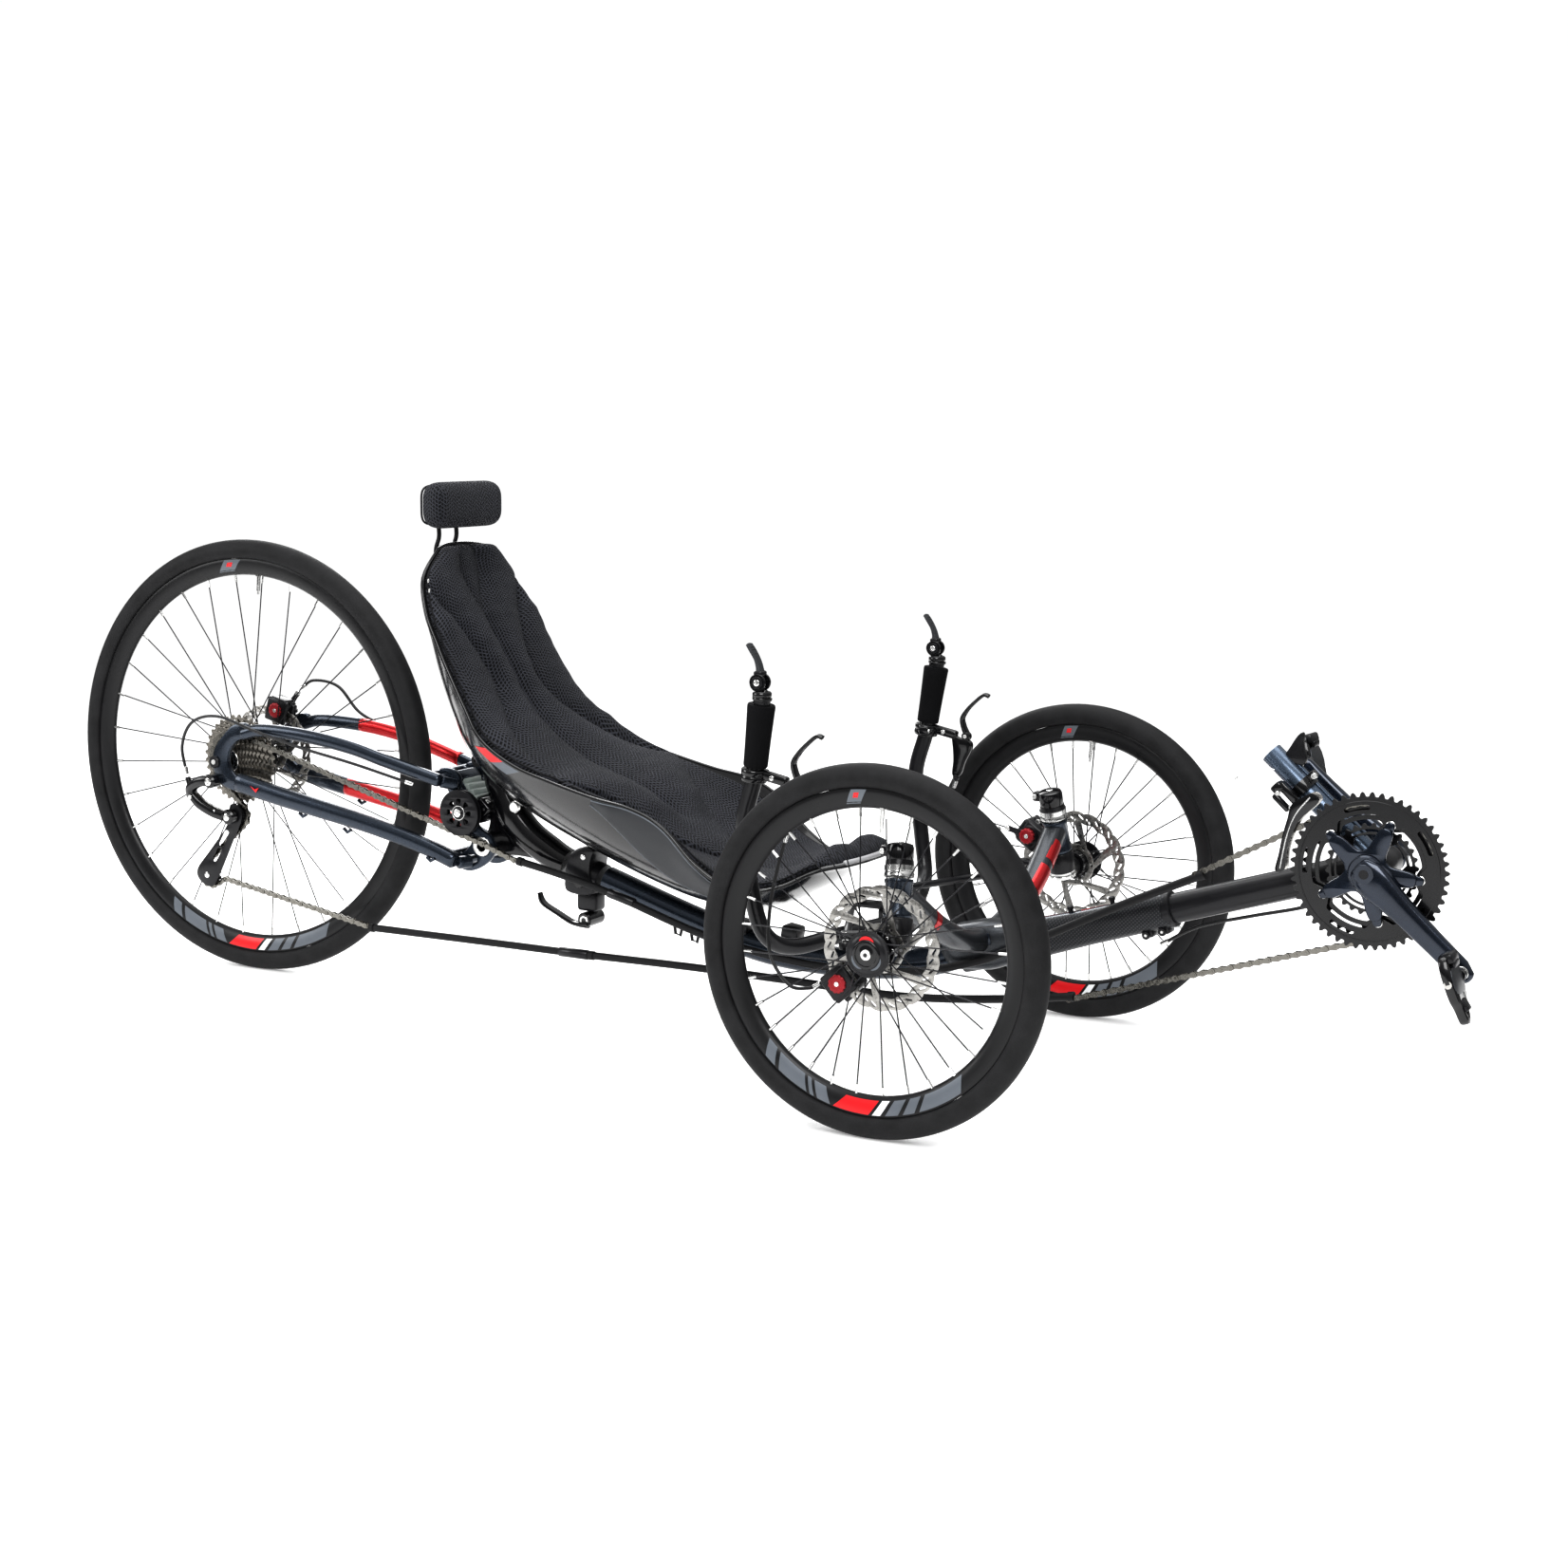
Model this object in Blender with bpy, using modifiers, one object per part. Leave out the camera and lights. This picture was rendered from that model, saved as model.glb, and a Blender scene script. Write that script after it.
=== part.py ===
"""Recumbent tadpole tricycle: two steered wheels in front, one driven and sprung wheel behind.

Metres, +X forward, +Y to the rider's left, +Z up.  The wheels stand on z = 0.  Places along
the trike are given forward of the front axle and moved to the model's origin by at().
"""
import math

import bmesh
import bpy
from mathutils import Matrix, Vector

# ---- driving dimensions -------------------------------------------------------------------
FRONT_AXLE_X = 0.4635            # front axle ahead of the origin, which is under the middle
WHEELBASE = 1.267
TRACK_HALF = 0.3565
FRONT_RADIUS = 0.2355            # 20 inch slick tyre
REAR_RADIUS = 0.3440             # 700c slick tyre
TYRE_HALF_WIDTH = 0.0172
RIM_DEPTH = 0.026
ROTOR_INSET = 0.0275             # rotor inboard of the front wheel's middle
CALIPER_OUTBOARD = 0.0105        # caliper body beyond the rotor, on the wheel's side
SPOKES = 32
WHEEL_STEPS = 32

BB = (0.532, 0.338)              # crank axle: forward, up
BOOM_ROOT = (0.085, 0.198)       # where the boom's line leaves the centre casting
POST_TOP = (0.388, 0.470)        # end of the front derailleur's post
CRANK_LENGTH = 0.165
CRANK_ANGLE = math.radians(-41)  # right crank, above the forward direction
RING_TIPS = (0.0990, 0.0790, 0.0570)
RING_INNER = (0.0690, 0.0600, 0.0450)
RING_Y = (-0.0520, -0.0450, -0.0380)
CHAIN_Y = -0.0450
CHAIN_RING_RADIUS = 0.0845       # chain's middle line, clear of the ring's rim
CASSETTE_PITCH = 0.0440
IDLER = (-0.835, 0.2960)
IDLER_RADIUS = 0.0325
JOCKEY_TOP = (-1.262, 0.2560)
JOCKEY_LOW = (-1.320, 0.1560)
JOCKEY_RADIUS = 0.0190

SWING_PIVOT = (-0.801, 0.2465)
ELASTOMER_TILT = 0.75            # radians, its front end down
STEER_PIVOT_X = -0.130
KING_TOP = (-0.0110, 0.2530, 0.3550)
KING_DOWN = (0.0310, 0.0920, -0.3550)
TIE_ARM = (-0.0650, 0.0120)      # tie rod's ends, from the kingpin and from the bar's pivot
TIE_Z = 0.2260
GAP = 0.0004                     # between pieces that touch
TYRE_DEPTH = 0.0290              # tread to bead
SPOKE_RADIUS = 0.0011
CABLE_RADIUS = 0.0022
PEDAL_BORE = 0.0062
SLEEVE = (-0.6600, 0.1030)       # rear end of the return tubes' sleeve

GRAPHITE = ((0.075, 0.085, 0.100), 0.38, 0.85)
BLACK_SATIN = ((0.012, 0.013, 0.015), 0.35, 0.6)
BLACK_GLOSS = ((0.010, 0.010, 0.011), 0.15, 0.0)
BLACK_PLASTIC = ((0.018, 0.018, 0.020), 0.55, 0.0)
RUBBER = ((0.020, 0.020, 0.022), 0.75, 0.0)
FABRIC = ((0.035, 0.036, 0.042), 0.95, 0.0)
STEEL = ((0.62, 0.60, 0.56), 0.32, 1.0)
NAVY = ((0.020, 0.028, 0.045), 0.18, 0.9)
ELASTOMER = ((0.55, 0.60, 0.58), 0.45, 0.0)


def clear_scene():
    for obj in list(bpy.data.objects):
        bpy.data.objects.remove(obj, do_unlink=True)


clear_scene()
TRIKE = bpy.data.collections.new("tricycle")
bpy.context.scene.collection.children.link(TRIKE)


def at(x, y, z):
    """A point given forward of the front axle."""
    return Vector((x + FRONT_AXLE_X, y, z))


def side_point(xz, y):
    return at(xz[0], y, xz[1])


# ---- building blocks: each returns a temporary object in world coordinates ----------------
def temp_object(mesh):
    obj = bpy.data.objects.new("piece", mesh)
    bpy.context.scene.collection.objects.link(obj)
    return obj


def from_bmesh(bm):
    bmesh.ops.recalc_face_normals(bm, faces=bm.faces)
    mesh = bpy.data.meshes.new("piece")
    bm.to_mesh(mesh)
    bm.free()
    return temp_object(mesh)


def aligned(centre, axis):
    """Matrix that puts a shape's own Z along an axis."""
    turn = Vector(axis).normalized().to_track_quat("Z", "Y")
    return Matrix.Translation(centre) @ turn.to_matrix().to_4x4()


def cylinder(start, end, radius, sides=12, end_radius=None):
    start = Vector(start)
    end = Vector(end)
    bm = bmesh.new()
    bmesh.ops.create_cone(
        bm, cap_ends=True, segments=sides, radius1=radius,
        radius2=radius if end_radius is None else end_radius, depth=(end - start).length,
        matrix=aligned((start + end) / 2, end - start))
    return from_bmesh(bm)


def block(centre, size, turn_y=0.0, turn_x=0.0, turn_z=0.0):
    matrix = Matrix.Translation(centre) @ Matrix.Rotation(turn_z, 4, "Z")
    matrix = matrix @ Matrix.Rotation(turn_y, 4, "Y") @ Matrix.Rotation(turn_x, 4, "X")
    bm = bmesh.new()
    bmesh.ops.create_cube(bm, size=1.0, matrix=matrix @ Matrix.Diagonal((*size, 1.0)))
    return from_bmesh(bm)


def evaluated(obj):
    """Bake an object's modifiers into a new temporary object."""
    depsgraph = bpy.context.evaluated_depsgraph_get()
    mesh = bpy.data.meshes.new_from_object(obj.evaluated_get(depsgraph))
    result = temp_object(mesh)
    result.matrix_world = obj.matrix_world.copy()
    bpy.data.objects.remove(obj, do_unlink=True)
    return result


def welded(obj):
    bm = bmesh.new()
    bm.from_mesh(obj.data)
    bmesh.ops.remove_doubles(bm, verts=bm.verts, dist=0.00002)
    bmesh.ops.transform(bm, matrix=obj.matrix_world, verts=bm.verts)
    bpy.data.objects.remove(obj, do_unlink=True)
    return from_bmesh(bm)


def tube(points, radius, resolution=2, scales=None):
    """Round bar along a list of points; resolution r gives 4 + 2r sides."""
    curve = bpy.data.curves.new("piece", "CURVE")
    curve.dimensions = "3D"
    curve.bevel_depth = radius
    curve.bevel_resolution = resolution
    curve.use_fill_caps = True
    spline = curve.splines.new("POLY")
    spline.points.add(len(points) - 1)
    for index, point in enumerate(points):
        spline.points[index].co = (*point, 1.0)
        spline.points[index].radius = 1.0 if scales is None else scales[index]
    return welded(evaluated(temp_object(curve)))


def smooth(points, steps=3):
    """Points on a Catmull-Rom curve through the given ones."""
    pts = [Vector(p) for p in points]
    ends = [2 * pts[0] - pts[1]] + pts + [2 * pts[-1] - pts[-2]]
    result = []
    for i in range(1, len(ends) - 2):
        a, b, c, d = ends[i - 1:i + 3]
        for step in range(steps):
            t = step / steps
            result.append(0.5 * (2 * b + (c - a) * t + (2 * a - 5 * b + 4 * c - d) * t * t
                                 + (3 * b - a - 3 * c + d) * t ** 3))
    result.append(pts[-1])
    return result


def turned(profile, centre, axis, steps=24):
    """Closed (radius, height) outline spun about an axis with a Screw modifier."""
    mesh = bpy.data.meshes.new("profile")
    count = len(profile)
    mesh.from_pydata([(r, 0.0, h) for r, h in profile],
                     [(i, (i + 1) % count) for i in range(count)], [])
    obj = temp_object(mesh)
    screw = obj.modifiers.new("spin", "SCREW")
    screw.steps = steps
    screw.render_steps = steps
    screw.use_merge_vertices = True
    screw.merge_threshold = 0.00005
    result = evaluated(obj)
    result.matrix_world = aligned(centre, axis)
    return welded(result)


def plate(outline, thickness, y):
    """Flat plate in the XZ plane, centred on y, from an outline of at() places."""
    curve = bpy.data.curves.new("piece", "CURVE")
    curve.dimensions = "2D"
    curve.fill_mode = "BOTH"
    curve.extrude = thickness / 2
    spline = curve.splines.new("POLY")
    spline.use_cyclic_u = True
    spline.points.add(len(outline) - 1)
    for index, (x, z) in enumerate(outline):
        spline.points[index].co = (x + FRONT_AXLE_X, z, 0.0, 1.0)
    obj = temp_object(curve)
    result = evaluated(obj)
    result.matrix_world = Matrix.Translation((0, y, 0)) @ Matrix.Rotation(math.pi / 2, 4, "X")
    return welded(result)


def boolean(base, other, operation):
    modifier = base.modifiers.new(operation.lower(), "BOOLEAN")
    modifier.operation = operation
    modifier.solver = "EXACT"
    modifier.use_self = operation == "UNION"
    modifier.object = other
    result = evaluated(base)
    bpy.data.objects.remove(other, do_unlink=True)
    return result


def material(name, look):
    colour, roughness, metallic = look
    mat = bpy.data.materials.new(name)
    mat.use_nodes = True
    shader = mat.node_tree.nodes["Principled BSDF"]
    shader.inputs["Base Color"].default_value = (*colour, 1.0)
    shader.inputs["Roughness"].default_value = roughness
    shader.inputs["Metallic"].default_value = metallic
    return mat


def part(name, look, pieces, cuts=(), origin=None, sharp=35):
    """Union the pieces, take away the cuts, and keep the result as one named sub-part."""
    base = pieces[0]
    for piece in pieces[1:]:
        base = boolean(base, piece, "UNION")
    for cut in cuts:
        base = boolean(base, cut, "DIFFERENCE")
    origin = Vector(origin) if origin is not None else Vector((0.0, 0.0, 0.0))
    bm = bmesh.new()
    bm.from_mesh(base.data)
    bmesh.ops.transform(bm, matrix=base.matrix_world, verts=bm.verts)
    bmesh.ops.remove_doubles(bm, verts=bm.verts, dist=0.00002)
    bmesh.ops.dissolve_degenerate(bm, dist=0.00002, edges=bm.edges)
    bmesh.ops.dissolve_limit(bm, angle_limit=math.radians(0.3), verts=bm.verts, edges=bm.edges)
    bmesh.ops.translate(bm, vec=-origin, verts=bm.verts)
    mesh = bpy.data.meshes.new(name)
    bm.to_mesh(mesh)
    bm.free()
    bpy.data.objects.remove(base, do_unlink=True)
    mesh.shade_smooth()
    mesh.set_sharp_from_angle(angle=math.radians(sharp))
    obj = bpy.data.objects.new(name, mesh)
    obj.location = origin
    mesh.materials.append(material(name, look))
    TRIKE.objects.link(obj)
    return obj


# ---- wheels -------------------------------------------------------------------------------
def tyre(name, centre, radius):
    w = TYRE_HALF_WIDTH
    bead = radius - TYRE_DEPTH
    profile = [(radius, w * 0.4), (radius - 0.012, w), (bead, w * 0.62),
               (bead, -w * 0.62), (radius - 0.012, -w), (radius, -w * 0.4)]
    part(name, RUBBER, [turned(profile[::-1], centre, (0, 1, 0), WHEEL_STEPS)], origin=centre)


def rim(centre, radius):
    outer = radius - TYRE_DEPTH - GAP
    profile = [(outer, 0.0105), (outer - RIM_DEPTH * 0.5, 0.0100), (outer - RIM_DEPTH, 0.0045),
               (outer - RIM_DEPTH, -0.0045), (outer - RIM_DEPTH * 0.5, -0.0100),
               (outer, -0.0105)]
    return turned(profile[::-1], centre, (0, 1, 0), WHEEL_STEPS)


def spokes(centre, reach, flanges, flange_radius):
    """Crossed spokes: half leave each flange, leading and trailing ones in turn."""
    bm = bmesh.new()
    for index in range(SPOKES):
        angle = 2 * math.pi * index / SPOKES
        flange_y = flanges[index % 2]
        lean = math.radians(34) * (1 if index % 4 < 2 else -1)
        lane = 0.0012 if index % 4 < 2 else -0.0012
        foot = centre + Vector((flange_radius * math.cos(angle + lean), flange_y + lane,
                                flange_radius * math.sin(angle + lean)))
        tip = centre + Vector((reach * math.cos(angle), lane, reach * math.sin(angle)))
        bmesh.ops.create_cone(bm, cap_ends=True, segments=3, radius1=SPOKE_RADIUS,
                              radius2=SPOKE_RADIUS, depth=(tip - foot).length,
                              matrix=aligned((tip + foot) / 2, tip - foot))
    return from_bmesh(bm)


def wheel(name, centre, radius, hub_profile, flanges, flange_radius):
    """Rim, spokes and hub built into one wheel; the hub profile is (radius, y)."""
    hub = turned([(r, y) for r, y in hub_profile], centre, (0, 1, 0), 14)
    reach = radius - TYRE_DEPTH - RIM_DEPTH + 0.002
    pieces = [hub, spokes(centre, reach, flanges, flange_radius), rim(centre, radius)]
    part(name, BLACK_SATIN, pieces, origin=centre)


def rotor(name, centre, inner=0.0235, outer=0.0800):
    band = turned([(outer - 0.015, 0.0009), (outer, 0.0009), (outer, -0.0009),
                   (outer - 0.015, -0.0009)], centre, (0, 1, 0), 26)
    carrier = turned([(inner, 0.0009), (inner + 0.007, 0.0009), (inner + 0.007, -0.0009),
                      (inner, -0.0009)], centre, (0, 1, 0), 14)
    pieces = [band, carrier]
    for arm in range(5):
        angle = 2 * math.pi * arm / 5
        lean = angle + math.radians(28)
        start = Vector((math.cos(angle), 0, math.sin(angle))) * (inner + 0.004)
        end = Vector((math.cos(lean), 0, math.sin(lean))) * (outer - 0.009)
        middle = centre + (start + end) / 2
        slope = math.atan2(end.z - start.z, end.x - start.x)
        pieces.append(block(middle, ((end - start).length, 0.0014, 0.007), turn_y=-slope))
    part(name, STEEL, pieces, origin=centre)


FRONT_HUB = [(0.0095, 0.0175), (0.0175, 0.0175), (0.0190, 0.0150), (0.0295, 0.0130),
             (0.0295, 0.0090), (0.0150, 0.0060), (0.0150, -0.0120), (0.0240, -0.0150),
             (0.0240, -0.0180), (0.0180, -0.0200), (0.0180, -0.0340), (0.0095, -0.0340)]
REAR_HUB = [(0.0065, 0.0620), (0.0120, 0.0620), (0.0130, 0.0500), (0.0240, 0.0360),
            (0.0240, 0.0320), (0.0140, 0.0280), (0.0140, -0.0160), (0.0260, -0.0190),
            (0.0260, -0.0230), (0.0150, -0.0260), (0.0150, -0.0300), (0.0065, -0.0300)]


def front_wheels():
    for side, sign in (("right", -1), ("left", 1)):
        centre = at(0, sign * TRACK_HALF, FRONT_RADIUS)
        tyre(f"front_{side}_tyre", centre, FRONT_RADIUS)
        profile = [(r, sign * y) for r, y in FRONT_HUB]
        wheel(f"front_{side}_wheel", centre, FRONT_RADIUS, profile,
              (sign * 0.0110, -sign * 0.0165), 0.0225)
        rotor(f"front_{side}_rotor", centre - Vector((0, sign * ROTOR_INSET, 0)))


def rear_wheel():
    centre = at(-WHEELBASE, 0, REAR_RADIUS)
    tyre("rear_tyre", centre, REAR_RADIUS)
    wheel("rear_wheel", centre, REAR_RADIUS, REAR_HUB, (0.0340, -0.0210), 0.0220)
    rotor("rear_rotor", centre + Vector((0, 0.0440, 0)), inner=0.0200)


# ---- chain line ---------------------------------------------------------------------------
def belt(stops, arc_step=0.26):
    """Path over directed circles (centre, radius, turn); turn is +1 anticlockwise seen with
    +X to the right and +Z up, -1 clockwise, and radius 0 is a plain point."""
    points = []
    touch = []
    for (c1, r1, t1), (c2, r2, t2) in zip(stops, stops[1:]):
        d = Vector(c2) - Vector(c1)
        s1, s2 = r1 * t1, r2 * t2
        turn = math.atan2(d.y, d.x) - math.asin((s2 - s1) / d.length)
        normal = Vector((-math.sin(turn), math.cos(turn)))
        touch.append((Vector(c1) - normal * s1, Vector(c2) - normal * s2, turn))
    points.append(touch[0][0])
    for index in range(1, len(stops) - 1):
        centre, radius, way = stops[index]
        start, before = touch[index - 1][1], touch[index - 1][2]
        end, after = touch[index][0], touch[index][2]
        points.append(start)
        if radius > 0:
            sweep = (after - before) % (2 * math.pi)
            if way < 0:
                sweep -= 2 * math.pi
            count = max(1, round(abs(sweep) / arc_step))
            offset = start - Vector(centre)
            for step in range(1, count):
                spin = Matrix.Rotation(sweep * step / count, 2)
                points.append(Vector(centre) + spin @ offset)
            points.append(end)
    points.append(touch[-1][1])
    return [side_point(point, CHAIN_Y) for point in points]


def chain_strand(points):
    """Plain band of the chain's width and height, four-sided."""
    bm = bmesh.new()
    rings = []
    for index, point in enumerate(points):
        before = points[max(index - 1, 0)]
        after = points[min(index + 1, len(points) - 1)]
        along = (after - before).normalized()
        up = Vector((-along.z, 0, along.x)) * 0.0038
        out = Vector((0, 0.0028, 0))
        corners = (point + up + out, point + up - out, point - up - out, point - up + out)
        rings.append([bm.verts.new(c) for c in corners])
    for first, second in zip(rings, rings[1:]):
        for k in range(4):
            bm.faces.new((first[k], first[(k + 1) % 4], second[(k + 1) % 4], second[k]))
    bm.faces.new(rings[0])
    bm.faces.new(rings[-1][::-1])
    return from_bmesh(bm)


TUBE_FRONT_UP = (0.3200, 0.3130)
TUBE_REAR_UP = (-0.7320, 0.2320)
TUBE_FRONT_LOW = (0.1480, 0.1320)
TUBE_JOINT_LOW = (-0.6090, 0.1030)
TUBE_REAR_LOW = (-1.0070, 0.1020)
PIVOT_CHAIN = (-0.7950, 0.2518)
SPROCKET = (-WHEELBASE, REAR_RADIUS)


def chain_tube(points, radius=0.0055):
    return tube([side_point(p, CHAIN_Y) for p in points], radius, resolution=2)


def boom_point(x):
    """Point on the boom's middle line."""
    slope = (BB[1] - 0.006 - BOOM_ROOT[1]) / (BB[0] - 0.020 - BOOM_ROOT[0])
    return at(x, 0, BOOM_ROOT[1] + slope * (x - BOOM_ROOT[0]))


def towards(start, end, distance):
    """The point a distance along the line from start to end, in the side plane."""
    line = Vector(end) - Vector(start)
    return tuple(Vector(start) + line.normalized() * distance)


def drive_line():
    front = belt([(towards(TUBE_FRONT_UP, BB, 0.001), 0, 1), (BB, CHAIN_RING_RADIUS, -1),
                  (towards(TUBE_FRONT_LOW, BB, 0.001), 0, 1)])
    part("chain_front", STEEL, [chain_strand(front)])
    upper = [TUBE_FRONT_UP, (0.215, 0.264), (0.109, 0.211), (0.050, 0.182), (0.000, 0.1610),
             (-0.100, 0.137), (-0.250, 0.131), (-0.410, 0.153), (-0.568, 0.198),
             (-0.655, 0.218), TUBE_REAR_UP]
    stub = chain_strand([side_point(TUBE_REAR_UP, CHAIN_Y), side_point(PIVOT_CHAIN, CHAIN_Y)])
    joint = tube([side_point((-0.530, 0.1885), CHAIN_Y), side_point((-0.575, 0.2000), CHAIN_Y)],
                 0.0068)
    part("upper_chain_tube", BLACK_PLASTIC, [chain_tube(upper), joint, stub])
    rear = belt([(towards(PIVOT_CHAIN, SPROCKET, 0.0026), 0, 1), (IDLER, IDLER_RADIUS, -1),
                 (SPROCKET, CASSETTE_PITCH, 1), (JOCKEY_TOP, JOCKEY_RADIUS, -1),
                 (JOCKEY_LOW, JOCKEY_RADIUS, 1), (towards(JOCKEY_LOW, TUBE_REAR_LOW, 0.03), 0, 1)])
    rear = rear[:-1]
    part("chain_rear", STEEL, [chain_strand(rear)], origin=side_point(SWING_PIVOT, 0))
    low = [TUBE_FRONT_LOW, (0.020, 0.1130), (-0.110, 0.1020), (-0.275, 0.1040),
           (-0.440, 0.1050), towards(TUBE_JOINT_LOW, (-0.44, 0.105), 0.0006)]
    part("return_tube_front", BLACK_PLASTIC, [chain_tube(low)])
    sleeve = cylinder(side_point(TUBE_JOINT_LOW, CHAIN_Y),
                      side_point(SLEEVE, CHAIN_Y), 0.0072, 10)
    last = rear[-1]
    start = Vector((last.x - FRONT_AXLE_X, last.z))
    tail = [towards(start, TUBE_REAR_LOW, 0.0030), TUBE_REAR_LOW]
    run = [chain_tube([TUBE_JOINT_LOW, (-0.80, 0.1028), TUBE_REAR_LOW]), sleeve,
           chain_strand([side_point(p, CHAIN_Y) for p in tail[::-1]])]
    part("return_tube_rear", BLACK_PLASTIC, run, origin=side_point(TUBE_JOINT_LOW, CHAIN_Y))


def pulleys():
    centre = side_point(IDLER, CHAIN_Y)
    profile = [(0.0045, 0.0058), (0.0330, 0.0058), (0.0330, 0.0040), (0.0270, 0.0034),
               (0.0270, -0.0034), (0.0330, -0.0040), (0.0330, -0.0058), (0.0045, -0.0058)]
    part("idler_pulley", BLACK_PLASTIC, [turned(profile, centre, (0, 1, 0), 20)], origin=centre)
    for name, place in (("jockey_wheel_upper", JOCKEY_TOP), ("jockey_wheel_lower", JOCKEY_LOW)):
        middle = side_point(place, CHAIN_Y)
        rr = JOCKEY_RADIUS - 0.0043
        profile = [(0.0035, 0.0026), (rr, 0.0026), (rr, -0.0026), (0.0035, -0.0026)]
        part(name, BLACK_PLASTIC, [turned(profile, middle, (0, 1, 0), 14)], origin=middle)
    middle = side_point(SPROCKET, 0)
    carrier = [(0.0090, -0.0305), (0.0700, -0.0305), (0.0700, -0.0330), (0.0560, -0.0340),
               (0.0560, -0.0370), (0.0470, -0.0385), (0.0470, -0.0415), (0.0390, -0.0415),
               (0.0390, -0.0485), (0.0300, -0.0495), (0.0300, -0.0580), (0.0090, -0.0580)]
    part("cassette", STEEL, [turned(carrier, middle, (0, 1, 0), 24)], origin=middle)


def cranks():
    along = Vector((math.cos(CRANK_ANGLE), 0, math.sin(CRANK_ANGLE)))
    rings = []
    for tips, inner, y in zip(RING_TIPS, RING_INNER, RING_Y):
        profile = [(inner, 0.0012), (tips, 0.0012), (tips, -0.0012), (inner, -0.0012)]
        rings.append(turned(profile, side_point(BB, y), (0, 1, 0), 32))
    for k in range(5):
        angle = CRANK_ANGLE + math.radians(36) + 2 * math.pi * k / 5
        out = Vector((math.cos(angle), 0, math.sin(angle)))
        rings.append(block(side_point(BB, -0.0485) + out * 0.0680, (0.0140, 0.0064, 0.0120),
                           turn_y=-angle))
        rings.append(block(side_point(BB, -0.0415) + out * 0.0580, (0.0140, 0.0064, 0.0100),
                           turn_y=-angle))
    part("chainrings", BLACK_SATIN, rings, origin=side_point(BB, RING_Y[1]))
    centre = side_point(BB, 0)
    hub = cylinder(centre + Vector((0, -0.0400, 0)), centre + Vector((0, -0.0780, 0)), 0.0200, 14)
    pieces = [hub]
    for k in range(5):
        angle = CRANK_ANGLE + math.radians(36) + 2 * math.pi * k / 5
        out = Vector((math.cos(angle), 0, math.sin(angle)))
        pieces.append(block(centre + out * 0.034 + Vector((0, -0.0560, 0)),
                            (0.070, 0.0040, 0.0130), turn_y=-angle))
    tip = centre + along * CRANK_LENGTH
    arm = Vector((0, -0.0710, 0))
    pieces.append(tube([centre + arm, centre + arm + along * 0.08, tip + Vector((0, -0.0750, 0)),
                        tip + along * 0.012 + Vector((0, -0.0750, 0))], 0.0150, 2,
                       scales=(1.1, 0.95, 0.80, 0.55)))
    pedal_bore = cylinder(tip + Vector((0, -0.06, 0)), tip + Vector((0, -0.1, 0)), PEDAL_BORE, 10)
    part("crank_right", NAVY, pieces, cuts=[pedal_bore], origin=centre)
    axle = cylinder(centre + Vector((0, -0.0395, 0)), centre + Vector((0, 0.0740, 0)), 0.0115, 12)
    tip = centre - along * CRANK_LENGTH
    arm = Vector((0, 0.0690, 0))
    left = tube([centre + arm, centre + arm - along * 0.08, tip + Vector((0, 0.0750, 0)),
                 tip - along * 0.012 + Vector((0, 0.0750, 0))], 0.0150, 2,
                scales=(1.1, 0.95, 0.80, 0.55))
    boss = cylinder(centre + Vector((0, 0.0540, 0)), centre + Vector((0, 0.0780, 0)), 0.0180, 14)
    pedal_bore = cylinder(tip + Vector((0, 0.06, 0)), tip + Vector((0, 0.1, 0)), PEDAL_BORE, 10)
    part("crank_left", NAVY, [boss, axle, left], cuts=[pedal_bore], origin=centre)
    lean = math.radians(70)
    for side, sign in (("right", -1), ("left", 1)):
        spot = centre + along * CRANK_LENGTH * -sign
        stub = cylinder(spot + Vector((0, sign * 0.064, 0)), spot + Vector((0, sign * 0.150, 0)),
                        0.0050, 8)
        middle = spot + Vector((0, sign * 0.1270, 0))
        down = Matrix.Rotation(lean, 3, "Y") @ Vector((1, 0, 0))
        body = block(middle + down * 0.004, (0.072, 0.0560, 0.0150), turn_y=lean)
        nose = block(middle + down * 0.042, (0.022, 0.0330, 0.0200), turn_y=lean)
        part(f"pedal_{side}", BLACK_GLOSS, [body, nose, stub], origin=spot)


# ---- frame --------------------------------------------------------------------------------
def king(z, sign, offset=0.0):
    """Point on a kingpin's axis at height z; offset moves it inboard."""
    t = (z - KING_TOP[2]) / KING_DOWN[2]
    return at(KING_TOP[0] + KING_DOWN[0] * t, sign * (KING_TOP[1] + KING_DOWN[1] * t - offset), z)


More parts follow.
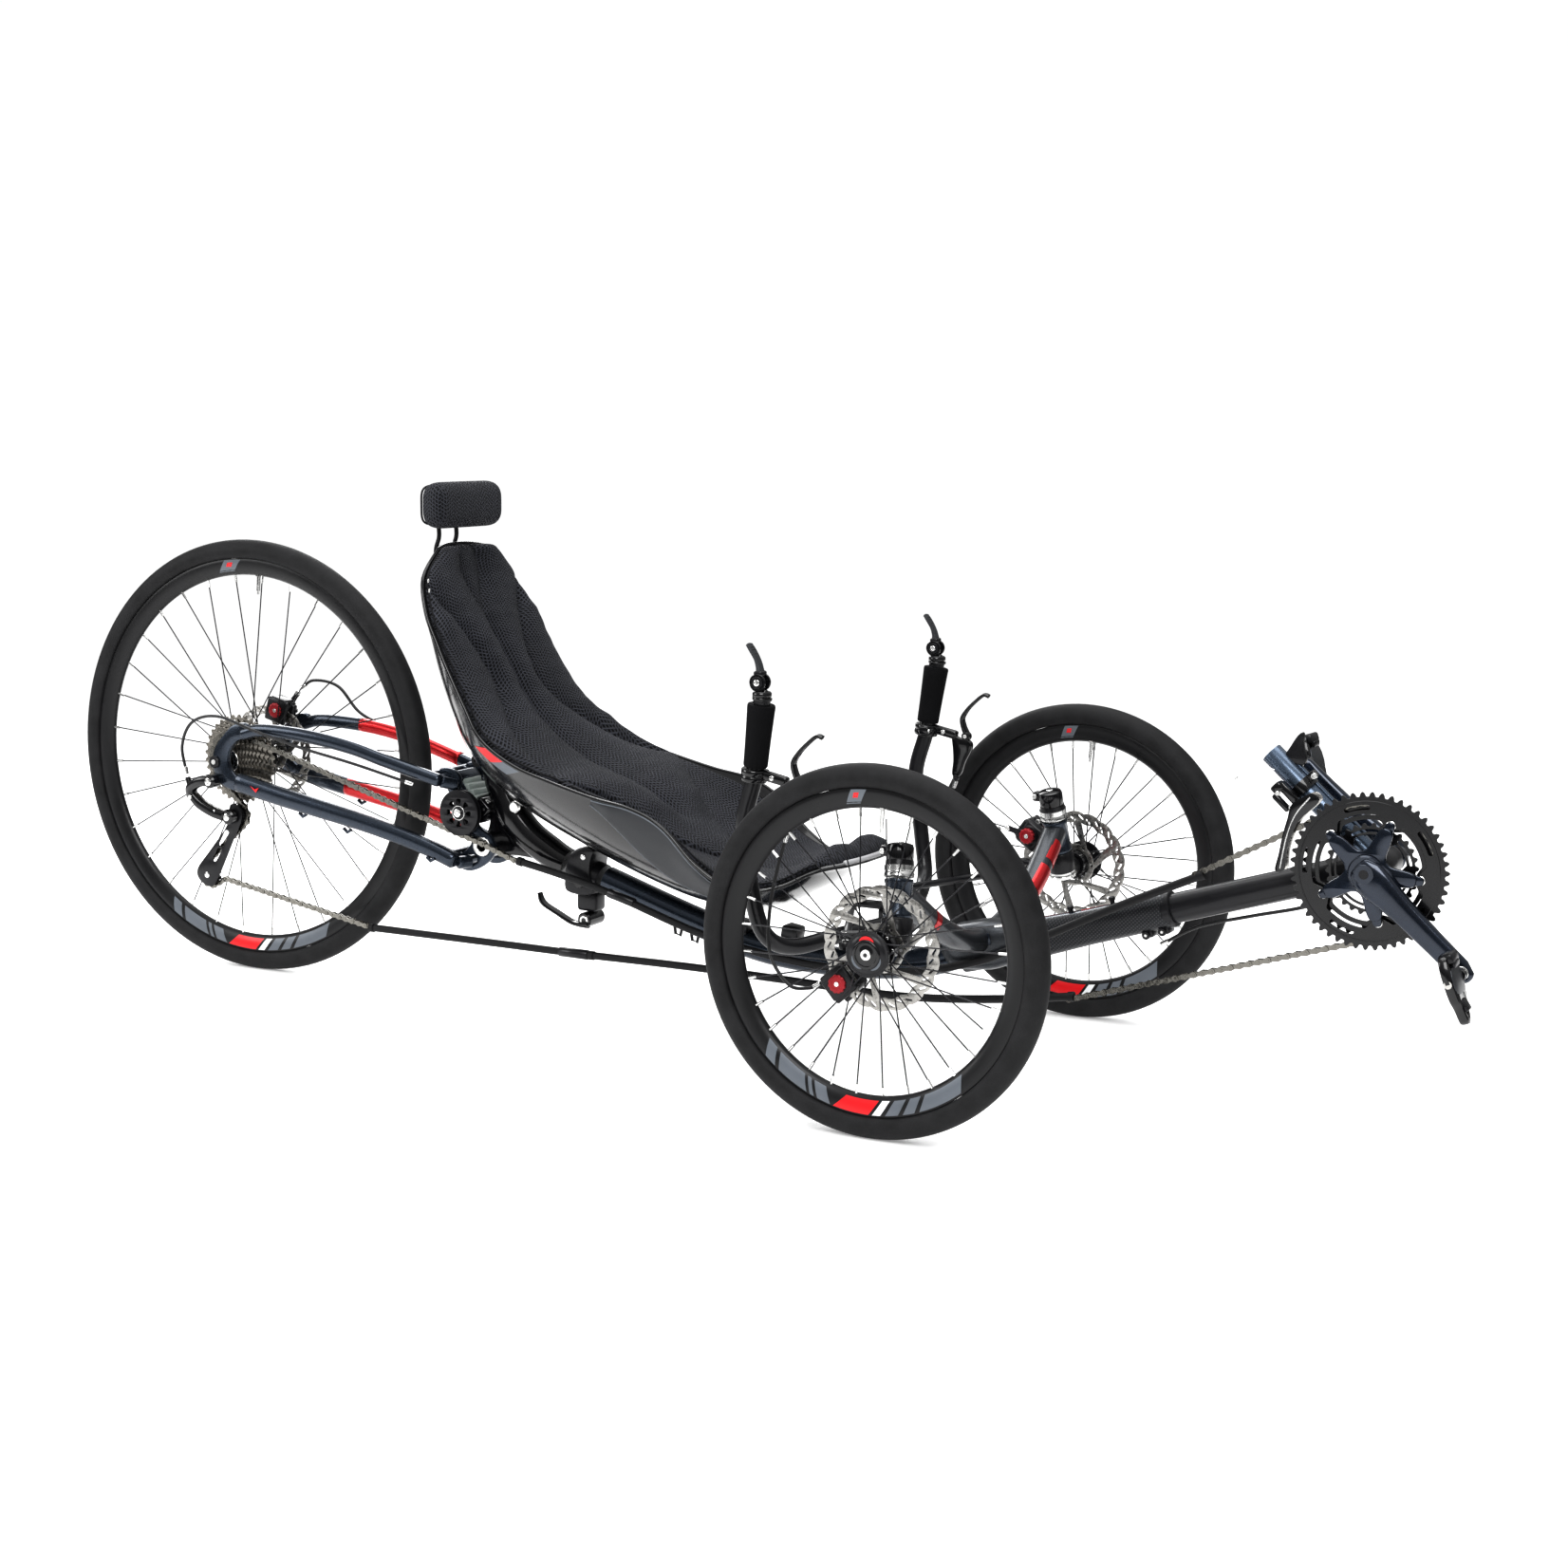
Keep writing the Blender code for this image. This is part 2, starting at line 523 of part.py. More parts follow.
def main_frame():
    spine = smooth([at(-0.6040, 0, 0.2085), at(-0.4450, 0, 0.1600), at(-0.3300, 0, 0.1330),
                    at(-0.2000, 0, 0.1290), at(-0.0900, 0, 0.1430), at(-0.0200, 0, 0.1690)], 2)
    pieces = [tube([at(-0.03, 0, 0.1650), boom_point(0.085), boom_point(0.265)], 0.0232, 3),
              tube(spine, 0.0195, 3),
              block(at(0.000, 0, 0.1760), (0.110, 0.060, 0.062), turn_y=-0.25)]
    cuts = [cylinder(boom_point(0.100), boom_point(0.300), 0.0210, 14)]
    for sign in (-1, 1):
        arm = smooth([at(0.0, 0, 0.1850), at(0.0, sign * 0.080, 0.1990),
                      at(0.0, sign * 0.170, 0.2360), king(0.293, sign, 0.006)], 2)
        pieces.append(tube(arm, 0.0165, 3))
        pieces.append(cylinder(king(0.2640, sign), king(0.3130, sign), 0.0185, 14))
        cuts.append(cylinder(king(0.2500, sign), king(0.3300, sign), 0.0132, 12))
    for x, z in ((0.2340, 0.2190), (0.2560, 0.2260)):
        pieces.append(cylinder(at(x, -0.0130, z), at(x, 0.0130, z), 0.0065, 8))
    for x, z in ((0.1250, 0.2320), (0.1830, 0.2500)):
        pieces.append(cylinder(at(x, 0.0, z - 0.004), at(x - 0.003, 0.0, z + 0.0130), 0.0035, 6))
    pieces.append(block(at(STEER_PIVOT_X, 0, 0.1520), (0.040, 0.034, 0.024)))
    part("main_frame", GRAPHITE, pieces, cuts=cuts)


def boom():
    shell = turned([(0.0130, 0.0340), (0.0215, 0.0340), (0.0215, -0.0330), (0.0130, -0.0330)],
                   side_point(BB, 0), (0, 1, 0), 16)
    along = Vector((POST_TOP[0] - BB[0], 0, POST_TOP[1] - BB[1]))
    post = cylinder(side_point(BB, 0) + along.normalized() * 0.018,
                    side_point(BB, 0) + along, 0.0143, 14)
    core = cylinder(side_point(BB, 0) - Vector((0, 0.05, 0)),
                    side_point(BB, 0) + Vector((0, 0.05, 0)), 0.0130, 12)
    main = cylinder(boom_point(0.120), boom_point(0.512), 0.0199, 14)
    part("boom", BLACK_SATIN, [main, shell, post], cuts=[core])


def front_derailleur():
    along = Vector((POST_TOP[0] - BB[0], 0, POST_TOP[1] - BB[1])).normalized()
    spot = side_point(BB, 0) + along * 0.135
    band = turned([(0.0148, 0.0080), (0.0185, 0.0080), (0.0185, -0.0080), (0.0148, -0.0080)],
                  spot, along, 14)
    body = block(spot + Vector((-0.014, -0.027, -0.012)), (0.040, 0.024, 0.018), turn_y=0.75)
    arm = plate([(0.3880, 0.4400), (0.4150, 0.4480), (0.4450, 0.4380), (0.4700, 0.4430),
                 (0.4640, 0.4280), (0.4300, 0.3950), (0.4220, 0.3300), (0.4120, 0.3300),
                 (0.4120, 0.4000), (0.3850, 0.4250)], 0.0014, -0.0380)
    part("front_derailleur", STEEL, [band, body, arm])


def rear_frame():
    mast = smooth([at(-0.6680, 0, 0.2270), at(-0.7020, 0, 0.2400), at(-0.7450, 0, 0.2660),
                   at(-0.7750, 0, 0.3000), at(-0.7950, 0, 0.3380)], 2)
    gusset = plate([(-0.690, 0.228), (-0.760, 0.230), (-0.801, 0.232), (-0.812, 0.250),
                    (-0.806, 0.300), (-0.812, 0.368), (-0.785, 0.330), (-0.730, 0.262)],
                   0.012, 0)
    cup = block(elastomer_point(0.0740), (0.0290, 0.044, 0.034), turn_y=ELASTOMER_TILT)
    barrel = cylinder(side_point(SWING_PIVOT, -0.0290), side_point(SWING_PIVOT, 0.0290),
                      0.0190, 14)
    axle = cylinder(side_point(SWING_PIVOT, -0.0405), side_point(SWING_PIVOT, 0.0405), 0.0110, 12)
    seat_lug = cylinder(at(-0.8240, -0.0160, 0.3720), at(-0.8240, 0.0160, 0.3720), 0.0100, 10)
    top = block(at(-0.8120, 0, 0.3640), (0.026, 0.020, 0.022), turn_y=0.6)
    hollow = cylinder(side_point(SWING_PIVOT, -0.06), side_point(SWING_PIVOT, 0.06), 0.0080, 10)
    part("rear_frame", BLACK_GLOSS, [tube(mast, 0.0190, 3), gusset, cup, barrel, axle,
                                     top, seat_lug], cuts=[hollow])


def fold_clamp():
    """Machined collar over the fold joint, between the main frame and the rear frame."""
    arch = plate([(-0.6600, 0.1880), (-0.6600, 0.2350), (-0.6500, 0.2500), (-0.6320, 0.2580),
                  (-0.6140, 0.2570), (-0.6140, 0.1880)], 0.052, 0)
    foot = block(at(-0.6330, 0, 0.1760), (0.034, 0.030, 0.030))
    part("fold_clamp", BLACK_SATIN, [arch, foot])
    pivot = at(-0.6330, 0, 0.1480)
    barrel = cylinder(pivot - Vector((0, 0.0210, 0)), pivot + Vector((0, 0.0210, 0)), 0.0115, 12)
    lever = tube(smooth([pivot + Vector((0, -0.016, -0.004)), pivot + Vector((-0.040, -0.018, 0.006)),
                         pivot + Vector((-0.072, -0.018, 0.020)),
                         pivot + Vector((-0.078, -0.018, 0.033))], 2), 0.0042, 2)
    part("fold_lever", BLACK_SATIN, [barrel, lever], origin=pivot)


def swingarm():
    pieces = []
    for sign in (-1, 1):
        y = sign * 0.0740
        upper = smooth([at(-1.2300, y, 0.3920), at(-1.1900, y, 0.3990), at(-1.0690, y, 0.3930),
                        at(-0.9600, sign * 0.070, 0.3700), at(-0.8600, sign * 0.060, 0.3420)], 2)
        lower = smooth([at(-1.2420, y, 0.3160), at(-1.0960, y, 0.2890),
                        at(-0.9800, sign * 0.072, 0.2680),
                        at(-0.8900, sign * 0.066, 0.2450), at(-0.8230, sign * 0.060, 0.2220)], 2)
        pieces.append(tube(upper, 0.0098, 1))
        pieces.append(tube(lower, 0.0125, 2))
        dropout = plate([(-1.2300, 0.4010), (-1.2560, 0.3860), (-1.2860, 0.3640),
                         (-1.2900, 0.3350), (-1.2700, 0.3130), (-1.2200, 0.3050),
                         (-1.2200, 0.3260), (-1.2500, 0.3300), (-1.2520, 0.3580),
                         (-1.2200, 0.3830)], 0.0060, y)
        pieces.append(dropout)
        web = plate([(-0.8700, 0.3520), (-0.8420, 0.3480), (-0.8400, 0.3250), (-0.7960, 0.2680),
                     (-0.7800, 0.2480), (-0.7900, 0.2260), (-0.8230, 0.2080), (-0.8420, 0.2160),
                     (-0.8150, 0.2550), (-0.8560, 0.3180)], 0.0080, sign * 0.0345)
        pieces.append(web)
        pieces.append(cylinder(side_point(SWING_PIVOT, sign * 0.0300),
                               side_point(SWING_PIVOT, sign * 0.0385), 0.0190, 14))
    pieces.append(cylinder(at(-0.8720, -0.066, 0.3470), at(-0.8720, 0.066, 0.3470), 0.0085, 10))
    pieces.append(cylinder(at(-0.8400, -0.062, 0.2200), at(-0.8400, 0.062, 0.2200), 0.0080, 10))
    pieces.append(block(elastomer_point(0.0135), (0.018, 0.050, 0.036), turn_y=ELASTOMER_TILT))
    cuts = [cylinder(side_point(SWING_PIVOT, -0.09), side_point(SWING_PIVOT, 0.09), 0.0118, 14)]
    cuts.append(cylinder(side_point(SPROCKET, -0.09), side_point(SPROCKET, 0.09), 0.0058, 8))
    pieces.append(cylinder(side_point(IDLER, -0.0530), side_point(IDLER, -0.0320), 0.0037, 8))
    part("swingarm", GRAPHITE, pieces, cuts=cuts, origin=side_point(SWING_PIVOT, 0))


def elastomer_point(distance):
    """Point on the elastomer's middle line, from the swingarm's upper cross tube forward."""
    return at(-0.8720, 0, 0.3470) + Matrix.Rotation(ELASTOMER_TILT, 3, "Y") @ Vector(
        (distance, 0, 0))


def elastomer():
    part("suspension_elastomer", ELASTOMER,
         [block(elastomer_point(0.0410), (0.0355, 0.046, 0.034), turn_y=ELASTOMER_TILT)])


def rear_derailleur():
    y = CHAIN_Y - 0.0090
    cage = [(-1.2730, 0.2680), (-1.2520, 0.2680), (-1.2500, 0.2450), (-1.3080, 0.1450),
            (-1.3350, 0.1450), (-1.3400, 0.1580), (-1.2740, 0.2420)]
    cage_out = plate(cage, 0.0016, y)
    cage_in = plate(cage, 0.0016, CHAIN_Y + 0.0055)
    pins = [cylinder(side_point(p, y - 0.003), side_point(p, CHAIN_Y + 0.0064), 0.0028, 8)
            for p in (JOCKEY_TOP, JOCKEY_LOW)]
    body = tube([at(-1.2790, -0.0840, 0.3140), at(-1.3150, -0.0840, 0.3080),
                 at(-1.3250, -0.0760, 0.2850), at(-1.2950, -0.0680, 0.2600),
                 at(-1.2630, -0.0620, 0.2560)], 0.0120, 2, scales=(0.8, 1.0, 1.1, 1.1, 0.9))
    part("rear_derailleur", BLACK_SATIN, [cage_out, cage_in, *pins, body],
         origin=side_point(SWING_PIVOT, 0))


def caliper(name, arm_name, hub, spin, inboard, reach, arm_angle, pivot):
    """Brake caliper over a rotor, and its cable arm; spin is its angle round the hub, inboard
    the side away from the wheel, reach how far the body stands out on that side, and pivot
    a point on the axis the caliper's carrier turns about."""
    out = Vector((math.cos(spin), 0, math.sin(spin)))
    middle = hub + out * 0.0740
    depth = reach + CALIPER_OUTBOARD
    body = block(middle + Vector((0, inboard * (reach - CALIPER_OUTBOARD) / 2, 0)),
                 (0.040, depth, 0.048), turn_y=-spin)
    slot = block(middle - out * 0.0080, (0.052, 0.0062, 0.060), turn_y=-spin)
    face = middle + Vector((0, inboard * reach, 0))
    side = Vector((0, inboard, 0))
    stem = cylinder(face - side * 0.004, face + side * 0.0060, 0.0060, 10)
    knob = cylinder(face + side * 0.0052, face + side * 0.0112, 0.0115, 10)
    part(name, BLACK_SATIN, [body, stem, knob], cuts=[slot], origin=pivot)
    ring = turned([(0.0070, 0.0018), (0.0140, 0.0018), (0.0140, -0.0018), (0.0070, -0.0018)],
                  face + side * 0.0026, (0, 1, 0), 14)
    away = Vector((math.cos(arm_angle), 0, math.sin(arm_angle)))
    lever = block(face + side * 0.0026 + away * 0.0250, (0.0260, 0.0030, 0.0085),
                  turn_y=-arm_angle)
    part(arm_name, BLACK_SATIN, [ring, lever], origin=face + side * 0.0026)


def calipers():
    disc = TRACK_HALF - ROTOR_INSET
    caliper("caliper_right", "caliper_arm_right", at(0, -disc, FRONT_RADIUS),
            math.radians(222), 1, 0.0290, math.radians(190), king(0.2360, -1))
    caliper("caliper_left", "caliper_arm_left", at(0, disc, FRONT_RADIUS),
            math.radians(145), -1, 0.0290, math.radians(165), king(0.2360, 1))
    caliper("rear_caliper", "rear_caliper_arm", side_point(SPROCKET, 0.0440),
            math.radians(75), 1, 0.0165, math.radians(50), side_point(SWING_PIVOT, 0))


# ---- steering -----------------------------------------------------------------------------
def knuckle(side, sign):
    foot = king(0.2360, sign)
    pin = cylinder(king(0.2500, sign), king(0.3450, sign), 0.0120, 12)
    boss = cylinder(king(0.2240, sign), king(0.2636, sign), 0.0200, 14)
    centre = at(0, sign * TRACK_HALF, FRONT_RADIUS)
    stub = cylinder((foot.x, foot.y, FRONT_RADIUS), centre + Vector((0, sign * 0.0120, 0)),
                    0.0082, 10)
    shoulder = cylinder((centre.x, foot.y, FRONT_RADIUS),
                        (centre.x, sign * (TRACK_HALF - 0.0370), FRONT_RADIUS), 0.0150, 12)
    ball = tie_outer(sign)
    arm_z = TIE_Z + 0.0130
    arm = tube([Vector((foot.x - 0.006, foot.y, arm_z)), Vector((ball.x - 0.009, ball.y, arm_z))],
               0.0060, 2)
    rings = cylinder(king(0.3134, sign), king(0.3350, sign), 0.0195, 14)
    cap = cylinder(king(0.3340, sign), king(0.3560, sign), 0.0170, 14)
    ear = block(king(0.3450, sign) + Vector((-0.0200, 0, 0)), (0.012, 0.016, 0.014))
    part(f"knuckle_{side}", BLACK_SATIN, [boss, pin, stub, shoulder, arm, rings, cap, ear],
         origin=king(0.2360, sign))


def tie_outer(sign):
    spot = king(TIE_Z, sign)
    return spot + Vector((TIE_ARM[0], sign * TIE_ARM[1], 0))


def tie_rod(side, sign):
    inner = at(STEER_PIVOT_X + TIE_ARM[0], sign * TIE_ARM[1], TIE_Z)
    outer = tie_outer(sign)
    line = (outer - inner).normalized()
    rod = tube([inner + line * 0.006, outer - line * 0.006], 0.0045, 2)
    ends = [cylinder(p - Vector((0, 0, 0.005)), p + Vector((0, 0, 0.005)), 0.0085, 10)
            for p in (inner, outer)]
    part(f"tie_rod_{side}", BLACK_SATIN, [rod, *ends], origin=inner)


def left_bar_line():
    """The bar from its middle under the seat to the left grip's top."""
    return [at(-0.1300, 0.000, 0.1980), at(-0.1600, 0.120, 0.1960), at(-0.1900, 0.200, 0.1920),
            at(-0.2050, 0.250, 0.2150), at(-0.2180, 0.264, 0.2700), at(-0.2300, 0.2660, 0.3600),
            at(-0.2120, 0.2675, 0.4350), at(-0.2010, 0.2720, 0.5300)]


def steering():
    left = left_bar_line()
    right = [Vector((p.x, -p.y, p.z)) for p in left]
    path = smooth(right[:0:-1] + left, 2)
    pivot = at(STEER_PIVOT_X, 0, 0.2000)
    clamp = block(pivot, (0.044, 0.050, 0.036))
    crown = plate([(-0.2090, 0.213), (-0.1300, 0.213), (-0.1300, 0.219), (-0.2090, 0.219)],
                  0.030, 0)
    stem = cylinder(at(STEER_PIVOT_X, 0, 0.1645), at(STEER_PIVOT_X, 0, 0.1900), 0.0140, 12)
    pieces = [tube(path, 0.0111, 2), clamp, crown, stem]
    for sign in (-1, 1):
        top = at(-0.2010, sign * 0.2720, 0.5290)
        pod = block(at(-0.2040, sign * 0.2720, 0.5395), (0.012, 0.010, 0.029))
        pieces += [cylinder(top, top + Vector((0.0, 0, 0.010)), 0.0125, 10), pod]
    part("handlebar", BLACK_SATIN, pieces, origin=pivot)
    for side, sign in (("right", -1), ("left", 1)):
        low = at(-0.2125, sign * 0.2675, 0.4400)
        high = at(-0.2018, sign * 0.2716, 0.5220)
        bore = cylinder(low + (low - high), high + (high - low), 0.0136, 12)
        part(f"grip_{side}", BLACK_PLASTIC,
             [cylinder(low, high, 0.0165, 12, end_radius=0.0180)], cuts=[bore], origin=pivot)
        band_low = at(-0.2153, sign * 0.2673, 0.4210)
        band_high = at(-0.2131, sign * 0.2675, 0.4370)
        axis = band_high - band_low
        bore = cylinder(band_low - axis, band_high + axis, 0.0134, 12)
        band = cylinder(band_low, band_high, 0.0175, 12)
        reach = block(at(-0.1845, sign * 0.268, 0.4270), (0.041, 0.012, 0.013), turn_y=0.20)
        body = plate([(-0.1700, 0.4200), (-0.1520, 0.4150), (-0.1420, 0.4060), (-0.1580, 0.3620),
                      (-0.1700, 0.3640), (-0.1660, 0.4000)], 0.010, sign * 0.268)
        part(f"lever_mount_{side}", BLACK_GLOSS, [band, reach, body], cuts=[bore],
             origin=pivot)
        hinge = at(-0.1495, sign * 0.268, 0.4230)
        blade = tube(smooth([hinge, at(-0.1560, sign * 0.268, 0.4480),
                             at(-0.1400, sign * 0.268, 0.4700), at(-0.1250, sign * 0.268, 0.4840),
                             at(-0.1140, sign * 0.268, 0.4840)], 2), 0.0042, 2)
        knuckle_eye = cylinder(hinge - Vector((0, 0.0045, 0)), hinge + Vector((0, 0.0045, 0)),
                               0.0062, 10)
        part(f"brake_lever_{side}", BLACK_GLOSS, [knuckle_eye, blade], origin=hinge)
        spot = at(-0.2040, sign * 0.2720, 0.5500)
        drum = turned([(0.0016, 0.0080), (0.0110, 0.0080), (0.0110, 0.0056), (0.0016, 0.0056)],
                      spot, (0, 1, 0), 14)
        drum_far = turned([(0.0016, -0.0056), (0.0110, -0.0056), (0.0110, -0.0080),
                           (0.0016, -0.0080)], spot, (0, 1, 0), 14)
        paddle = tube([at(-0.2040, sign * 0.2720, 0.5620), at(-0.2080, sign * 0.2720, 0.5780),
                       at(-0.2220, sign * 0.2720, 0.6010)], 0.0048, 2, scales=(1, 1, 0.8))
        yoke = block(at(-0.2040, sign * 0.2720, 0.5610), (0.012, 0.0160, 0.008))
        part(f"shift_lever_{side}", BLACK_SATIN, [yoke, drum, drum_far, paddle], origin=spot)
        knuckle(side, sign)
        tie_rod(side, sign)


# ---- seat ---------------------------------------------------------------------------------
# rim line: forward, up, half width; and the shell's middle line below or behind it
SEAT_STATIONS = [
    ((-0.8600, 0.6900, 0.060), (-0.8700, 0.6950)),
    ((-0.8520, 0.6500, 0.110), (-0.8780, 0.6500)),
    ((-0.8340, 0.6000, 0.129), (-0.8760, 0.6000)),
    ((-0.8100, 0.5580, 0.137), (-0.8690, 0.5480)),
    ((-0.7870, 0.5200, 0.143), (-0.8580, 0.4980)),
    ((-0.7530, 0.4680, 0.150), (-0.8380, 0.4400)),
    ((-0.7200, 0.4250, 0.158), (-0.8070, 0.3850)),
    ((-0.6600, 0.3930, 0.165), (-0.7500, 0.3300)),
    ((-0.5900, 0.3740, 0.170), (-0.6750, 0.2900)),
    ((-0.5200, 0.3580, 0.172), (-0.5850, 0.2520)),
    ((-0.4600, 0.3480, 0.172), (-0.5000, 0.2210)),
    ((-0.4100, 0.3250, 0.170), (-0.4200, 0.2000)),
    ((-0.3600, 0.2780, 0.168), (-0.3450, 0.1960)),
    ((-0.3050, 0.2480, 0.160), (-0.2850, 0.2100)),
    ((-0.2500, 0.2520, 0.140), (-0.2300, 0.2400)),
    ((-0.2050, 0.2740, 0.110), (-0.1880, 0.2720)),
    ((-0.1760, 0.2800, 0.080), (-0.1620, 0.2820)),
]
# middle of the cushion's upper side (x, z) at each seat station but the last
PAD_LINE = [(-0.8550, 0.6880), (-0.8460, 0.6520), (-0.8280, 0.6030), (-0.8050, 0.5600),
            (-0.7810, 0.5160), (-0.7520, 0.4690), (-0.7120, 0.4300), (-0.6550, 0.3920),
            (-0.5900, 0.3620), (-0.5300, 0.3320), (-0.4750, 0.2960), (-0.4120, 0.2640),
            (-0.3520, 0.2480), (-0.2980, 0.2490), (-0.2460, 0.2630), (-0.2030, 0.2920)]


def seat_surface(width_scale, lift, last=None):
    """Open surface through the seat stations; lift moves it inwards, off the shell's back."""
    bm = bmesh.new()
    across = 8
    rows = []
    for edge, mid in SEAT_STATIONS[:last]:
        row = []
        for k in range(across + 1):
            t = (2 * k / across - 1) * width_scale
            rise = abs(t) ** 2.4
            x = mid[0] + (edge[0] - mid[0]) * rise
            z = mid[1] + (edge[1] - mid[1]) * rise
            row.append(bm.verts.new(at(x, edge[2] * t, z)))
        rows.append(row)
    for first_row, second_row in zip(rows, rows[1:]):
        for k in range(across):
            bm.faces.new((first_row[k], first_row[k + 1], second_row[k + 1], second_row[k]))
    bm.normal_update()
    moves = [v.normal * lift for v in bm.verts]
    for vert, move in zip(bm.verts, moves):
        vert.co -= move
    mesh = bpy.data.meshes.new("piece")
    bm.to_mesh(mesh)
    bm.free()
    return temp_object(mesh)


def seat_pad(width_scale, lift, crown):
    """Cushion that fills the shell, from just off its back up to the rider's side."""
    under = seat_surface(width_scale, lift, len(PAD_LINE))
    lower = [vert.co.copy() for vert in under.data.vertices]
    bpy.data.objects.remove(under, do_unlink=True)
    across = 8
    columns = across + 1
    upper = []
    for (edge, _), top in zip(SEAT_STATIONS, PAD_LINE):
        for k in range(columns):
            t = (2 * k / across - 1) * width_scale
            rise = abs(t) ** 3
            x = top[0] + (edge[0] - top[0]) * rise + 0.7 * crown
            z = top[1] + (edge[1] - top[1]) * rise + 0.7 * crown
            upper.append(at(x, edge[2] * t, z))
    bm = bmesh.new()
    verts = [bm.verts.new(point) for point in lower + upper]
    total = len(lower)
    for r in range(len(PAD_LINE) - 1):
        for k in range(across):
            low = r * columns + k
            quad = (low, low + 1, low + columns + 1, low + columns)
            bm.faces.new([verts[i] for i in quad])
            bm.faces.new([verts[total + i] for i in reversed(quad)])
        for side in (r * columns, r * columns + across):
            bm.faces.new([verts[i] for i in (side, side + columns, total + side + columns,
                                             total + side)])
    for row in (0, (len(PAD_LINE) - 1) * columns):
        for k in range(row, row + across):
            bm.faces.new([verts[i] for i in (k, k + 1, total + k + 1, total + k)])
    return from_bmesh(bm)


def thick(obj, thickness):
    modifier = obj.modifiers.new("thickness", "SOLIDIFY")
    modifier.thickness = thickness
    modifier.offset = 1.0
    modifier.use_even_offset = True
    return welded(evaluated(obj))


def seat():
    part("seat_shell", BLACK_GLOSS, [thick(seat_surface(1.0, 0.0), -0.0040)], sharp=50)
    part("seat_cushion", FABRIC, [seat_pad(0.86, 0.0100, 0.0130)], sharp=60)
    wires = []
    for sign in (-1, 1):
        wires.append(tube(smooth([at(-0.8880, sign * 0.022, 0.6300), at(-0.8900, sign * 0.022, 0.6850),
                                  at(-0.8840, sign * 0.022, 0.7050),
                                  at(-0.8860, sign * 0.022, 0.7430)], 2), 0.0032, 1))
    wires.append(cylinder(at(-0.8880, -0.030, 0.6450), at(-0.8880, 0.030, 0.6450), 0.0060, 8))
    wires.append(cylinder(at(-0.8860, -0.030, 0.7430), at(-0.8860, 0.030, 0.7430), 0.0045, 8))
    part("headrest_posts", STEEL, wires)
    pad = block(at(-0.8560, 0, 0.7530), (0.046, 0.166, 0.068))
    bevel = pad.modifiers.new("round", "BEVEL")
    bevel.width = 0.018
    bevel.segments = 2
    part("headrest_pad", FABRIC, [evaluated(pad)], origin=at(-0.8860, 0, 0.7430), sharp=60)


# ---- cables -------------------------------------------------------------------------------
def cable(name, points, pivot=None):
    line = smooth([at(*p) for p in points], 3)
    part(name, BLACK_PLASTIC, [tube(line, CABLE_RADIUS, 1)], origin=pivot)


def cables():
    cable("cable_front_shift", [(0.2500, 0.0, 0.2050), (0.3000, 0.0, 0.2340),
                                (0.3700, -0.004, 0.2560), (0.4400, -0.010, 0.2760),
                                (0.4850, -0.012, 0.2960)])
    cable("cable_rear_shift", [(-1.3380, -0.0760, 0.3200), (-1.3440, -0.0780, 0.3650),
                               (-1.3150, -0.0860, 0.4050), (-1.2600, -0.0900, 0.4180),
                               (-1.1900, -0.0880, 0.4000), (-1.1000, -0.0880, 0.3800),
                               (-1.0000, -0.0860, 0.3620), (-0.9000, -0.0760, 0.3380)],
          side_point(SWING_PIVOT, 0))
    cable("cable_rear_brake", [(-1.2190, 0.0631, 0.4500), (-1.1930, 0.0640, 0.4640),
                               (-1.1500, 0.0700, 0.4560), (-1.1150, 0.0800, 0.4150),
                               (-1.0600, 0.0900, 0.3920), (-0.9900, 0.0860, 0.3760),
                               (-0.9000, 0.0760, 0.3480)], side_point(SWING_PIVOT, 0))
    cable("cable_brake_right", [(-0.1650, -0.2680, 0.3560), (-0.1760, -0.2680, 0.3200),
                                (-0.1880, -0.2700, 0.2600), (-0.1840, -0.2780, 0.2000),
                                (-0.1500, -0.2900, 0.1640), (-0.1180, -0.2955, 0.1640),
                                (-0.1000, -0.2974, 0.1730)])
    cable("cable_brake_left", [(-0.1650, 0.2680, 0.3560), (-0.1760, 0.2680, 0.3240),
                               (-0.1780, 0.2720, 0.2960), (-0.1640, 0.2820, 0.2720),
                               (-0.1340, 0.2920, 0.2700), (-0.1050, 0.2974, 0.2850)])


front_wheels()
rear_wheel()
drive_line()
pulleys()
cranks()
main_frame()
boom()
front_derailleur()
rear_frame()
fold_clamp()
swingarm()
elastomer()
rear_derailleur()
calipers()
steering()
seat()
cables()
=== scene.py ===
"""Looks of a recumbent tadpole tricycle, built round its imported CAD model.

Metres, +X forward, +Y to the rider's left, +Z up.  Places are given forward of the front axle
and moved to the model's origin by at().
"""
from math import asin, atan2, copysign, cos, pi, radians, sin, sqrt

import bmesh
import bpy
from mathutils import Matrix, Vector


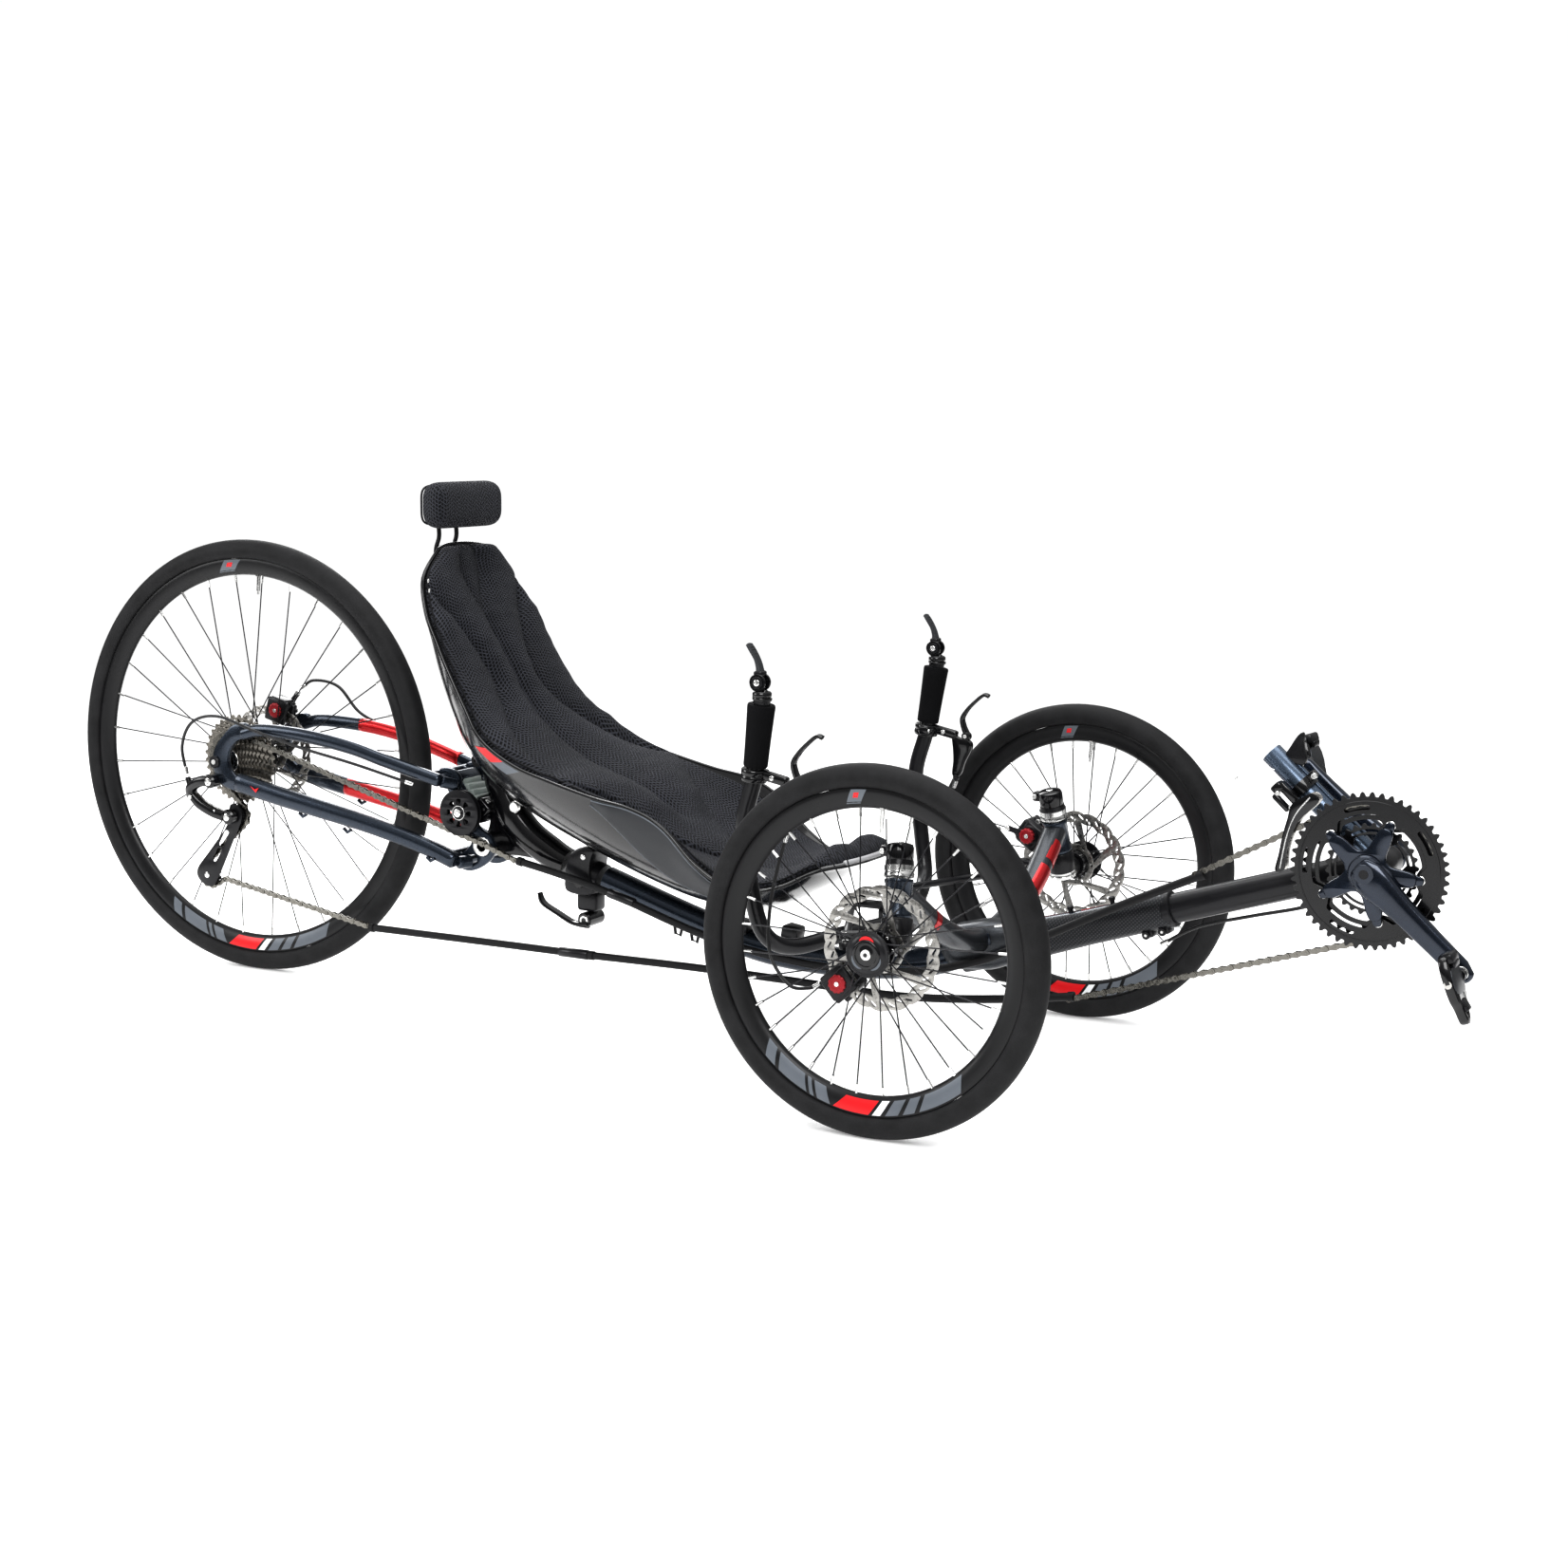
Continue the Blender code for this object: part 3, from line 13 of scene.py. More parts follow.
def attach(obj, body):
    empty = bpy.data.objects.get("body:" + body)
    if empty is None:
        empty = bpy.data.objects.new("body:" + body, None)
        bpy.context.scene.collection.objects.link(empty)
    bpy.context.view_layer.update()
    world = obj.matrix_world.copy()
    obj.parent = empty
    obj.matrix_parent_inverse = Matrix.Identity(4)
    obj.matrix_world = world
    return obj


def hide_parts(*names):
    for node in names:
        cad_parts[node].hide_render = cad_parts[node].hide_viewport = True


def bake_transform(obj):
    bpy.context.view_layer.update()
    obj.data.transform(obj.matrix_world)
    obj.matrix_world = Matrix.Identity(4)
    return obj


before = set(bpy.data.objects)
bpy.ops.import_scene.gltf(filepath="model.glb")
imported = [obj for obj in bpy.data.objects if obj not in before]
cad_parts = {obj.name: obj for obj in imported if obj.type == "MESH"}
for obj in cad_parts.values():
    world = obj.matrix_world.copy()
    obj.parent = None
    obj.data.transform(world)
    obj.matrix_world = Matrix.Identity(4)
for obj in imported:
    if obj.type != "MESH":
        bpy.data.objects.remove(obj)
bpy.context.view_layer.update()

# ---- driving dimensions, as in the CAD ----------------------------------------------------
FRONT_AXLE_X = 0.4635
WHEELBASE = 1.267
TRACK_HALF = 0.3565
FRONT_RADIUS = 0.2355
REAR_RADIUS = 0.344
TYRE_HALF_WIDTH = 0.0172
TYRE_DEPTH = 0.029
RIM_DEPTH = 0.026
ROTOR_INSET = 0.0275
SPOKES = 32
BB = (0.532, 0.338)
BOOM_ROOT = (0.085, 0.198)
POST_TOP = (0.388, 0.47)
CRANK_LENGTH = 0.165
CRANK_ANGLE = radians(-41)
CHAIN_Y = -0.045
CHAIN_RING_RADIUS = 0.0845
CASSETTE_PITCH = 0.044
IDLER = (-0.835, 0.296)
IDLER_RADIUS = 0.0325
JOCKEY_TOP = (-1.262, 0.256)
JOCKEY_LOW = (-1.32, 0.156)
JOCKEY_RADIUS = 0.019
SWING_PIVOT = (-0.801, 0.2465)
SPROCKET = (-WHEELBASE, REAR_RADIUS)
ELASTOMER_TILT = 0.75
STEER_PIVOT_X = -0.13
KING_TOP = (-0.011, 0.253, 0.355)
KING_DOWN = (0.031, 0.092, -0.355)
TIE_ARM = (-0.065, 0.012)
TIE_Z = 0.226
TUBE_FRONT_UP = (0.32, 0.313)
TUBE_REAR_UP = (-0.732, 0.232)
TUBE_FRONT_LOW = (0.148, 0.132)
TUBE_JOINT_LOW = (-0.609, 0.103)
TUBE_REAR_LOW = (-1.007, 0.102)
PIVOT_CHAIN = (-0.795, 0.2518)
CHAIN_PITCH = 0.0127
Y_AXIS = Vector((0, 1, 0))
UP = Vector((0, 0, 1))
FORWARD = Vector((1, 0, 0))
NEAR_UPRIGHT = 0.9
SAME_POINT = 0.000002
SAME_CLOTH_POINT = 0.00002
END_SHARES = (0.05, 0.3, 0.65)
ARM_COUNT = 5

# ---- picture ------------------------------------------------------------------------------
CAMERA_AT = (1.7312, -2.9975, 0.8908)
CAMERA_YAW, CAMERA_PITCH, CAMERA_ROLL = 0.4849, 0.1513, 0.0081
CAMERA_LENS = 55.83
SENSOR_WIDTH = 36.0
VIEW_GAMMA = 0.8
FLOOR_RADIUS = 14.0
FLOOR_GLOW = 0.28
FLOOR_FADE = (1.9, 4.6)
SKY_SEEN = 1.02
LAMPS = (("key", (1.2, -3.2, 3.0), (0, 0, 0.3), 2.2, 120),
         ("top", (-0.2, 0.4, 4.2), (0, 0, 0.1), 3.6, 130),
         ("side", (-3.0, -1.8, 1.6), (-0.3, 0, 0.4), 1.6, 45),
         ("rim", (-2.6, 2.8, 2.4), (0, 0, 0.3), 2.0, 70))


def at(x, y, z):
    return Vector((x + FRONT_AXLE_X, y, z))


def side_point(xz, y=0.0):
    return at(xz[0], y, xz[1])


def polar(angle, radius, y=0.0):
    return Vector((radius * cos(angle), y, radius * sin(angle)))


# ---- materials ----------------------------------------------------------------------------
LOOKS = {}


def shader_setup(name):
    mat = bpy.data.materials.new(name)
    mat.use_nodes = True
    tree = mat.node_tree
    return mat, tree, tree.nodes["Principled BSDF"]


def constants(shader, **values):
    """Values straight on a shader's inputs, named with underscores for spaces."""
    for key, value in values.items():
        shader.inputs[key.replace("_", " ")].default_value = value


def node(tree, kind, **values):
    """A new shader node; values are its properties, or inputs when the name starts with i_."""
    made = tree.nodes.new(kind)
    for key, value in values.items():
        if key.startswith("i_"):
            made.inputs[key[2:].replace("_", " ")].default_value = value
        else:
            setattr(made, key, value)
    return made


def math_node(tree, operation, first, second=None):
    made = tree.nodes.new("ShaderNodeMath")
    made.operation = operation
    for index, value in enumerate((first, second)):
        if value is None:
            continue
        if isinstance(value, (int, float)):
            made.inputs[index].default_value = value
        else:
            tree.links.new(value, made.inputs[index])
    return made.outputs[0]


def noise_at(tree, coords, scale, detail=3.0):
    made = node(tree, "ShaderNodeTexNoise", i_Scale=scale, i_Detail=detail)
    tree.links.new(coords, made.inputs["Vector"])
    return made.outputs["Fac"]


def mapped(tree, value, low, high, start=0.3, end=0.7):
    made = node(tree, "ShaderNodeMapRange", i_From_Min=start, i_From_Max=end, i_To_Min=low,
                i_To_Max=high)
    tree.links.new(value, made.inputs["Value"])
    return made.outputs["Result"]


def blended(tree, factor, first, second):
    made = node(tree, "ShaderNodeMix", data_type="RGBA")
    if isinstance(factor, float):
        made.inputs["Factor"].default_value = factor
    else:
        tree.links.new(factor, made.inputs["Factor"])
    for socket, value in ((made.inputs[6], first), (made.inputs[7], second)):
        if isinstance(value, tuple):
            socket.default_value = (*value, 1.0)
        else:
            tree.links.new(value, socket)
    return made.outputs[2]


def bumped(tree, shader, height, strength, distance=0.0005):
    made = node(tree, "ShaderNodeBump", i_Strength=strength, i_Distance=distance)
    tree.links.new(height, made.inputs["Height"])
    tree.links.new(made.outputs["Normal"], shader.inputs["Normal"])


def coords(tree, kind="Object"):
    return tree.nodes.new("ShaderNodeTexCoord").outputs[kind]


def solid(name, colour, rough, metal=0.0, coat=0.0, vary=0.15, grain=900.0, bump=0.05,
          patch=22.0, spread=0.06, dust=0.0, shine=0.5):
    """Paint, metal, plastic or rubber: uneven colour and roughness with a fine surface grain."""
    mat, tree, shader = shader_setup(name)
    place = coords(tree)
    broad = noise_at(tree, place, patch, 4.0)
    fine = noise_at(tree, place, grain, 2.0)
    dark = tuple(c * (1 - vary) for c in colour)
    light = tuple(min(1.0, c * (1 + vary) + dust) for c in colour)
    mix = mapped(tree, broad, 0.0, 1.0)
    tree.links.new(blended(tree, mix, dark, light), shader.inputs["Base Color"])
    total = math_node(tree, "ADD", mapped(tree, broad, rough - spread, rough + spread * 0.5),
                      mapped(tree, fine, -0.04, 0.04))
    tree.links.new(total, shader.inputs["Roughness"])
    constants(shader, Metallic=metal, Specular_IOR_Level=shine, Coat_Weight=coat,
              Coat_Roughness=0.08)
    bumped(tree, shader, fine, bump)
    LOOKS[name] = mat


def flake_paint(name, colour, flake, rough=0.3, coat=0.35):
    """Metallic lacquer: small bright flakes under a clear coat."""
    mat, tree, shader = shader_setup(name)
    place = coords(tree)
    cells = node(tree, "ShaderNodeTexVoronoi", i_Scale=2600.0)
    tree.links.new(place, cells.inputs["Vector"])
    sparkle = mapped(tree, cells.outputs["Color"], 0.0, 1.0, 0.55, 0.95)
    broad = noise_at(tree, place, 14.0, 3.0)
    base = blended(tree, mapped(tree, broad, 0.0, 1.0), tuple(c * 0.85 for c in colour), colour)
    tree.links.new(blended(tree, math_node(tree, "MULTIPLY", sparkle, 0.55), base, flake),
                   shader.inputs["Base Color"])
    tree.links.new(mapped(tree, broad, rough - 0.02, rough + 0.03), shader.inputs["Roughness"])
    constants(shader, Metallic=0.75, Coat_Weight=coat, Coat_Roughness=0.12)
    bumped(tree, shader, noise_at(tree, place, 900.0, 2.0), 0.02)
    LOOKS[name] = mat


def brushed(name, colour, rough, stretch=(40.0, 40.0, 1400.0)):
    """Metal with fine directional scratches."""
    mat, tree, shader = shader_setup(name)
    scale = node(tree, "ShaderNodeMapping", i_Scale=stretch)
    tree.links.new(coords(tree), scale.inputs["Vector"])
    lines = noise_at(tree, scale.outputs["Vector"], 1.0, 3.0)
    tone = blended(tree, mapped(tree, lines, 0.0, 1.0), tuple(c * 0.72 for c in colour), colour)
    tree.links.new(tone, shader.inputs["Base Color"])
    tree.links.new(mapped(tree, lines, rough - 0.07, rough + 0.1), shader.inputs["Roughness"])
    constants(shader, Metallic=1.0)
    bumped(tree, shader, lines, 0.06)
    LOOKS[name] = mat


def spacer_mesh(name, colour, pitch=0.0056, depth=0.9):
    """Knitted spacer fabric: rows of small slanted cells that turn back in a herringbone.  Its
    colour is painted lighter on the raised cells as painted highlight and darker in the grooves
    as painted shade.  The mesh's own coordinates are metres across and along the panel."""
    mat, tree, shader = shader_setup(name)
    split = tree.nodes.new("ShaderNodeSeparateXYZ")
    tree.links.new(coords(tree, "UV"), split.inputs[0])
    across, along = split.outputs[0], split.outputs[1]
    fold = math_node(tree, "PINGPONG", across, pitch * 2.5)
    slanted = math_node(tree, "ADD", along, math_node(tree, "MULTIPLY", fold, 0.8))
    ribs = math_node(tree, "SINE", math_node(tree, "MULTIPLY", slanted, 2 * pi / pitch))
    files = math_node(tree, "SINE", math_node(tree, "MULTIPLY", across, 2 * pi / (pitch * 0.7)))
    cell = math_node(tree, "MAXIMUM", ribs, math_node(tree, "MULTIPLY", files, 0.75))
    fuzz = noise_at(tree, coords(tree), 2200.0, 2.0)
    height = math_node(tree, "ADD", cell, math_node(tree, "MULTIPLY", fuzz, 0.5))
    broad = noise_at(tree, coords(tree), 9.0, 3.0)
    # colour follows the weave's height: light on the raised cells as painted highlight, dark in the
    # grooves as painted shade
    dark = tuple(c * 0.16 for c in colour)
    light = tuple(c * 3.4 for c in colour)
    tone = blended(tree, mapped(tree, cell, 0.0, 1.0, -0.2, 1.0), dark, light)
    shade = blended(tree, mapped(tree, broad, 0.0, 0.35), tone, dark)
    tree.links.new(shade, shader.inputs["Base Color"])
    constants(shader, Roughness=0.78, Specular_IOR_Level=0.22, Sheen_Weight=0.06,
              Sheen_Roughness=0.45)
    bumped(tree, shader, height, depth, 0.0018)
    LOOKS[name] = mat


def dotted(name, colour, dot, pitch=0.0052):
    """Satin lacquer with a fine offset dot print."""
    mat, tree, shader = shader_setup(name)
    place = coords(tree)
    split = tree.nodes.new("ShaderNodeSeparateXYZ")
    tree.links.new(place, split.inputs[0])
    a = math_node(tree, "SINE", math_node(tree, "MULTIPLY", split.outputs[0], 2 * pi / pitch))
    b = math_node(tree, "SINE", math_node(tree, "MULTIPLY", split.outputs[2], 2 * pi / pitch))
    spot = mapped(tree, math_node(tree, "MULTIPLY", a, b), 0.0, 1.0, 0.25, 0.55)
    tree.links.new(blended(tree, spot, colour, dot), shader.inputs["Base Color"])
    tree.links.new(mapped(tree, noise_at(tree, place, 30.0), 0.28, 0.42),
                   shader.inputs["Roughness"])
    constants(shader, Metallic=0.4)
    bumped(tree, shader, spot, 0.05)
    LOOKS[name] = mat


def make_looks():
    flake_paint("gunmetal", (0.02, 0.028, 0.042), (0.11, 0.145, 0.2), 0.26, 0.5)
    flake_paint("graphite", (0.05, 0.054, 0.06), (0.15, 0.16, 0.18), 0.34, 0.25)
    flake_paint("red_paint", (0.5, 0.006, 0.012), (0.72, 0.05, 0.05), 0.3, 0.5)
    flake_paint("steel_blue", (0.075, 0.105, 0.15), (0.25, 0.31, 0.4), 0.26, 0.4)
    dotted("dot_black", (0.02, 0.021, 0.024), (0.06, 0.062, 0.066))
    solid("satin_black", (0.01, 0.01, 0.012), 0.34, 0.2, 0.15, shine=0.4)
    solid("soft_black", (0.009, 0.009, 0.01), 0.52, 0.0, 0.0, bump=0.18, grain=1500.0, shine=0.3)
    solid("gloss_black", (0.004, 0.004, 0.005), 0.18, 0.0, 0.5, bump=0.02, grain=180.0, spread=0.05,
          shine=0.35)
    solid("rim_black", (0.009, 0.009, 0.01), 0.36, 0.1, 0.0, bump=0.05, patch=11.0, shine=0.4)
    solid("tyre", (0.013, 0.013, 0.014), 0.66, 0.0, 0.0, vary=0.3, bump=0.45, grain=620.0,
          patch=35.0, dust=0.003, shine=0.28)
    solid("tyre_line", (0.045, 0.046, 0.049), 0.62, bump=0.2)
    solid("foam", (0.008, 0.008, 0.009), 0.88, bump=0.7, grain=1300.0, shine=0.12)
    solid("pad_grey", (0.034, 0.036, 0.04), 0.5, bump=0.22, grain=1700.0, patch=8.0, shine=0.35)
    solid("piping", (0.014, 0.014, 0.016), 0.7, bump=0.4, grain=1800.0, shine=0.2)
    solid("lip_grey", (0.42, 0.42, 0.43), 0.34, 0.0, 0.25, vary=0.05, bump=0.03)
    solid("decal_grey", (0.13, 0.145, 0.165), 0.42, 0.1, vary=0.05)
    solid("decal_red", (0.66, 0.008, 0.014), 0.36, vary=0.05)
    solid("decal_white", (0.8, 0.81, 0.82), 0.4, vary=0.03)
    solid("knob_red", (0.3, 0.01, 0.018), 0.42, 0.2, vary=0.2)
    solid("navy", (0.012, 0.019, 0.034), 0.2, 0.7, 0.8, bump=0.01, grain=200.0, spread=0.04)
    solid("ring_black", (0.006, 0.006, 0.007), 0.24, 0.3, 0.3, vary=0.05, bump=0.01, shine=0.5)
    solid("spoke", (0.03, 0.03, 0.033), 0.3, 0.7)
    solid("elastomer", (0.42, 0.47, 0.45), 0.34, 0.0, 0.2, vary=0.12, bump=0.1)
    solid("cable", (0.012, 0.012, 0.013), 0.42, bump=0.25, grain=1100.0)
    solid("tag", (0.74, 0.74, 0.72), 0.8, vary=0.06, bump=0.4)
    brushed("steel", (0.62, 0.61, 0.59), 0.28)
    brushed("rotor", (0.46, 0.45, 0.43), 0.3, (300.0, 300.0, 300.0))
    brushed("chain", (0.24, 0.232, 0.212), 0.22, (260.0, 260.0, 260.0))
    brushed("cassette", (0.27, 0.255, 0.23), 0.33, (240.0, 240.0, 240.0))
    brushed("silver", (0.8, 0.8, 0.79), 0.2, (120.0, 120.0, 120.0))
    # spacer mesh fabrics carry painted highlight on the raised cells and painted shade in the
    # grooves
    spacer_mesh("mesh_fabric", (0.022, 0.023, 0.028))
    spacer_mesh("mesh_side", (0.014, 0.014, 0.016), 0.0048, 0.8)


# ---- mesh building ------------------------------------------------------------------------
class Shape:
    """Lists of corners and faces with a material name for each face."""

    def __init__(self):
        self.verts = []
        self.faces = []
        self.slots = []
        self.index = []

    def add(self, verts, faces, look):
        if look not in self.slots:
            self.slots.append(look)
        base = len(self.verts)
        self.verts.extend(tuple(v) for v in verts)
        self.faces.extend(tuple(base + i for i in face) for face in faces)
        self.index.extend([self.slots.index(look)] * len(faces))


def basis(axis):
    """Matrix whose Z runs along an axis and whose X leans up, or forward if the axis is up."""
    z = Vector(axis).normalized()
    hint = UP if abs(z.z) < NEAR_UPRIGHT else FORWARD
    x = (hint - z * z.dot(hint)).normalized()
    y = z.cross(x)
    return Matrix((x, y, z)).transposed()


def revolve(shape, profile, centre, axis, look, steps=48, closed=True):
    """(radius, height) outline spun about an axis; looks may differ along the outline."""
    turn = basis(axis)
    angle = 2 * pi / steps
    verts = []
    for k in range(steps):
        a = k * angle
        for r, h in profile:
            verts.append(centre + turn @ Vector((r * cos(a), r * sin(a), h)))
    n = len(profile)
    rows = n if closed else n - 1
    looks = look if isinstance(look, (list, tuple)) else [look] * rows
    for j in range(rows):
        faces = []
        for k in range(steps):
            a, b = k, (k + 1) % steps
            faces.append((a * n + j, b * n + j, b * n + (j + 1) % n, a * n + (j + 1) % n))
        if j == 0:
            shape.add(verts, faces, looks[0])
            base = len(shape.verts) - len(verts)
        else:
            if looks[j] not in shape.slots:
                shape.slots.append(looks[j])
            shape.faces.extend(tuple(base + i for i in face) for face in faces)
            shape.index.extend([shape.slots.index(looks[j])] * len(faces))


def disc(shape, centre, axis, radius, height, look, steps=32, edge=0.0006):
    """Solid round with eased edges, from its centre face along an axis."""
    edge = min(edge, radius * 0.4, height * 0.4)
    profile = [(0, 0), (radius - edge, 0), (radius, edge), (radius, height - edge),
               (radius - edge, height), (0, height)]
    revolve(shape, profile, Vector(centre), axis, look, steps, closed=False)


def ring(shape, centre, axis, inner, outer, height, look, steps=40, edge=0.0005):
    profile = [(inner, 0), (outer - edge, 0), (outer, edge), (outer, height - edge),
               (outer - edge, height), (inner, height)]
    revolve(shape, profile, Vector(centre), axis, look, steps)


def bolt(shape, centre, axis, radius=0.0045, height=0.0035, look="silver"):
    """Socket-head bolt: a domed head with a hexagonal well."""
    well = radius * 0.52
    profile = [(radius, 0), (radius, height * 0.75), (radius * 0.85, height), (well, height),
               (well * 0.98, height * 0.35), (0, height * 0.35)]
    revolve(shape, profile, Vector(centre), axis, look, 18, closed=False)


def smooth(points, steps=6):
    """Points on a Catmull-Rom curve through the given ones."""
    pts = [Vector(p) for p in points]
    ends = [2 * pts[0] - pts[1]] + pts + [2 * pts[-1] - pts[-2]]
    result = []
    for i in range(1, len(ends) - 2):
        a, b, c, d = ends[i - 1:i + 3]
        for step in range(steps):
            t = step / steps
            result.append(0.5 * (2 * b + (c - a) * t + (2 * a - 5 * b + 4 * c - d) * t * t
                                 + (3 * b - a - 3 * c + d) * t ** 3))
    result.append(pts[-1])
    return result


def along_values(values, count):
    """Stretch a short list of numbers or pairs over a number of places."""
    result = []
    for i in range(count):
        t = i / (count - 1) * (len(values) - 1)
        k = min(int(t), len(values) - 2)
        f = t - k
        f = f * f * (3 - 2 * f)
        a, b = values[k], values[k + 1]
        if isinstance(a, (int, float)):
            result.append(a + (b - a) * f)
        else:
            result.append(tuple(p + (q - p) * f for p, q in zip(a, b)))
    return result


def sweep(shape, points, size, look, sides=20, up=None, power=2.0, round_end=0.0):
    """Bar along points.  size is a radius, a (half across, half up) pair, or a list of either;
    power above 2 squares the section; look may be a list with one name for each side."""
    pts = [Vector(p) for p in points]
    count = len(pts)
    if isinstance(size, (int, float)):
        size = [(size, size)] * count
    elif isinstance(size, tuple):
        size = [size] * count
    elif len(size) != count:
        size = along_values(size, count)
    size = [(s, s) if isinstance(s, (int, float)) else s for s in size]
    tangents = [(pts[min(i + 1, count - 1)] - pts[max(i - 1, 0)]).normalized()
                for i in range(count)]
    if up is None:
        up_now = UP if abs(tangents[0].z) < NEAR_UPRIGHT else FORWARD
    else:
        up_now = Vector(up)
    placed = []
    for i in range(count):
        t = tangents[i]
        reference = Vector(up) if up is not None else up_now
        vertical = (reference - t * t.dot(reference)).normalized()
        up_now = vertical
        placed.append((pts[i], t.cross(vertical), vertical, size[i]))
    if round_end:
        def eased(end, inward, shares):
            """Sections that shrink towards an end on a quarter circle."""
            point, side, vertical, half = end
            return [(point + inward * round_end * s, side, vertical,
                     tuple(v * sqrt(1 - (1 - s) ** 2) for v in half)) for s in shares]

        first, last = placed[0], placed[-1]
        placed = (eased(first, tangents[0], END_SHARES)
                  + [(first[0] + tangents[0] * round_end, *first[1:])] + placed[1:-1]
                  + [(last[0] - tangents[-1] * round_end, *last[1:])]
                  + eased(last, -tangents[-1], END_SHARES[::-1]))
    verts = []
    for point, side, vertical, (a, b) in placed:
        for k in range(sides):
            angle = 2 * pi * (k + 0.5) / sides
            c, s = cos(angle), sin(angle)
            c = copysign(abs(c) ** (2 / power), c)
            s = copysign(abs(s) ** (2 / power), s)
            verts.append(point + side * a * c + vertical * b * s)
    rows = len(placed)
    names = look if isinstance(look, list) else [look]
    quads = {}
    for i in range(rows - 1):
        for k in range(sides):
            quads.setdefault(names[k % len(names)], []).append(
                (i * sides + k, i * sides + (k + 1) % sides,
                 (i + 1) * sides + (k + 1) % sides, (i + 1) * sides + k))
    ends = [tuple(range(sides))[::-1], tuple((rows - 1) * sides + k for k in range(sides))]
    base = len(shape.verts)
    shape.add(verts, ends, names[0])
    for name, faces in quads.items():
        if name not in shape.slots:
            shape.slots.append(name)
        shape.faces.extend(tuple(base + i for i in face) for face in faces)
        shape.index.extend([shape.slots.index(name)] * len(faces))


def add_object(shape, obj, matrix, look):
    """Copy a temporary object's evaluated mesh into a shape."""
    depsgraph = bpy.context.evaluated_depsgraph_get()
    mesh = bpy.data.meshes.new_from_object(obj.evaluated_get(depsgraph))
    shape.add([matrix @ v.co for v in mesh.vertices], [tuple(p.vertices) for p in mesh.polygons],
              look)
    bpy.data.objects.remove(obj, do_unlink=True)
    bpy.data.meshes.remove(mesh)


XZ_PLANE = Matrix.Rotation(pi / 2, 4, "X")


def cutout(shape, loops, thickness, look, y=0.0, edge=0.0003, matrix=None):
    """Flat plate with eased edges from closed (x, z) loops: the first is the outline and the
    rest are holes.  Without a matrix it stands in the side plane, centred on y."""
    curve = bpy.data.curves.new("plate", "CURVE")
    curve.dimensions = "2D"
    curve.fill_mode = "BOTH"
    curve.extrude = max(thickness / 2 - edge, 0.00005)
    curve.bevel_depth = edge
    curve.bevel_resolution = 1
    curve.offset = -edge
    for loop in loops:
        spline = curve.splines.new("POLY")
        spline.use_cyclic_u = True
        spline.points.add(len(loop) - 1)
        for index, (x, z) in enumerate(loop):
            spline.points[index].co = (x, z, 0.0, 1.0)
    obj = bpy.data.objects.new("plate", curve)
    bpy.context.scene.collection.objects.link(obj)
    if matrix is None:
        matrix = Matrix.Translation((FRONT_AXLE_X, y, 0)) @ XZ_PLANE
    add_object(shape, obj, matrix, look)
    bpy.data.curves.remove(curve)


def round_loop(cx, cz, radius, steps=16):
    return [(cx + radius * cos(2 * pi * k / steps),
             cz + radius * sin(2 * pi * k / steps)) for k in range(steps)]


def soft_loop(points, steps=4):
    """Closed smooth outline through (x, z) corners."""
    n = len(points)
    result = []
    for i in range(n):
        a, b, c, d = (Vector(points[(i + j - 1) % n]) for j in range(4))
        for step in range(steps):
            t = step / steps
            p = 0.5 * (2 * b + (c - a) * t + (2 * a - 5 * b + 4 * c - d) * t * t
                       + (3 * b - a - 3 * c + d) * t ** 3)
            result.append((p.x, p.y))
    return result


def slot_loop(start, end, half, steps=4):
    """Rounded slot between two (x, z) points."""
    s, e = Vector(start), Vector(end)
    angle = atan2((e - s).y, (e - s).x)
    result = []
    for centre, base in ((e, angle - pi / 2), (s, angle + pi / 2)):
        for k in range(steps + 1):
            a = base + pi * k / steps
            result.append((centre.x + half * cos(a), centre.y + half * sin(a)))
    return result


def chunk(shape, centre, size, look, turn=None, edge=0.0015, segments=2):
    """Machined block with rounded edges."""
    bm = bmesh.new()
    bmesh.ops.create_cube(bm, size=1.0, matrix=Matrix.Diagonal((*size, 1.0)))
    edge = min(edge, min(size) * 0.45)
    bmesh.ops.bevel(bm, geom=list(bm.edges), offset=edge, segments=segments, affect="EDGES",
                    profile=0.5)
    matrix = Matrix.Translation(centre)
    if turn is not None:
        matrix = matrix @ turn
    bm.verts.index_update()
    shape.add([matrix @ v.co for v in bm.verts],
              [tuple(v.index for v in f.verts) for f in bm.faces], look)
    bm.free()


def turn_y(angle):
    return Matrix.Rotation(angle, 4, "Y")


def piece(name, shape, body, *nodes, slot=None, sharp=38):
    """Make a shape into one visible object that rides on a body and stands for CAD nodes."""
    mesh = bpy.data.meshes.new(name)
    mesh.from_pydata(shape.verts, [], shape.faces)
    for look in shape.slots:
        mesh.materials.append(LOOKS[look])
    mesh.polygons.foreach_set("material_index", shape.index)
    bm = bmesh.new()
    bm.from_mesh(mesh)
    bmesh.ops.remove_doubles(bm, verts=bm.verts, dist=SAME_POINT)
    bmesh.ops.recalc_face_normals(bm, faces=bm.faces)
    bm.to_mesh(mesh)
    bm.free()
    mesh.shade_smooth()
    mesh.set_sharp_from_angle(angle=radians(sharp))
    return place(name, mesh, body, nodes, slot)


def place(name, mesh, body, nodes, slot=None):
    obj = bpy.data.objects.new(name, mesh)
    bpy.context.scene.collection.objects.link(obj)
    if body:
        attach(obj, body)
    if nodes:
        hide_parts(*nodes)
    return obj


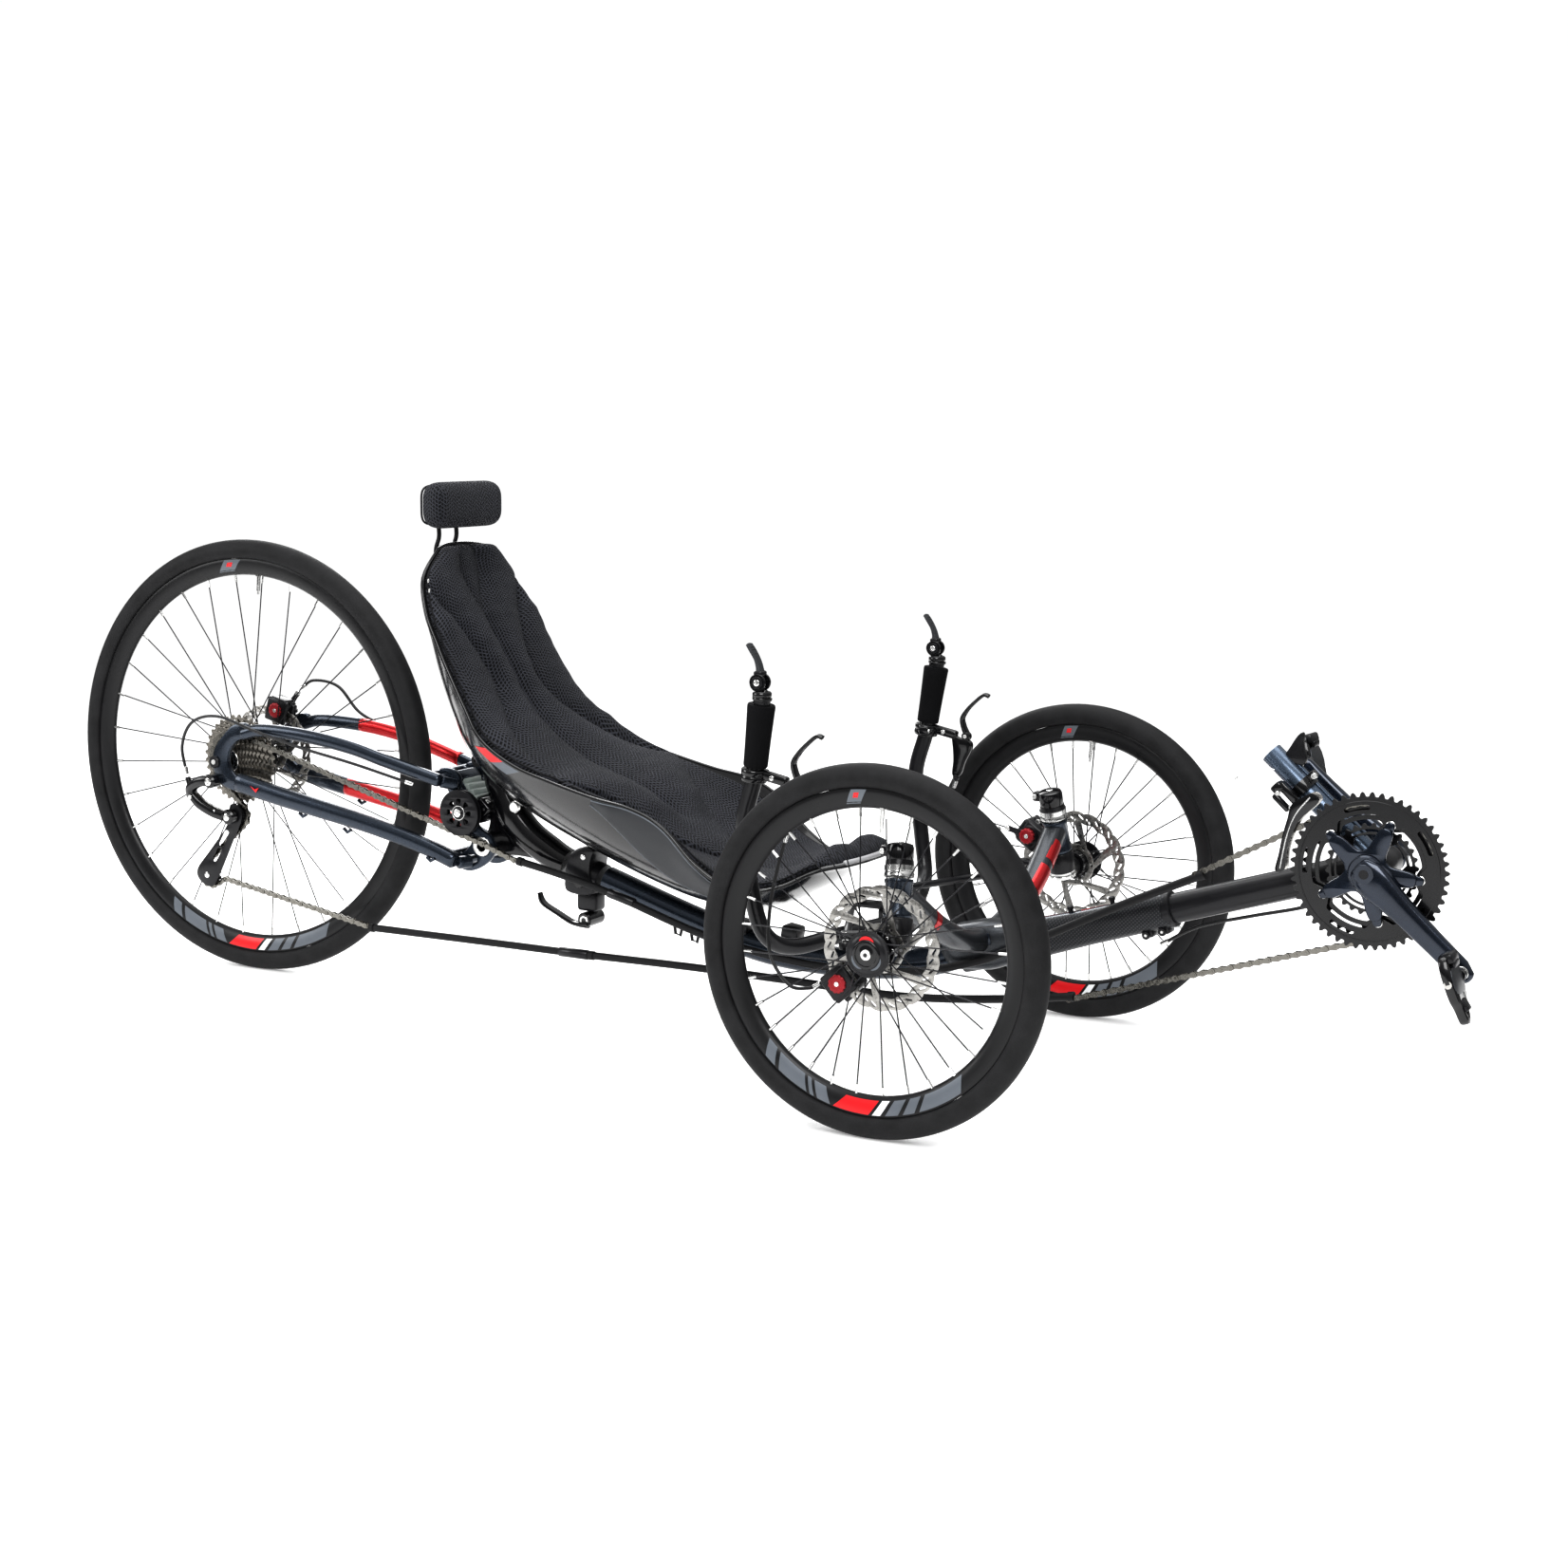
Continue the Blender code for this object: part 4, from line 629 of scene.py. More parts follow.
# ---- wheels -------------------------------------------------------------------------------
def tyre(name, node_name, body, centre, radius):
    shape = Shape()
    w = TYRE_HALF_WIDTH
    profile = [(radius - TYRE_DEPTH, -w * 0.62)]
    looks = ["tyre"]
    for k in range(33):
        angle = radians(-128 + 8 * k)
        r = w
        line = abs(abs(angle) - radians(84)) < radians(3)
        r += 0.0002 if line else 0.0
        profile.append((radius - w + r * cos(angle), r * sin(angle)))
        looks.append("tyre_line" if line else "tyre")
    profile.append((radius - TYRE_DEPTH, w * 0.62))
    looks.append("tyre")
    revolve(shape, profile, centre, Y_AXIS, looks, 144)
    piece(name, shape, body, node_name, sharp=60)


def rim_profile(radius):
    outer = radius - TYRE_DEPTH - 0.0004
    half = [(outer, 0.01), (outer - 0.0012, 0.0106), (outer - 0.006, 0.0105),
            (outer - 0.012, 0.0096), (outer - 0.018, 0.0078), (outer - 0.0225, 0.0052),
            (outer - 0.025, 0.0026), (outer - RIM_DEPTH, 0.0)]
    return half + [(r, -h) for r, h in half[-2::-1]]


def rim_side(radius, depth):
    """Half width of the rim at a depth below its outer edge."""
    profile = rim_profile(radius)[:8]
    outer = profile[0][0]
    for (r1, h1), (r2, h2) in zip(profile, profile[1:]):
        if r2 <= outer - depth <= r1:
            return h1 + (h2 - h1) * (r1 - (outer - depth)) / (r1 - r2)
    return 0.0


def rim_decal(shape, centre, radius, side, start, end, look, lean=0.0, top=0.003, bottom=0.021):
    """Thin transfer on the rim's side between two angles in degrees."""
    outer = radius - TYRE_DEPTH - 0.0004
    steps = max(2, int(abs(end - start) / 1.6))
    verts = []
    rows = 6
    for k in range(steps + 1):
        for j in range(rows):
            depth = top + (bottom - top) * j / (rows - 1)
            share = (depth - 0.003) / 0.018
            angle = radians(start + (end - start) * k / steps + lean * share)
            y = side * (rim_side(radius, depth) + 0.00022)
            verts.append(centre + polar(angle, outer - depth + 0.0001, y))
    faces = [(k * rows + j, (k + 1) * rows + j, (k + 1) * rows + j + 1, k * rows + j + 1)
             for k in range(steps) for j in range(rows - 1)]
    shape.add(verts, faces, look)


DECALS = [(-134, -129, "decal_grey", -4), (-127, -114, "decal_grey", -4),
          (-112.6, -110.8, "decal_grey", -4), (-109.4, -104, "decal_grey", -4),
          (-103, -89, "decal_red", 4), (-87.6, -84.4, "decal_white", 4),
          (-82.5, -77.5, "decal_grey", 4), (-75.6, -71, "decal_grey", 4),
          (-69, -51, "decal_grey", 4)]


def wheel(name, body, centre, radius, flanges, flange_radius, build_hub, nodes):
    shape = Shape()
    revolve(shape, rim_profile(radius), centre, Y_AXIS, "rim_black", 144)
    squeeze = 1.0 if radius < 0.3 else 0.72
    for side in (-1, 1):
        for start, end, look, lean in DECALS:
            rim_decal(shape, centre, radius, side, -90 + (start + 90) * squeeze,
                      -90 + (end + 90) * squeeze, look, lean * squeeze)
        rim_decal(shape, centre, radius, side, 91.5, 97.5, "decal_grey", 3, 0.002, 0.02)
        rim_decal(shape, centre, radius, side, 94.0, 96.0, "decal_red", 2, 0.006, 0.015)
    inner = radius - TYRE_DEPTH - RIM_DEPTH
    stem = centre + polar(radians(86), inner + 0.002)
    foot = centre + polar(radians(86), inner - 0.024)
    sweep(shape, [stem, foot], 0.0027, "silver", 12)
    sweep(shape, [foot, foot + (foot - stem).normalized() * 0.006], 0.0017, "silver", 8)
    sweep(shape, [stem, stem + (foot - stem) * 0.12], 0.005, "silver", 6)
    for index in range(SPOKES):
        angle = 2 * pi * (index + 0.5) / SPOKES
        lean = radians(34) * (1 if index % 4 < 2 else -1)
        lane = 0.0012 if index % 4 < 2 else -0.0012
        start = centre + polar(angle + lean, flange_radius, flanges[index % 2] + lane)
        end = centre + polar(angle, inner + 0.001, lane)
        line = (end - start).normalized()
        sweep(shape, [start, end], 0.00095, "spoke", 6)
        sweep(shape, [end - line * 0.012, end], 0.0019, "silver", 8)
        disc(shape, start - Vector((0, 0.0016, 0)), Y_AXIS, 0.0021, 0.0032, "silver", 8)
    build_hub(shape, centre)
    piece(name, shape, body, *nodes, sharp=40)


def crescent(shape, centre, side, inner, outer, start, end, look, y):
    steps = 14
    verts = []
    for k in range(steps + 1):
        t = k / steps
        angle = radians(start + (end - start) * t)
        swell = sin(pi * t) ** 0.6
        for r in (inner, inner + (outer - inner) * max(swell, 0.05)):
            verts.append(centre + polar(angle, r, side * y))
    shape.add(verts, [(2 * k, 2 * k + 1, 2 * k + 3, 2 * k + 2) for k in range(steps)], look)


def front_hub(sign):
    def build(shape, centre):
        out = Vector((0, sign, 0))
        revolve(shape, [(0.0096, 0.006), (0.015, 0.006), (0.0165, 0.0086), (0.015, -0.011),
                        (0.016, -0.0138), (0.0235, -0.0152), (0.024, -0.0178),
                        (0.019, -0.0196), (0.018, -0.0225), (0.018, -0.0335),
                        (0.0096, -0.0335)],
                centre, out, "gloss_black", 48)
        profile = [(0.0, 0.009), (0.0285, 0.009), (0.0294, 0.0098), (0.0294, 0.0122),
                   (0.0285, 0.013), (0.025, 0.013), (0.024, 0.0142), (0.019, 0.0152),
                   (0.0182, 0.017), (0.0172, 0.0176), (0.015, 0.0176), (0.014, 0.0162),
                   (0.009, 0.016), (0.008, 0.0166), (0.0, 0.0166)]
        revolve(shape, profile, centre, out, ["satin_black"] * 7 + ["gloss_black"] * 7, 48,
                closed=False)
        for k in range(24):
            turn = 2 * pi * k / 24
            disc(shape, centre + polar(turn, 0.0282, sign * 0.0128), out, 0.0011, 0.0008,
                 "gloss_black", 6)
        disc(shape, centre + out * 0.0164, out, 0.007, 0.002, "silver", 28)
        disc(shape, centre + out * 0.0182, out, 0.0028, 0.0006, "gloss_black", 12)
        crescent(shape, centre, sign, 0.0186, 0.0232, 58, 122, "decal_red", 0.01545)
        crescent(shape, centre, sign, 0.019, 0.0222, 188, 252, "decal_grey", 0.0153)
        crescent(shape, centre, sign, 0.019, 0.0222, 288, 352, "decal_grey", 0.0153)
        for k in range(6):
            turn = 2 * pi * k / 6
            bolt(shape, centre + polar(turn, 0.0215, -sign * 0.0182), -out, 0.0022, 0.0012)
    return build


def rear_hub(shape, centre):
    revolve(shape, [(0.0066, 0.062), (0.0115, 0.062), (0.012, 0.05), (0.0205, 0.044),
                    (0.0235, 0.0362), (0.024, 0.0325), (0.015, 0.029), (0.0132, 0.024),
                    (0.0132, -0.012), (0.015, -0.0165), (0.0258, -0.019),
                    (0.026, -0.0228), (0.015, -0.0262), (0.015, -0.0295), (0.0066, -0.0295)],
            centre, Y_AXIS, "gloss_black", 48)


def rotor(name, body, centre, node_name, inner):
    """Ventilated brake disc: scalloped band, slanted slots and swept arms."""
    shape = Shape()
    waves = 18
    outline = []
    for k in range(180):
        angle = 2 * pi * k / 180
        wave = abs(sin(waves * angle / 2)) ** 0.7
        outline.append((0.0772 + 0.0028 * wave, angle))
    loops = [[(r * cos(a), r * sin(a)) for r, a in outline]]
    arms = 6
    lean = radians(26)
    for k in range(arms):
        base = 2 * pi * k / arms
        window = []
        for j in range(9):
            a = base + radians(9) + (radians(60) - radians(18)) * j / 8
            window.append((0.0315 * cos(a), 0.0315 * sin(a)))
        for j in range(12, -1, -1):
            a = base + lean + radians(5) + (radians(60) - radians(10)) * j / 12
            r = 0.0636 + 0.0014 * sin(waves * a)
            window.append((r * cos(a), r * sin(a)))
        loops.append(window)
        a = base + radians(1)
        loops.append(round_loop(0.0275 * cos(a), 0.0275 * sin(a), 0.0022, 8))
    for k in range(waves * 2):
        a = 2 * pi * k / (waves * 2)
        low, high = (0.0668, 0.0708) if k % 2 else (0.07, 0.0742)
        tilt = radians(5.0)
        loops.append(slot_loop((low * cos(a), low * sin(a)),
                               (high * cos(a + tilt), high * sin(a + tilt)), 0.0013, 3))
    loops.append(round_loop(0, 0, inner, 36))
    matrix = Matrix.Translation(centre) @ XZ_PLANE
    cutout(shape, loops, 0.0018, "rotor", edge=0.0002, matrix=matrix)
    piece(name, shape, body, node_name, sharp=30)


def wheels():
    for side, sign in (("right", -1), ("left", 1)):
        centre = at(0, sign * TRACK_HALF, FRONT_RADIUS)
        body = f"front_{side}_wheel"
        tyre(f"look_{side}_tyre", f"front_{side}_tyre", body, centre, FRONT_RADIUS)
        wheel(f"look_{side}_wheel", body, centre, FRONT_RADIUS, (sign * 0.008, -sign * 0.0165),
              0.0215, front_hub(sign), [f"front_{side}_wheel"])
        rotor(f"look_{side}_rotor", body, centre - Vector((0, sign * ROTOR_INSET, 0)),
              f"front_{side}_rotor", 0.0235)
    centre = at(-WHEELBASE, 0, REAR_RADIUS)
    tyre("look_rear_tyre", "rear_tyre", "rear_wheel", centre, REAR_RADIUS)
    wheel("look_rear_wheel", "rear_wheel", centre, REAR_RADIUS, (0.034, -0.021), 0.022,
          rear_hub, ["rear_wheel"])
    rotor("look_rear_rotor", "rear_wheel", centre + Vector((0, 0.044, 0)), "rear_rotor", 0.02)


# ---- chain and sprockets ------------------------------------------------------------------
def belt(stops, arc_step=0.05):
    """Path over directed circles (centre, radius, turn), as flat (x, z) points."""
    touch = []
    for (c1, r1, t1), (c2, r2, t2) in zip(stops, stops[1:]):
        d = Vector(c2) - Vector(c1)
        s1, s2 = r1 * t1, r2 * t2
        turn = atan2(d.y, d.x) - asin((s2 - s1) / d.length)
        normal = Vector((-sin(turn), cos(turn)))
        touch.append((Vector(c1) - normal * s1, Vector(c2) - normal * s2, turn))
    points = [touch[0][0]]
    for index in range(1, len(stops) - 1):
        centre, radius, way = stops[index]
        start, before = touch[index - 1][1], touch[index - 1][2]
        end, after = touch[index][0], touch[index][2]
        points.append(start)
        if radius > 0:
            turned = (after - before) % (2 * pi)
            if way < 0:
                turned -= 2 * pi
            count = max(1, round(abs(turned) / arc_step))
            offset = start - Vector(centre)
            for step in range(1, count):
                spin = Matrix.Rotation(turned * step / count, 2)
                points.append(Vector(centre) + spin @ offset)
            points.append(end)
    points.append(touch[-1][1])
    return points


def towards(start, end, distance):
    line = Vector(end) - Vector(start)
    return tuple(Vector(start) + line.normalized() * distance)


def spaced(points, pitch):
    """Points a fixed distance apart along a path."""
    result = [points[0]]
    carry = 0.0
    for a, b in zip(points, points[1:]):
        length = (b - a).length
        place_on = pitch - carry
        while place_on <= length:
            result.append(a + (b - a) * (place_on / length))
            place_on += pitch
        carry = (carry + length) % pitch
    return result


def link_outline(half_height):
    """Outline of one side plate about the middle between its two pins."""
    half = CHAIN_PITCH / 2
    loop = []
    for k in range(7):
        a = -pi / 2 + pi * k / 6
        loop.append((half + half_height * cos(a), half_height * sin(a)))
    loop.append((0.0, half_height * 0.62))
    for k in range(7):
        a = pi / 2 + pi * k / 6
        loop.append((-half + half_height * cos(a), half_height * sin(a)))
    loop.append((0.0, -half_height * 0.62))
    return loop


def chain(shape, points):
    pins = spaced([Vector(p) for p in points], CHAIN_PITCH)
    for index, (a, b) in enumerate(zip(pins, pins[1:])):
        middle = (a + b) / 2
        along = (b - a).normalized()
        across = Vector((-along.y, along.x))
        offset, thick, height = (0.0031, 0.0009, 0.0041) if index % 2 else (0.0021, 0.0009, 0.0043)
        loop = link_outline(height)
        n = len(loop)
        for side in (-1, 1):
            verts = []
            for y in (side * offset - thick / 2, side * offset + thick / 2):
                for u, v in loop:
                    p = middle + along * u + across * v
                    verts.append(at(p.x, CHAIN_Y + y, p.y))
            faces = [tuple(range(n))[::-1], tuple(range(n, 2 * n))]
            faces += [(k, (k + 1) % n, (k + 1) % n + n, k + n) for k in range(n)]
            shape.add(verts, faces, "chain")
        pin = at(a.x, CHAIN_Y, a.y)
        sweep(shape, [pin - Y_AXIS * 0.004, pin + Y_AXIS * 0.004], 0.0017, "chain", 8)
        sweep(shape, [pin - Y_AXIS * 0.0017, pin + Y_AXIS * 0.0017], 0.0036, "chain", 10)


def teeth_loop(count, root, tip, phase=0.0, sharp=0.28):
    """Toothed outline; sharp is the tooth's share of the pitch at its tip."""
    loop = []
    for k in range(count):
        base = phase + 2 * pi * k / count
        step = 2 * pi / count
        for share, r in ((0.0, root), (0.18, root + (tip - root) * 0.12),
                         (0.5 - sharp * 0.75, root + (tip - root) * 0.66), (0.5 - sharp / 4, tip),
                         (0.5 + sharp / 4, tip), (0.5 + sharp * 0.75, root + (tip - root) * 0.66),
                         (0.82, root + (tip - root) * 0.12)):
            a = base + step * share
            loop.append((r * cos(a), r * sin(a)))
    return loop


def arc_slot(radius, half, start, end, steps=10):
    """Curved slot at a radius between two angles."""
    loop = []
    for k in range(steps + 1):
        a = start + (end - start) * k / steps
        loop.append(((radius + half) * cos(a), (radius + half) * sin(a)))
    for k in range(1, 4):
        t = pi * k / 4
        far, off = radius + half * cos(t), half * sin(t)
        loop.append((far * cos(end) - off * sin(end),
                     far * sin(end) + off * cos(end)))
    for k in range(steps, -1, -1):
        a = start + (end - start) * k / steps
        loop.append(((radius - half) * cos(a), (radius - half) * sin(a)))
    for k in range(1, 4):
        t = pi * k / 4
        far, off = radius - half * cos(t), half * sin(t)
        loop.append((far * cos(start) + off * sin(start),
                     far * sin(start) - off * cos(start)))
    return loop


def chainrings():
    shape = Shape()
    centre = Matrix.Translation(side_point(BB))
    arms = [CRANK_ANGLE + radians(36) + 2 * pi * k / ARM_COUNT for k in range(ARM_COUNT)]

    def ring_plate(loops, y, thickness):
        cutout(shape, loops, thickness, "ring_black", edge=0.0003,
               matrix=centre @ Matrix.Translation((0, y, 0)) @ XZ_PLANE)

    def window(inner, outer, margin):
        """Inside edge of a ring, drawn in towards the bolts."""
        loop = []
        for k in range(180):
            a = 2 * pi * k / 180
            near = min(abs((a - b + pi) % (2 * pi) - pi) for b in arms)
            pull = max(0.0, 1 - (near / margin) ** 2)
            loop.append(((outer - (outer - inner) * pull) * cos(a),
                         (outer - (outer - inner) * pull) * sin(a)))
        return loop

    big = [teeth_loop(50, 0.093, 0.099), window(0.059, 0.0715, 0.24)]
    for b in arms:
        big.append(arc_slot(0.08, 0.003, b + 0.46, b + 0.8))
    ring_plate(big, -0.052, 0.0026)
    ring(shape, side_point(BB, -0.0539), Y_AXIS, 0.0868, 0.0882, 0.0012, "ring_black", 72)
    ring_plate([teeth_loop(42, 0.0806, 0.085), window(0.056, 0.064, 0.24)]
               + [arc_slot(0.072, 0.0022, b + 0.35, b + 0.9) for b in arms], -0.045, 0.0024)
    ring_plate([teeth_loop(30, 0.054, 0.0585), window(0.035, 0.044, 0.3)]
               + [arc_slot(0.049, 0.0018, b + 0.3, b + 0.95) for b in arms], -0.038, 0.0022)
    for b in arms:
        spot = side_point(BB) + polar(b, 0.0642)
        bolt(shape, spot + Vector((0, -0.0532, 0)), -Y_AXIS, 0.0062, 0.0022)
        disc(shape, spot + Vector((0, -0.0512, 0)), Y_AXIS, 0.0052, 0.0055, "silver", 20)
        disc(shape, side_point(BB) + polar(b, 0.04, -0.045), Y_AXIS, 0.004, 0.008,
             "ring_black", 16)
    piece("look_chainrings", shape, "crank", "chainrings", sharp=12)


def crank_outline(arms, core, reach, width):
    """Star of spider arms as a smooth (x, z) loop."""
    loop = []
    for k in range(240):
        a = 2 * pi * k / 240
        near = min(abs((a - b + pi) % (2 * pi) - pi) for b in arms)
        lift = 1 / (1 + (near / width) ** 4)
        r = core + (reach - core) * lift
        loop.append((r * cos(a), r * sin(a)))
    return loop


def crank_arm(shape, centre, direction, y_root, y_tip, sign):
    """Hollow-looking forged arm: broad at the axle, waisted, and round at the pedal."""
    out = Vector((0, sign, 0))
    root = centre + Vector((0, y_root, 0))
    tip = centre + direction * CRANK_LENGTH + Vector((0, y_tip, 0))
    end = tip + direction * 0.014
    start = root - direction * 0.015
    points = [start + (end - start) * k / 10 for k in range(11)]
    sizes = [(0.0165, 0.0075), (0.0222, 0.0095), (0.0215, 0.0095), (0.0185, 0.0088),
             (0.0165, 0.0084), (0.0155, 0.008), (0.0148, 0.0078), (0.0142, 0.0074),
             (0.014, 0.007), (0.014, 0.0066), (0.0095, 0.0058)]
    sweep(shape, points, sizes, "navy", 32, up=out, power=2.9, round_end=0.006)
    ridge = [root + direction * d + out * 0.0085 for d in (0.018, 0.06, 0.11, 0.14)]
    sweep(shape, smooth(ridge, 4), [(0.0045, 0.0016), (0.006, 0.0022), (0.004, 0.0018),
                                    (0.0016, 0.001)], "navy", 16, up=out)
    disc(shape, tip + out * 0.005, out, 0.0086, 0.0028, "silver", 24)
    disc(shape, tip + out * 0.0072, out, 0.0038, 0.0009, "gloss_black", 8)


def cranks():
    centre = side_point(BB)
    along = polar(CRANK_ANGLE, 1.0)
    arms = [CRANK_ANGLE + radians(36) + 2 * pi * k / ARM_COUNT for k in range(ARM_COUNT)]
    shape = Shape()
    loops = [crank_outline(arms, 0.026, 0.069, 0.155)]
    cutout(shape, loops, 0.005, "navy", edge=0.0016,
           matrix=Matrix.Translation(centre + Vector((0, -0.0568, 0))) @ XZ_PLANE)
    cutout(shape, [crank_outline(arms, 0.027, 0.061, 0.25)], 0.006, "navy", edge=0.0024,
           matrix=Matrix.Translation(centre + Vector((0, -0.061, 0))) @ XZ_PLANE)
    disc(shape, centre + Vector((0, -0.04, 0)), -Y_AXIS, 0.0225, 0.03, "navy", 40, 0.002)
    crank_arm(shape, centre, along, -0.0675, -0.075, -1)
    disc(shape, centre + Vector((0, -0.0765, 0)), -Y_AXIS, 0.0125, 0.0015, "navy", 32)
    disc(shape, centre + Vector((0, -0.0778, 0)), -Y_AXIS, 0.006, 0.0006, "satin_black", 24)
    piece("look_crank_right", shape, "crank", "crank_right", sharp=35)
    shape = Shape()
    crank_arm(shape, centre, -along, 0.069, 0.075, 1)
    disc(shape, centre + Vector((0, 0.054, 0)), Y_AXIS, 0.019, 0.024, "navy", 40, 0.002)
    disc(shape, centre + Vector((0, -0.039, 0)), Y_AXIS, 0.0115, 0.11, "steel", 32)
    for k in (-1, 1):
        bolt(shape, centre + Vector((0, 0.06 + 0.006 * k, 0.0185)), Vector((0, 0, 1)), 0.003, 0.002)
    piece("look_crank_left", shape, "crank", "crank_left", sharp=35)


def pedals():
    """Clipless pedal: forked front claw, sprung rear jaw and a steel wear plate."""
    lean = radians(70)
    for side, sign in (("right", -1), ("left", 1)):
        spot = side_point(BB) + polar(CRANK_ANGLE, CRANK_LENGTH) * -sign
        middle = spot + Vector((0, sign * 0.127, 0))
        matrix = Matrix.Translation(middle) @ turn_y(lean)
        shape = Shape()
        body = soft_loop([(-0.033, -0.015), (-0.02, -0.025), (0.0, -0.027),
                          (0.02, -0.024), (0.034, -0.015), (0.052, -0.007),
                          (0.052, 0.007), (0.034, 0.015), (0.02, 0.024),
                          (0.0, 0.027), (-0.02, 0.025), (-0.033, 0.015)], 4)
        hole = soft_loop([(0.026, -0.008), (0.04, -0.003), (0.04, 0.003),
                          (0.026, 0.008)], 4)
        cutout(shape, [body, hole], 0.012, "gloss_black", edge=0.0034, matrix=matrix)
        plate_at = matrix @ Matrix.Translation((-0.001, 0, 0.0064))
        cutout(shape, [soft_loop([(-0.014, -0.02), (0.014, -0.02), (0.014, 0.02),
                                  (-0.014, 0.02)], 3)], 0.0012, "graphite", edge=0.0003,
               matrix=plate_at)
        chunk(shape, matrix @ Vector((-0.028, 0, 0.004)), (0.012, 0.034, 0.016), "satin_black",
              turn_y(lean), 0.003)
        chunk(shape, matrix @ Vector((-0.02, 0, 0.0095)), (0.008, 0.024, 0.005), "spoke",
              turn_y(lean + 0.3), 0.0015)
        chunk(shape, matrix @ Vector((0.031, 0, 0.006)), (0.015, 0.02, 0.005), "spoke",
              turn_y(lean - 0.25), 0.0018)
        coil = [matrix @ Vector((-0.024 + 0.0035 * cos(2.2 * k),
                                 -0.013 + 0.026 * k / 30, -0.0035 + 0.0035 * sin(2.2 * k)))
                for k in range(31)]
        sweep(shape, coil, 0.0009, "silver", 6)
        start = spot + Vector((0, sign * 0.066, 0))
        sweep(shape, [start, spot + Vector((0, sign * 0.154, 0))], 0.0049, "steel", 16)
        sweep(shape, [spot + Vector((0, sign * 0.0835, 0)), spot + Vector((0, sign * 0.09, 0))],
              0.008, "silver", 6)
        sweep(shape, [spot + Vector((0, sign * 0.09, 0)), spot + Vector((0, sign * 0.101, 0))],
              0.0088, "gloss_black", 24)
        piece(f"look_pedal_{side}", shape, f"pedal_{side}", f"pedal_{side}", sharp=35)


def sprocket_holes(radius, count, size):
    return [round_loop(radius * cos(2 * pi * k / count),
                       radius * sin(2 * pi * k / count), size, 8) for k in range(count)]


def cassette():
    shape = Shape()
    centre = Matrix.Translation(side_point(SPROCKET))
    stack = [(34, 0.0705), (30, 0.0622), (27, 0.056), (24, 0.05), (21, 0.0445), (19, 0.0402),
             (17, 0.036), (15, 0.032), (13, 0.028), (11, 0.024)]
    for index, (teeth, tip) in enumerate(stack):
        y = -0.0316 - 0.00285 * index
        loops = [teeth_loop(teeth, tip - 0.0046, tip, 0.05 * index)]
        if index < 6:
            loops += sprocket_holes(tip - 0.0105, teeth // 3, 0.0027)
        if index < 4:
            loops += sprocket_holes(tip - 0.019, 8, 0.004)
        loops.append(round_loop(0, 0, 0.015, 24))
        cutout(shape, loops, 0.0018, "cassette", edge=0.0003,
               matrix=centre @ Matrix.Translation((0, y, 0)) @ XZ_PLANE)
    ring(shape, side_point(SPROCKET, -0.0305), -Y_AXIS, 0.0092, 0.0152, 0.028, "cassette", 36)
    ring(shape, side_point(SPROCKET, -0.058), -Y_AXIS, 0.0092, 0.019, 0.0016, "silver", 36)
    piece("look_cassette", shape, "cassette", "cassette", sharp=30)


def pulleys():
    shape = Shape()
    centre = Matrix.Translation(side_point(IDLER))
    holes = [soft_loop([((r * cos(a)), (r * sin(a))) for r, a in
                        ((0.014, t - 0.14), (0.0205, t - 0.2), (0.0215, t), (0.0205, t + 0.2),
                         (0.014, t + 0.14), (0.0128, t))], 3)
             for t in (2 * pi * k / 8 for k in range(8))]
    for y in (-0.0488, -0.0412):
        cutout(shape, [round_loop(0, 0, 0.0345, 72)] + holes + [round_loop(0, 0, 0.0046, 20)],
               0.0022, "satin_black", edge=0.0005,
               matrix=centre @ Matrix.Translation((0, y, 0)) @ XZ_PLANE)
    cutout(shape, [teeth_loop(16, 0.0272, 0.031, 0.1), round_loop(0, 0, 0.025, 40)], 0.005,
           "soft_black", matrix=centre @ Matrix.Translation((0, CHAIN_Y, 0)) @ XZ_PLANE)
    ring(shape, side_point(IDLER, -0.0515), Y_AXIS, 0.0038, 0.01, 0.013, "satin_black", 32)
    ring(shape, side_point(IDLER, -0.0503), -Y_AXIS, 0.01, 0.0112, 0.0004, "silver", 36)
    piece("look_idler", shape, "idler_pulley", "idler_pulley", sharp=35)
    for label, place_at in (("upper", JOCKEY_TOP), ("lower", JOCKEY_LOW)):
        shape = Shape()
        middle = Matrix.Translation(side_point(place_at, CHAIN_Y))
        loops = [teeth_loop(11, 0.0158, 0.0196, 0.0, 0.34)] + sprocket_holes(0.0102, 5, 0.002)
        cutout(shape, loops + [round_loop(0, 0, 0.0036, 16)], 0.0034, "soft_black",
               matrix=middle @ XZ_PLANE)
        ring(shape, side_point(place_at, CHAIN_Y - 0.0022), Y_AXIS, 0.0034, 0.0058, 0.0044,
             "silver", 24)
        piece(f"look_jockey_{label}", shape, f"jockey_wheel_{label}", f"jockey_wheel_{label}")


def chain_tube(shape, points, radius=0.0055, collar=True):
    path = smooth([side_point(p, CHAIN_Y) for p in points], 5)
    sweep(shape, path, radius, "soft_black", 20)
    if collar:
        for a, b in ((path[0], path[1]), (path[-1], path[-2])):
            line = (b - a).normalized()
            sweep(shape, [a, a + line * 0.008], radius + 0.0012, "soft_black", 20)


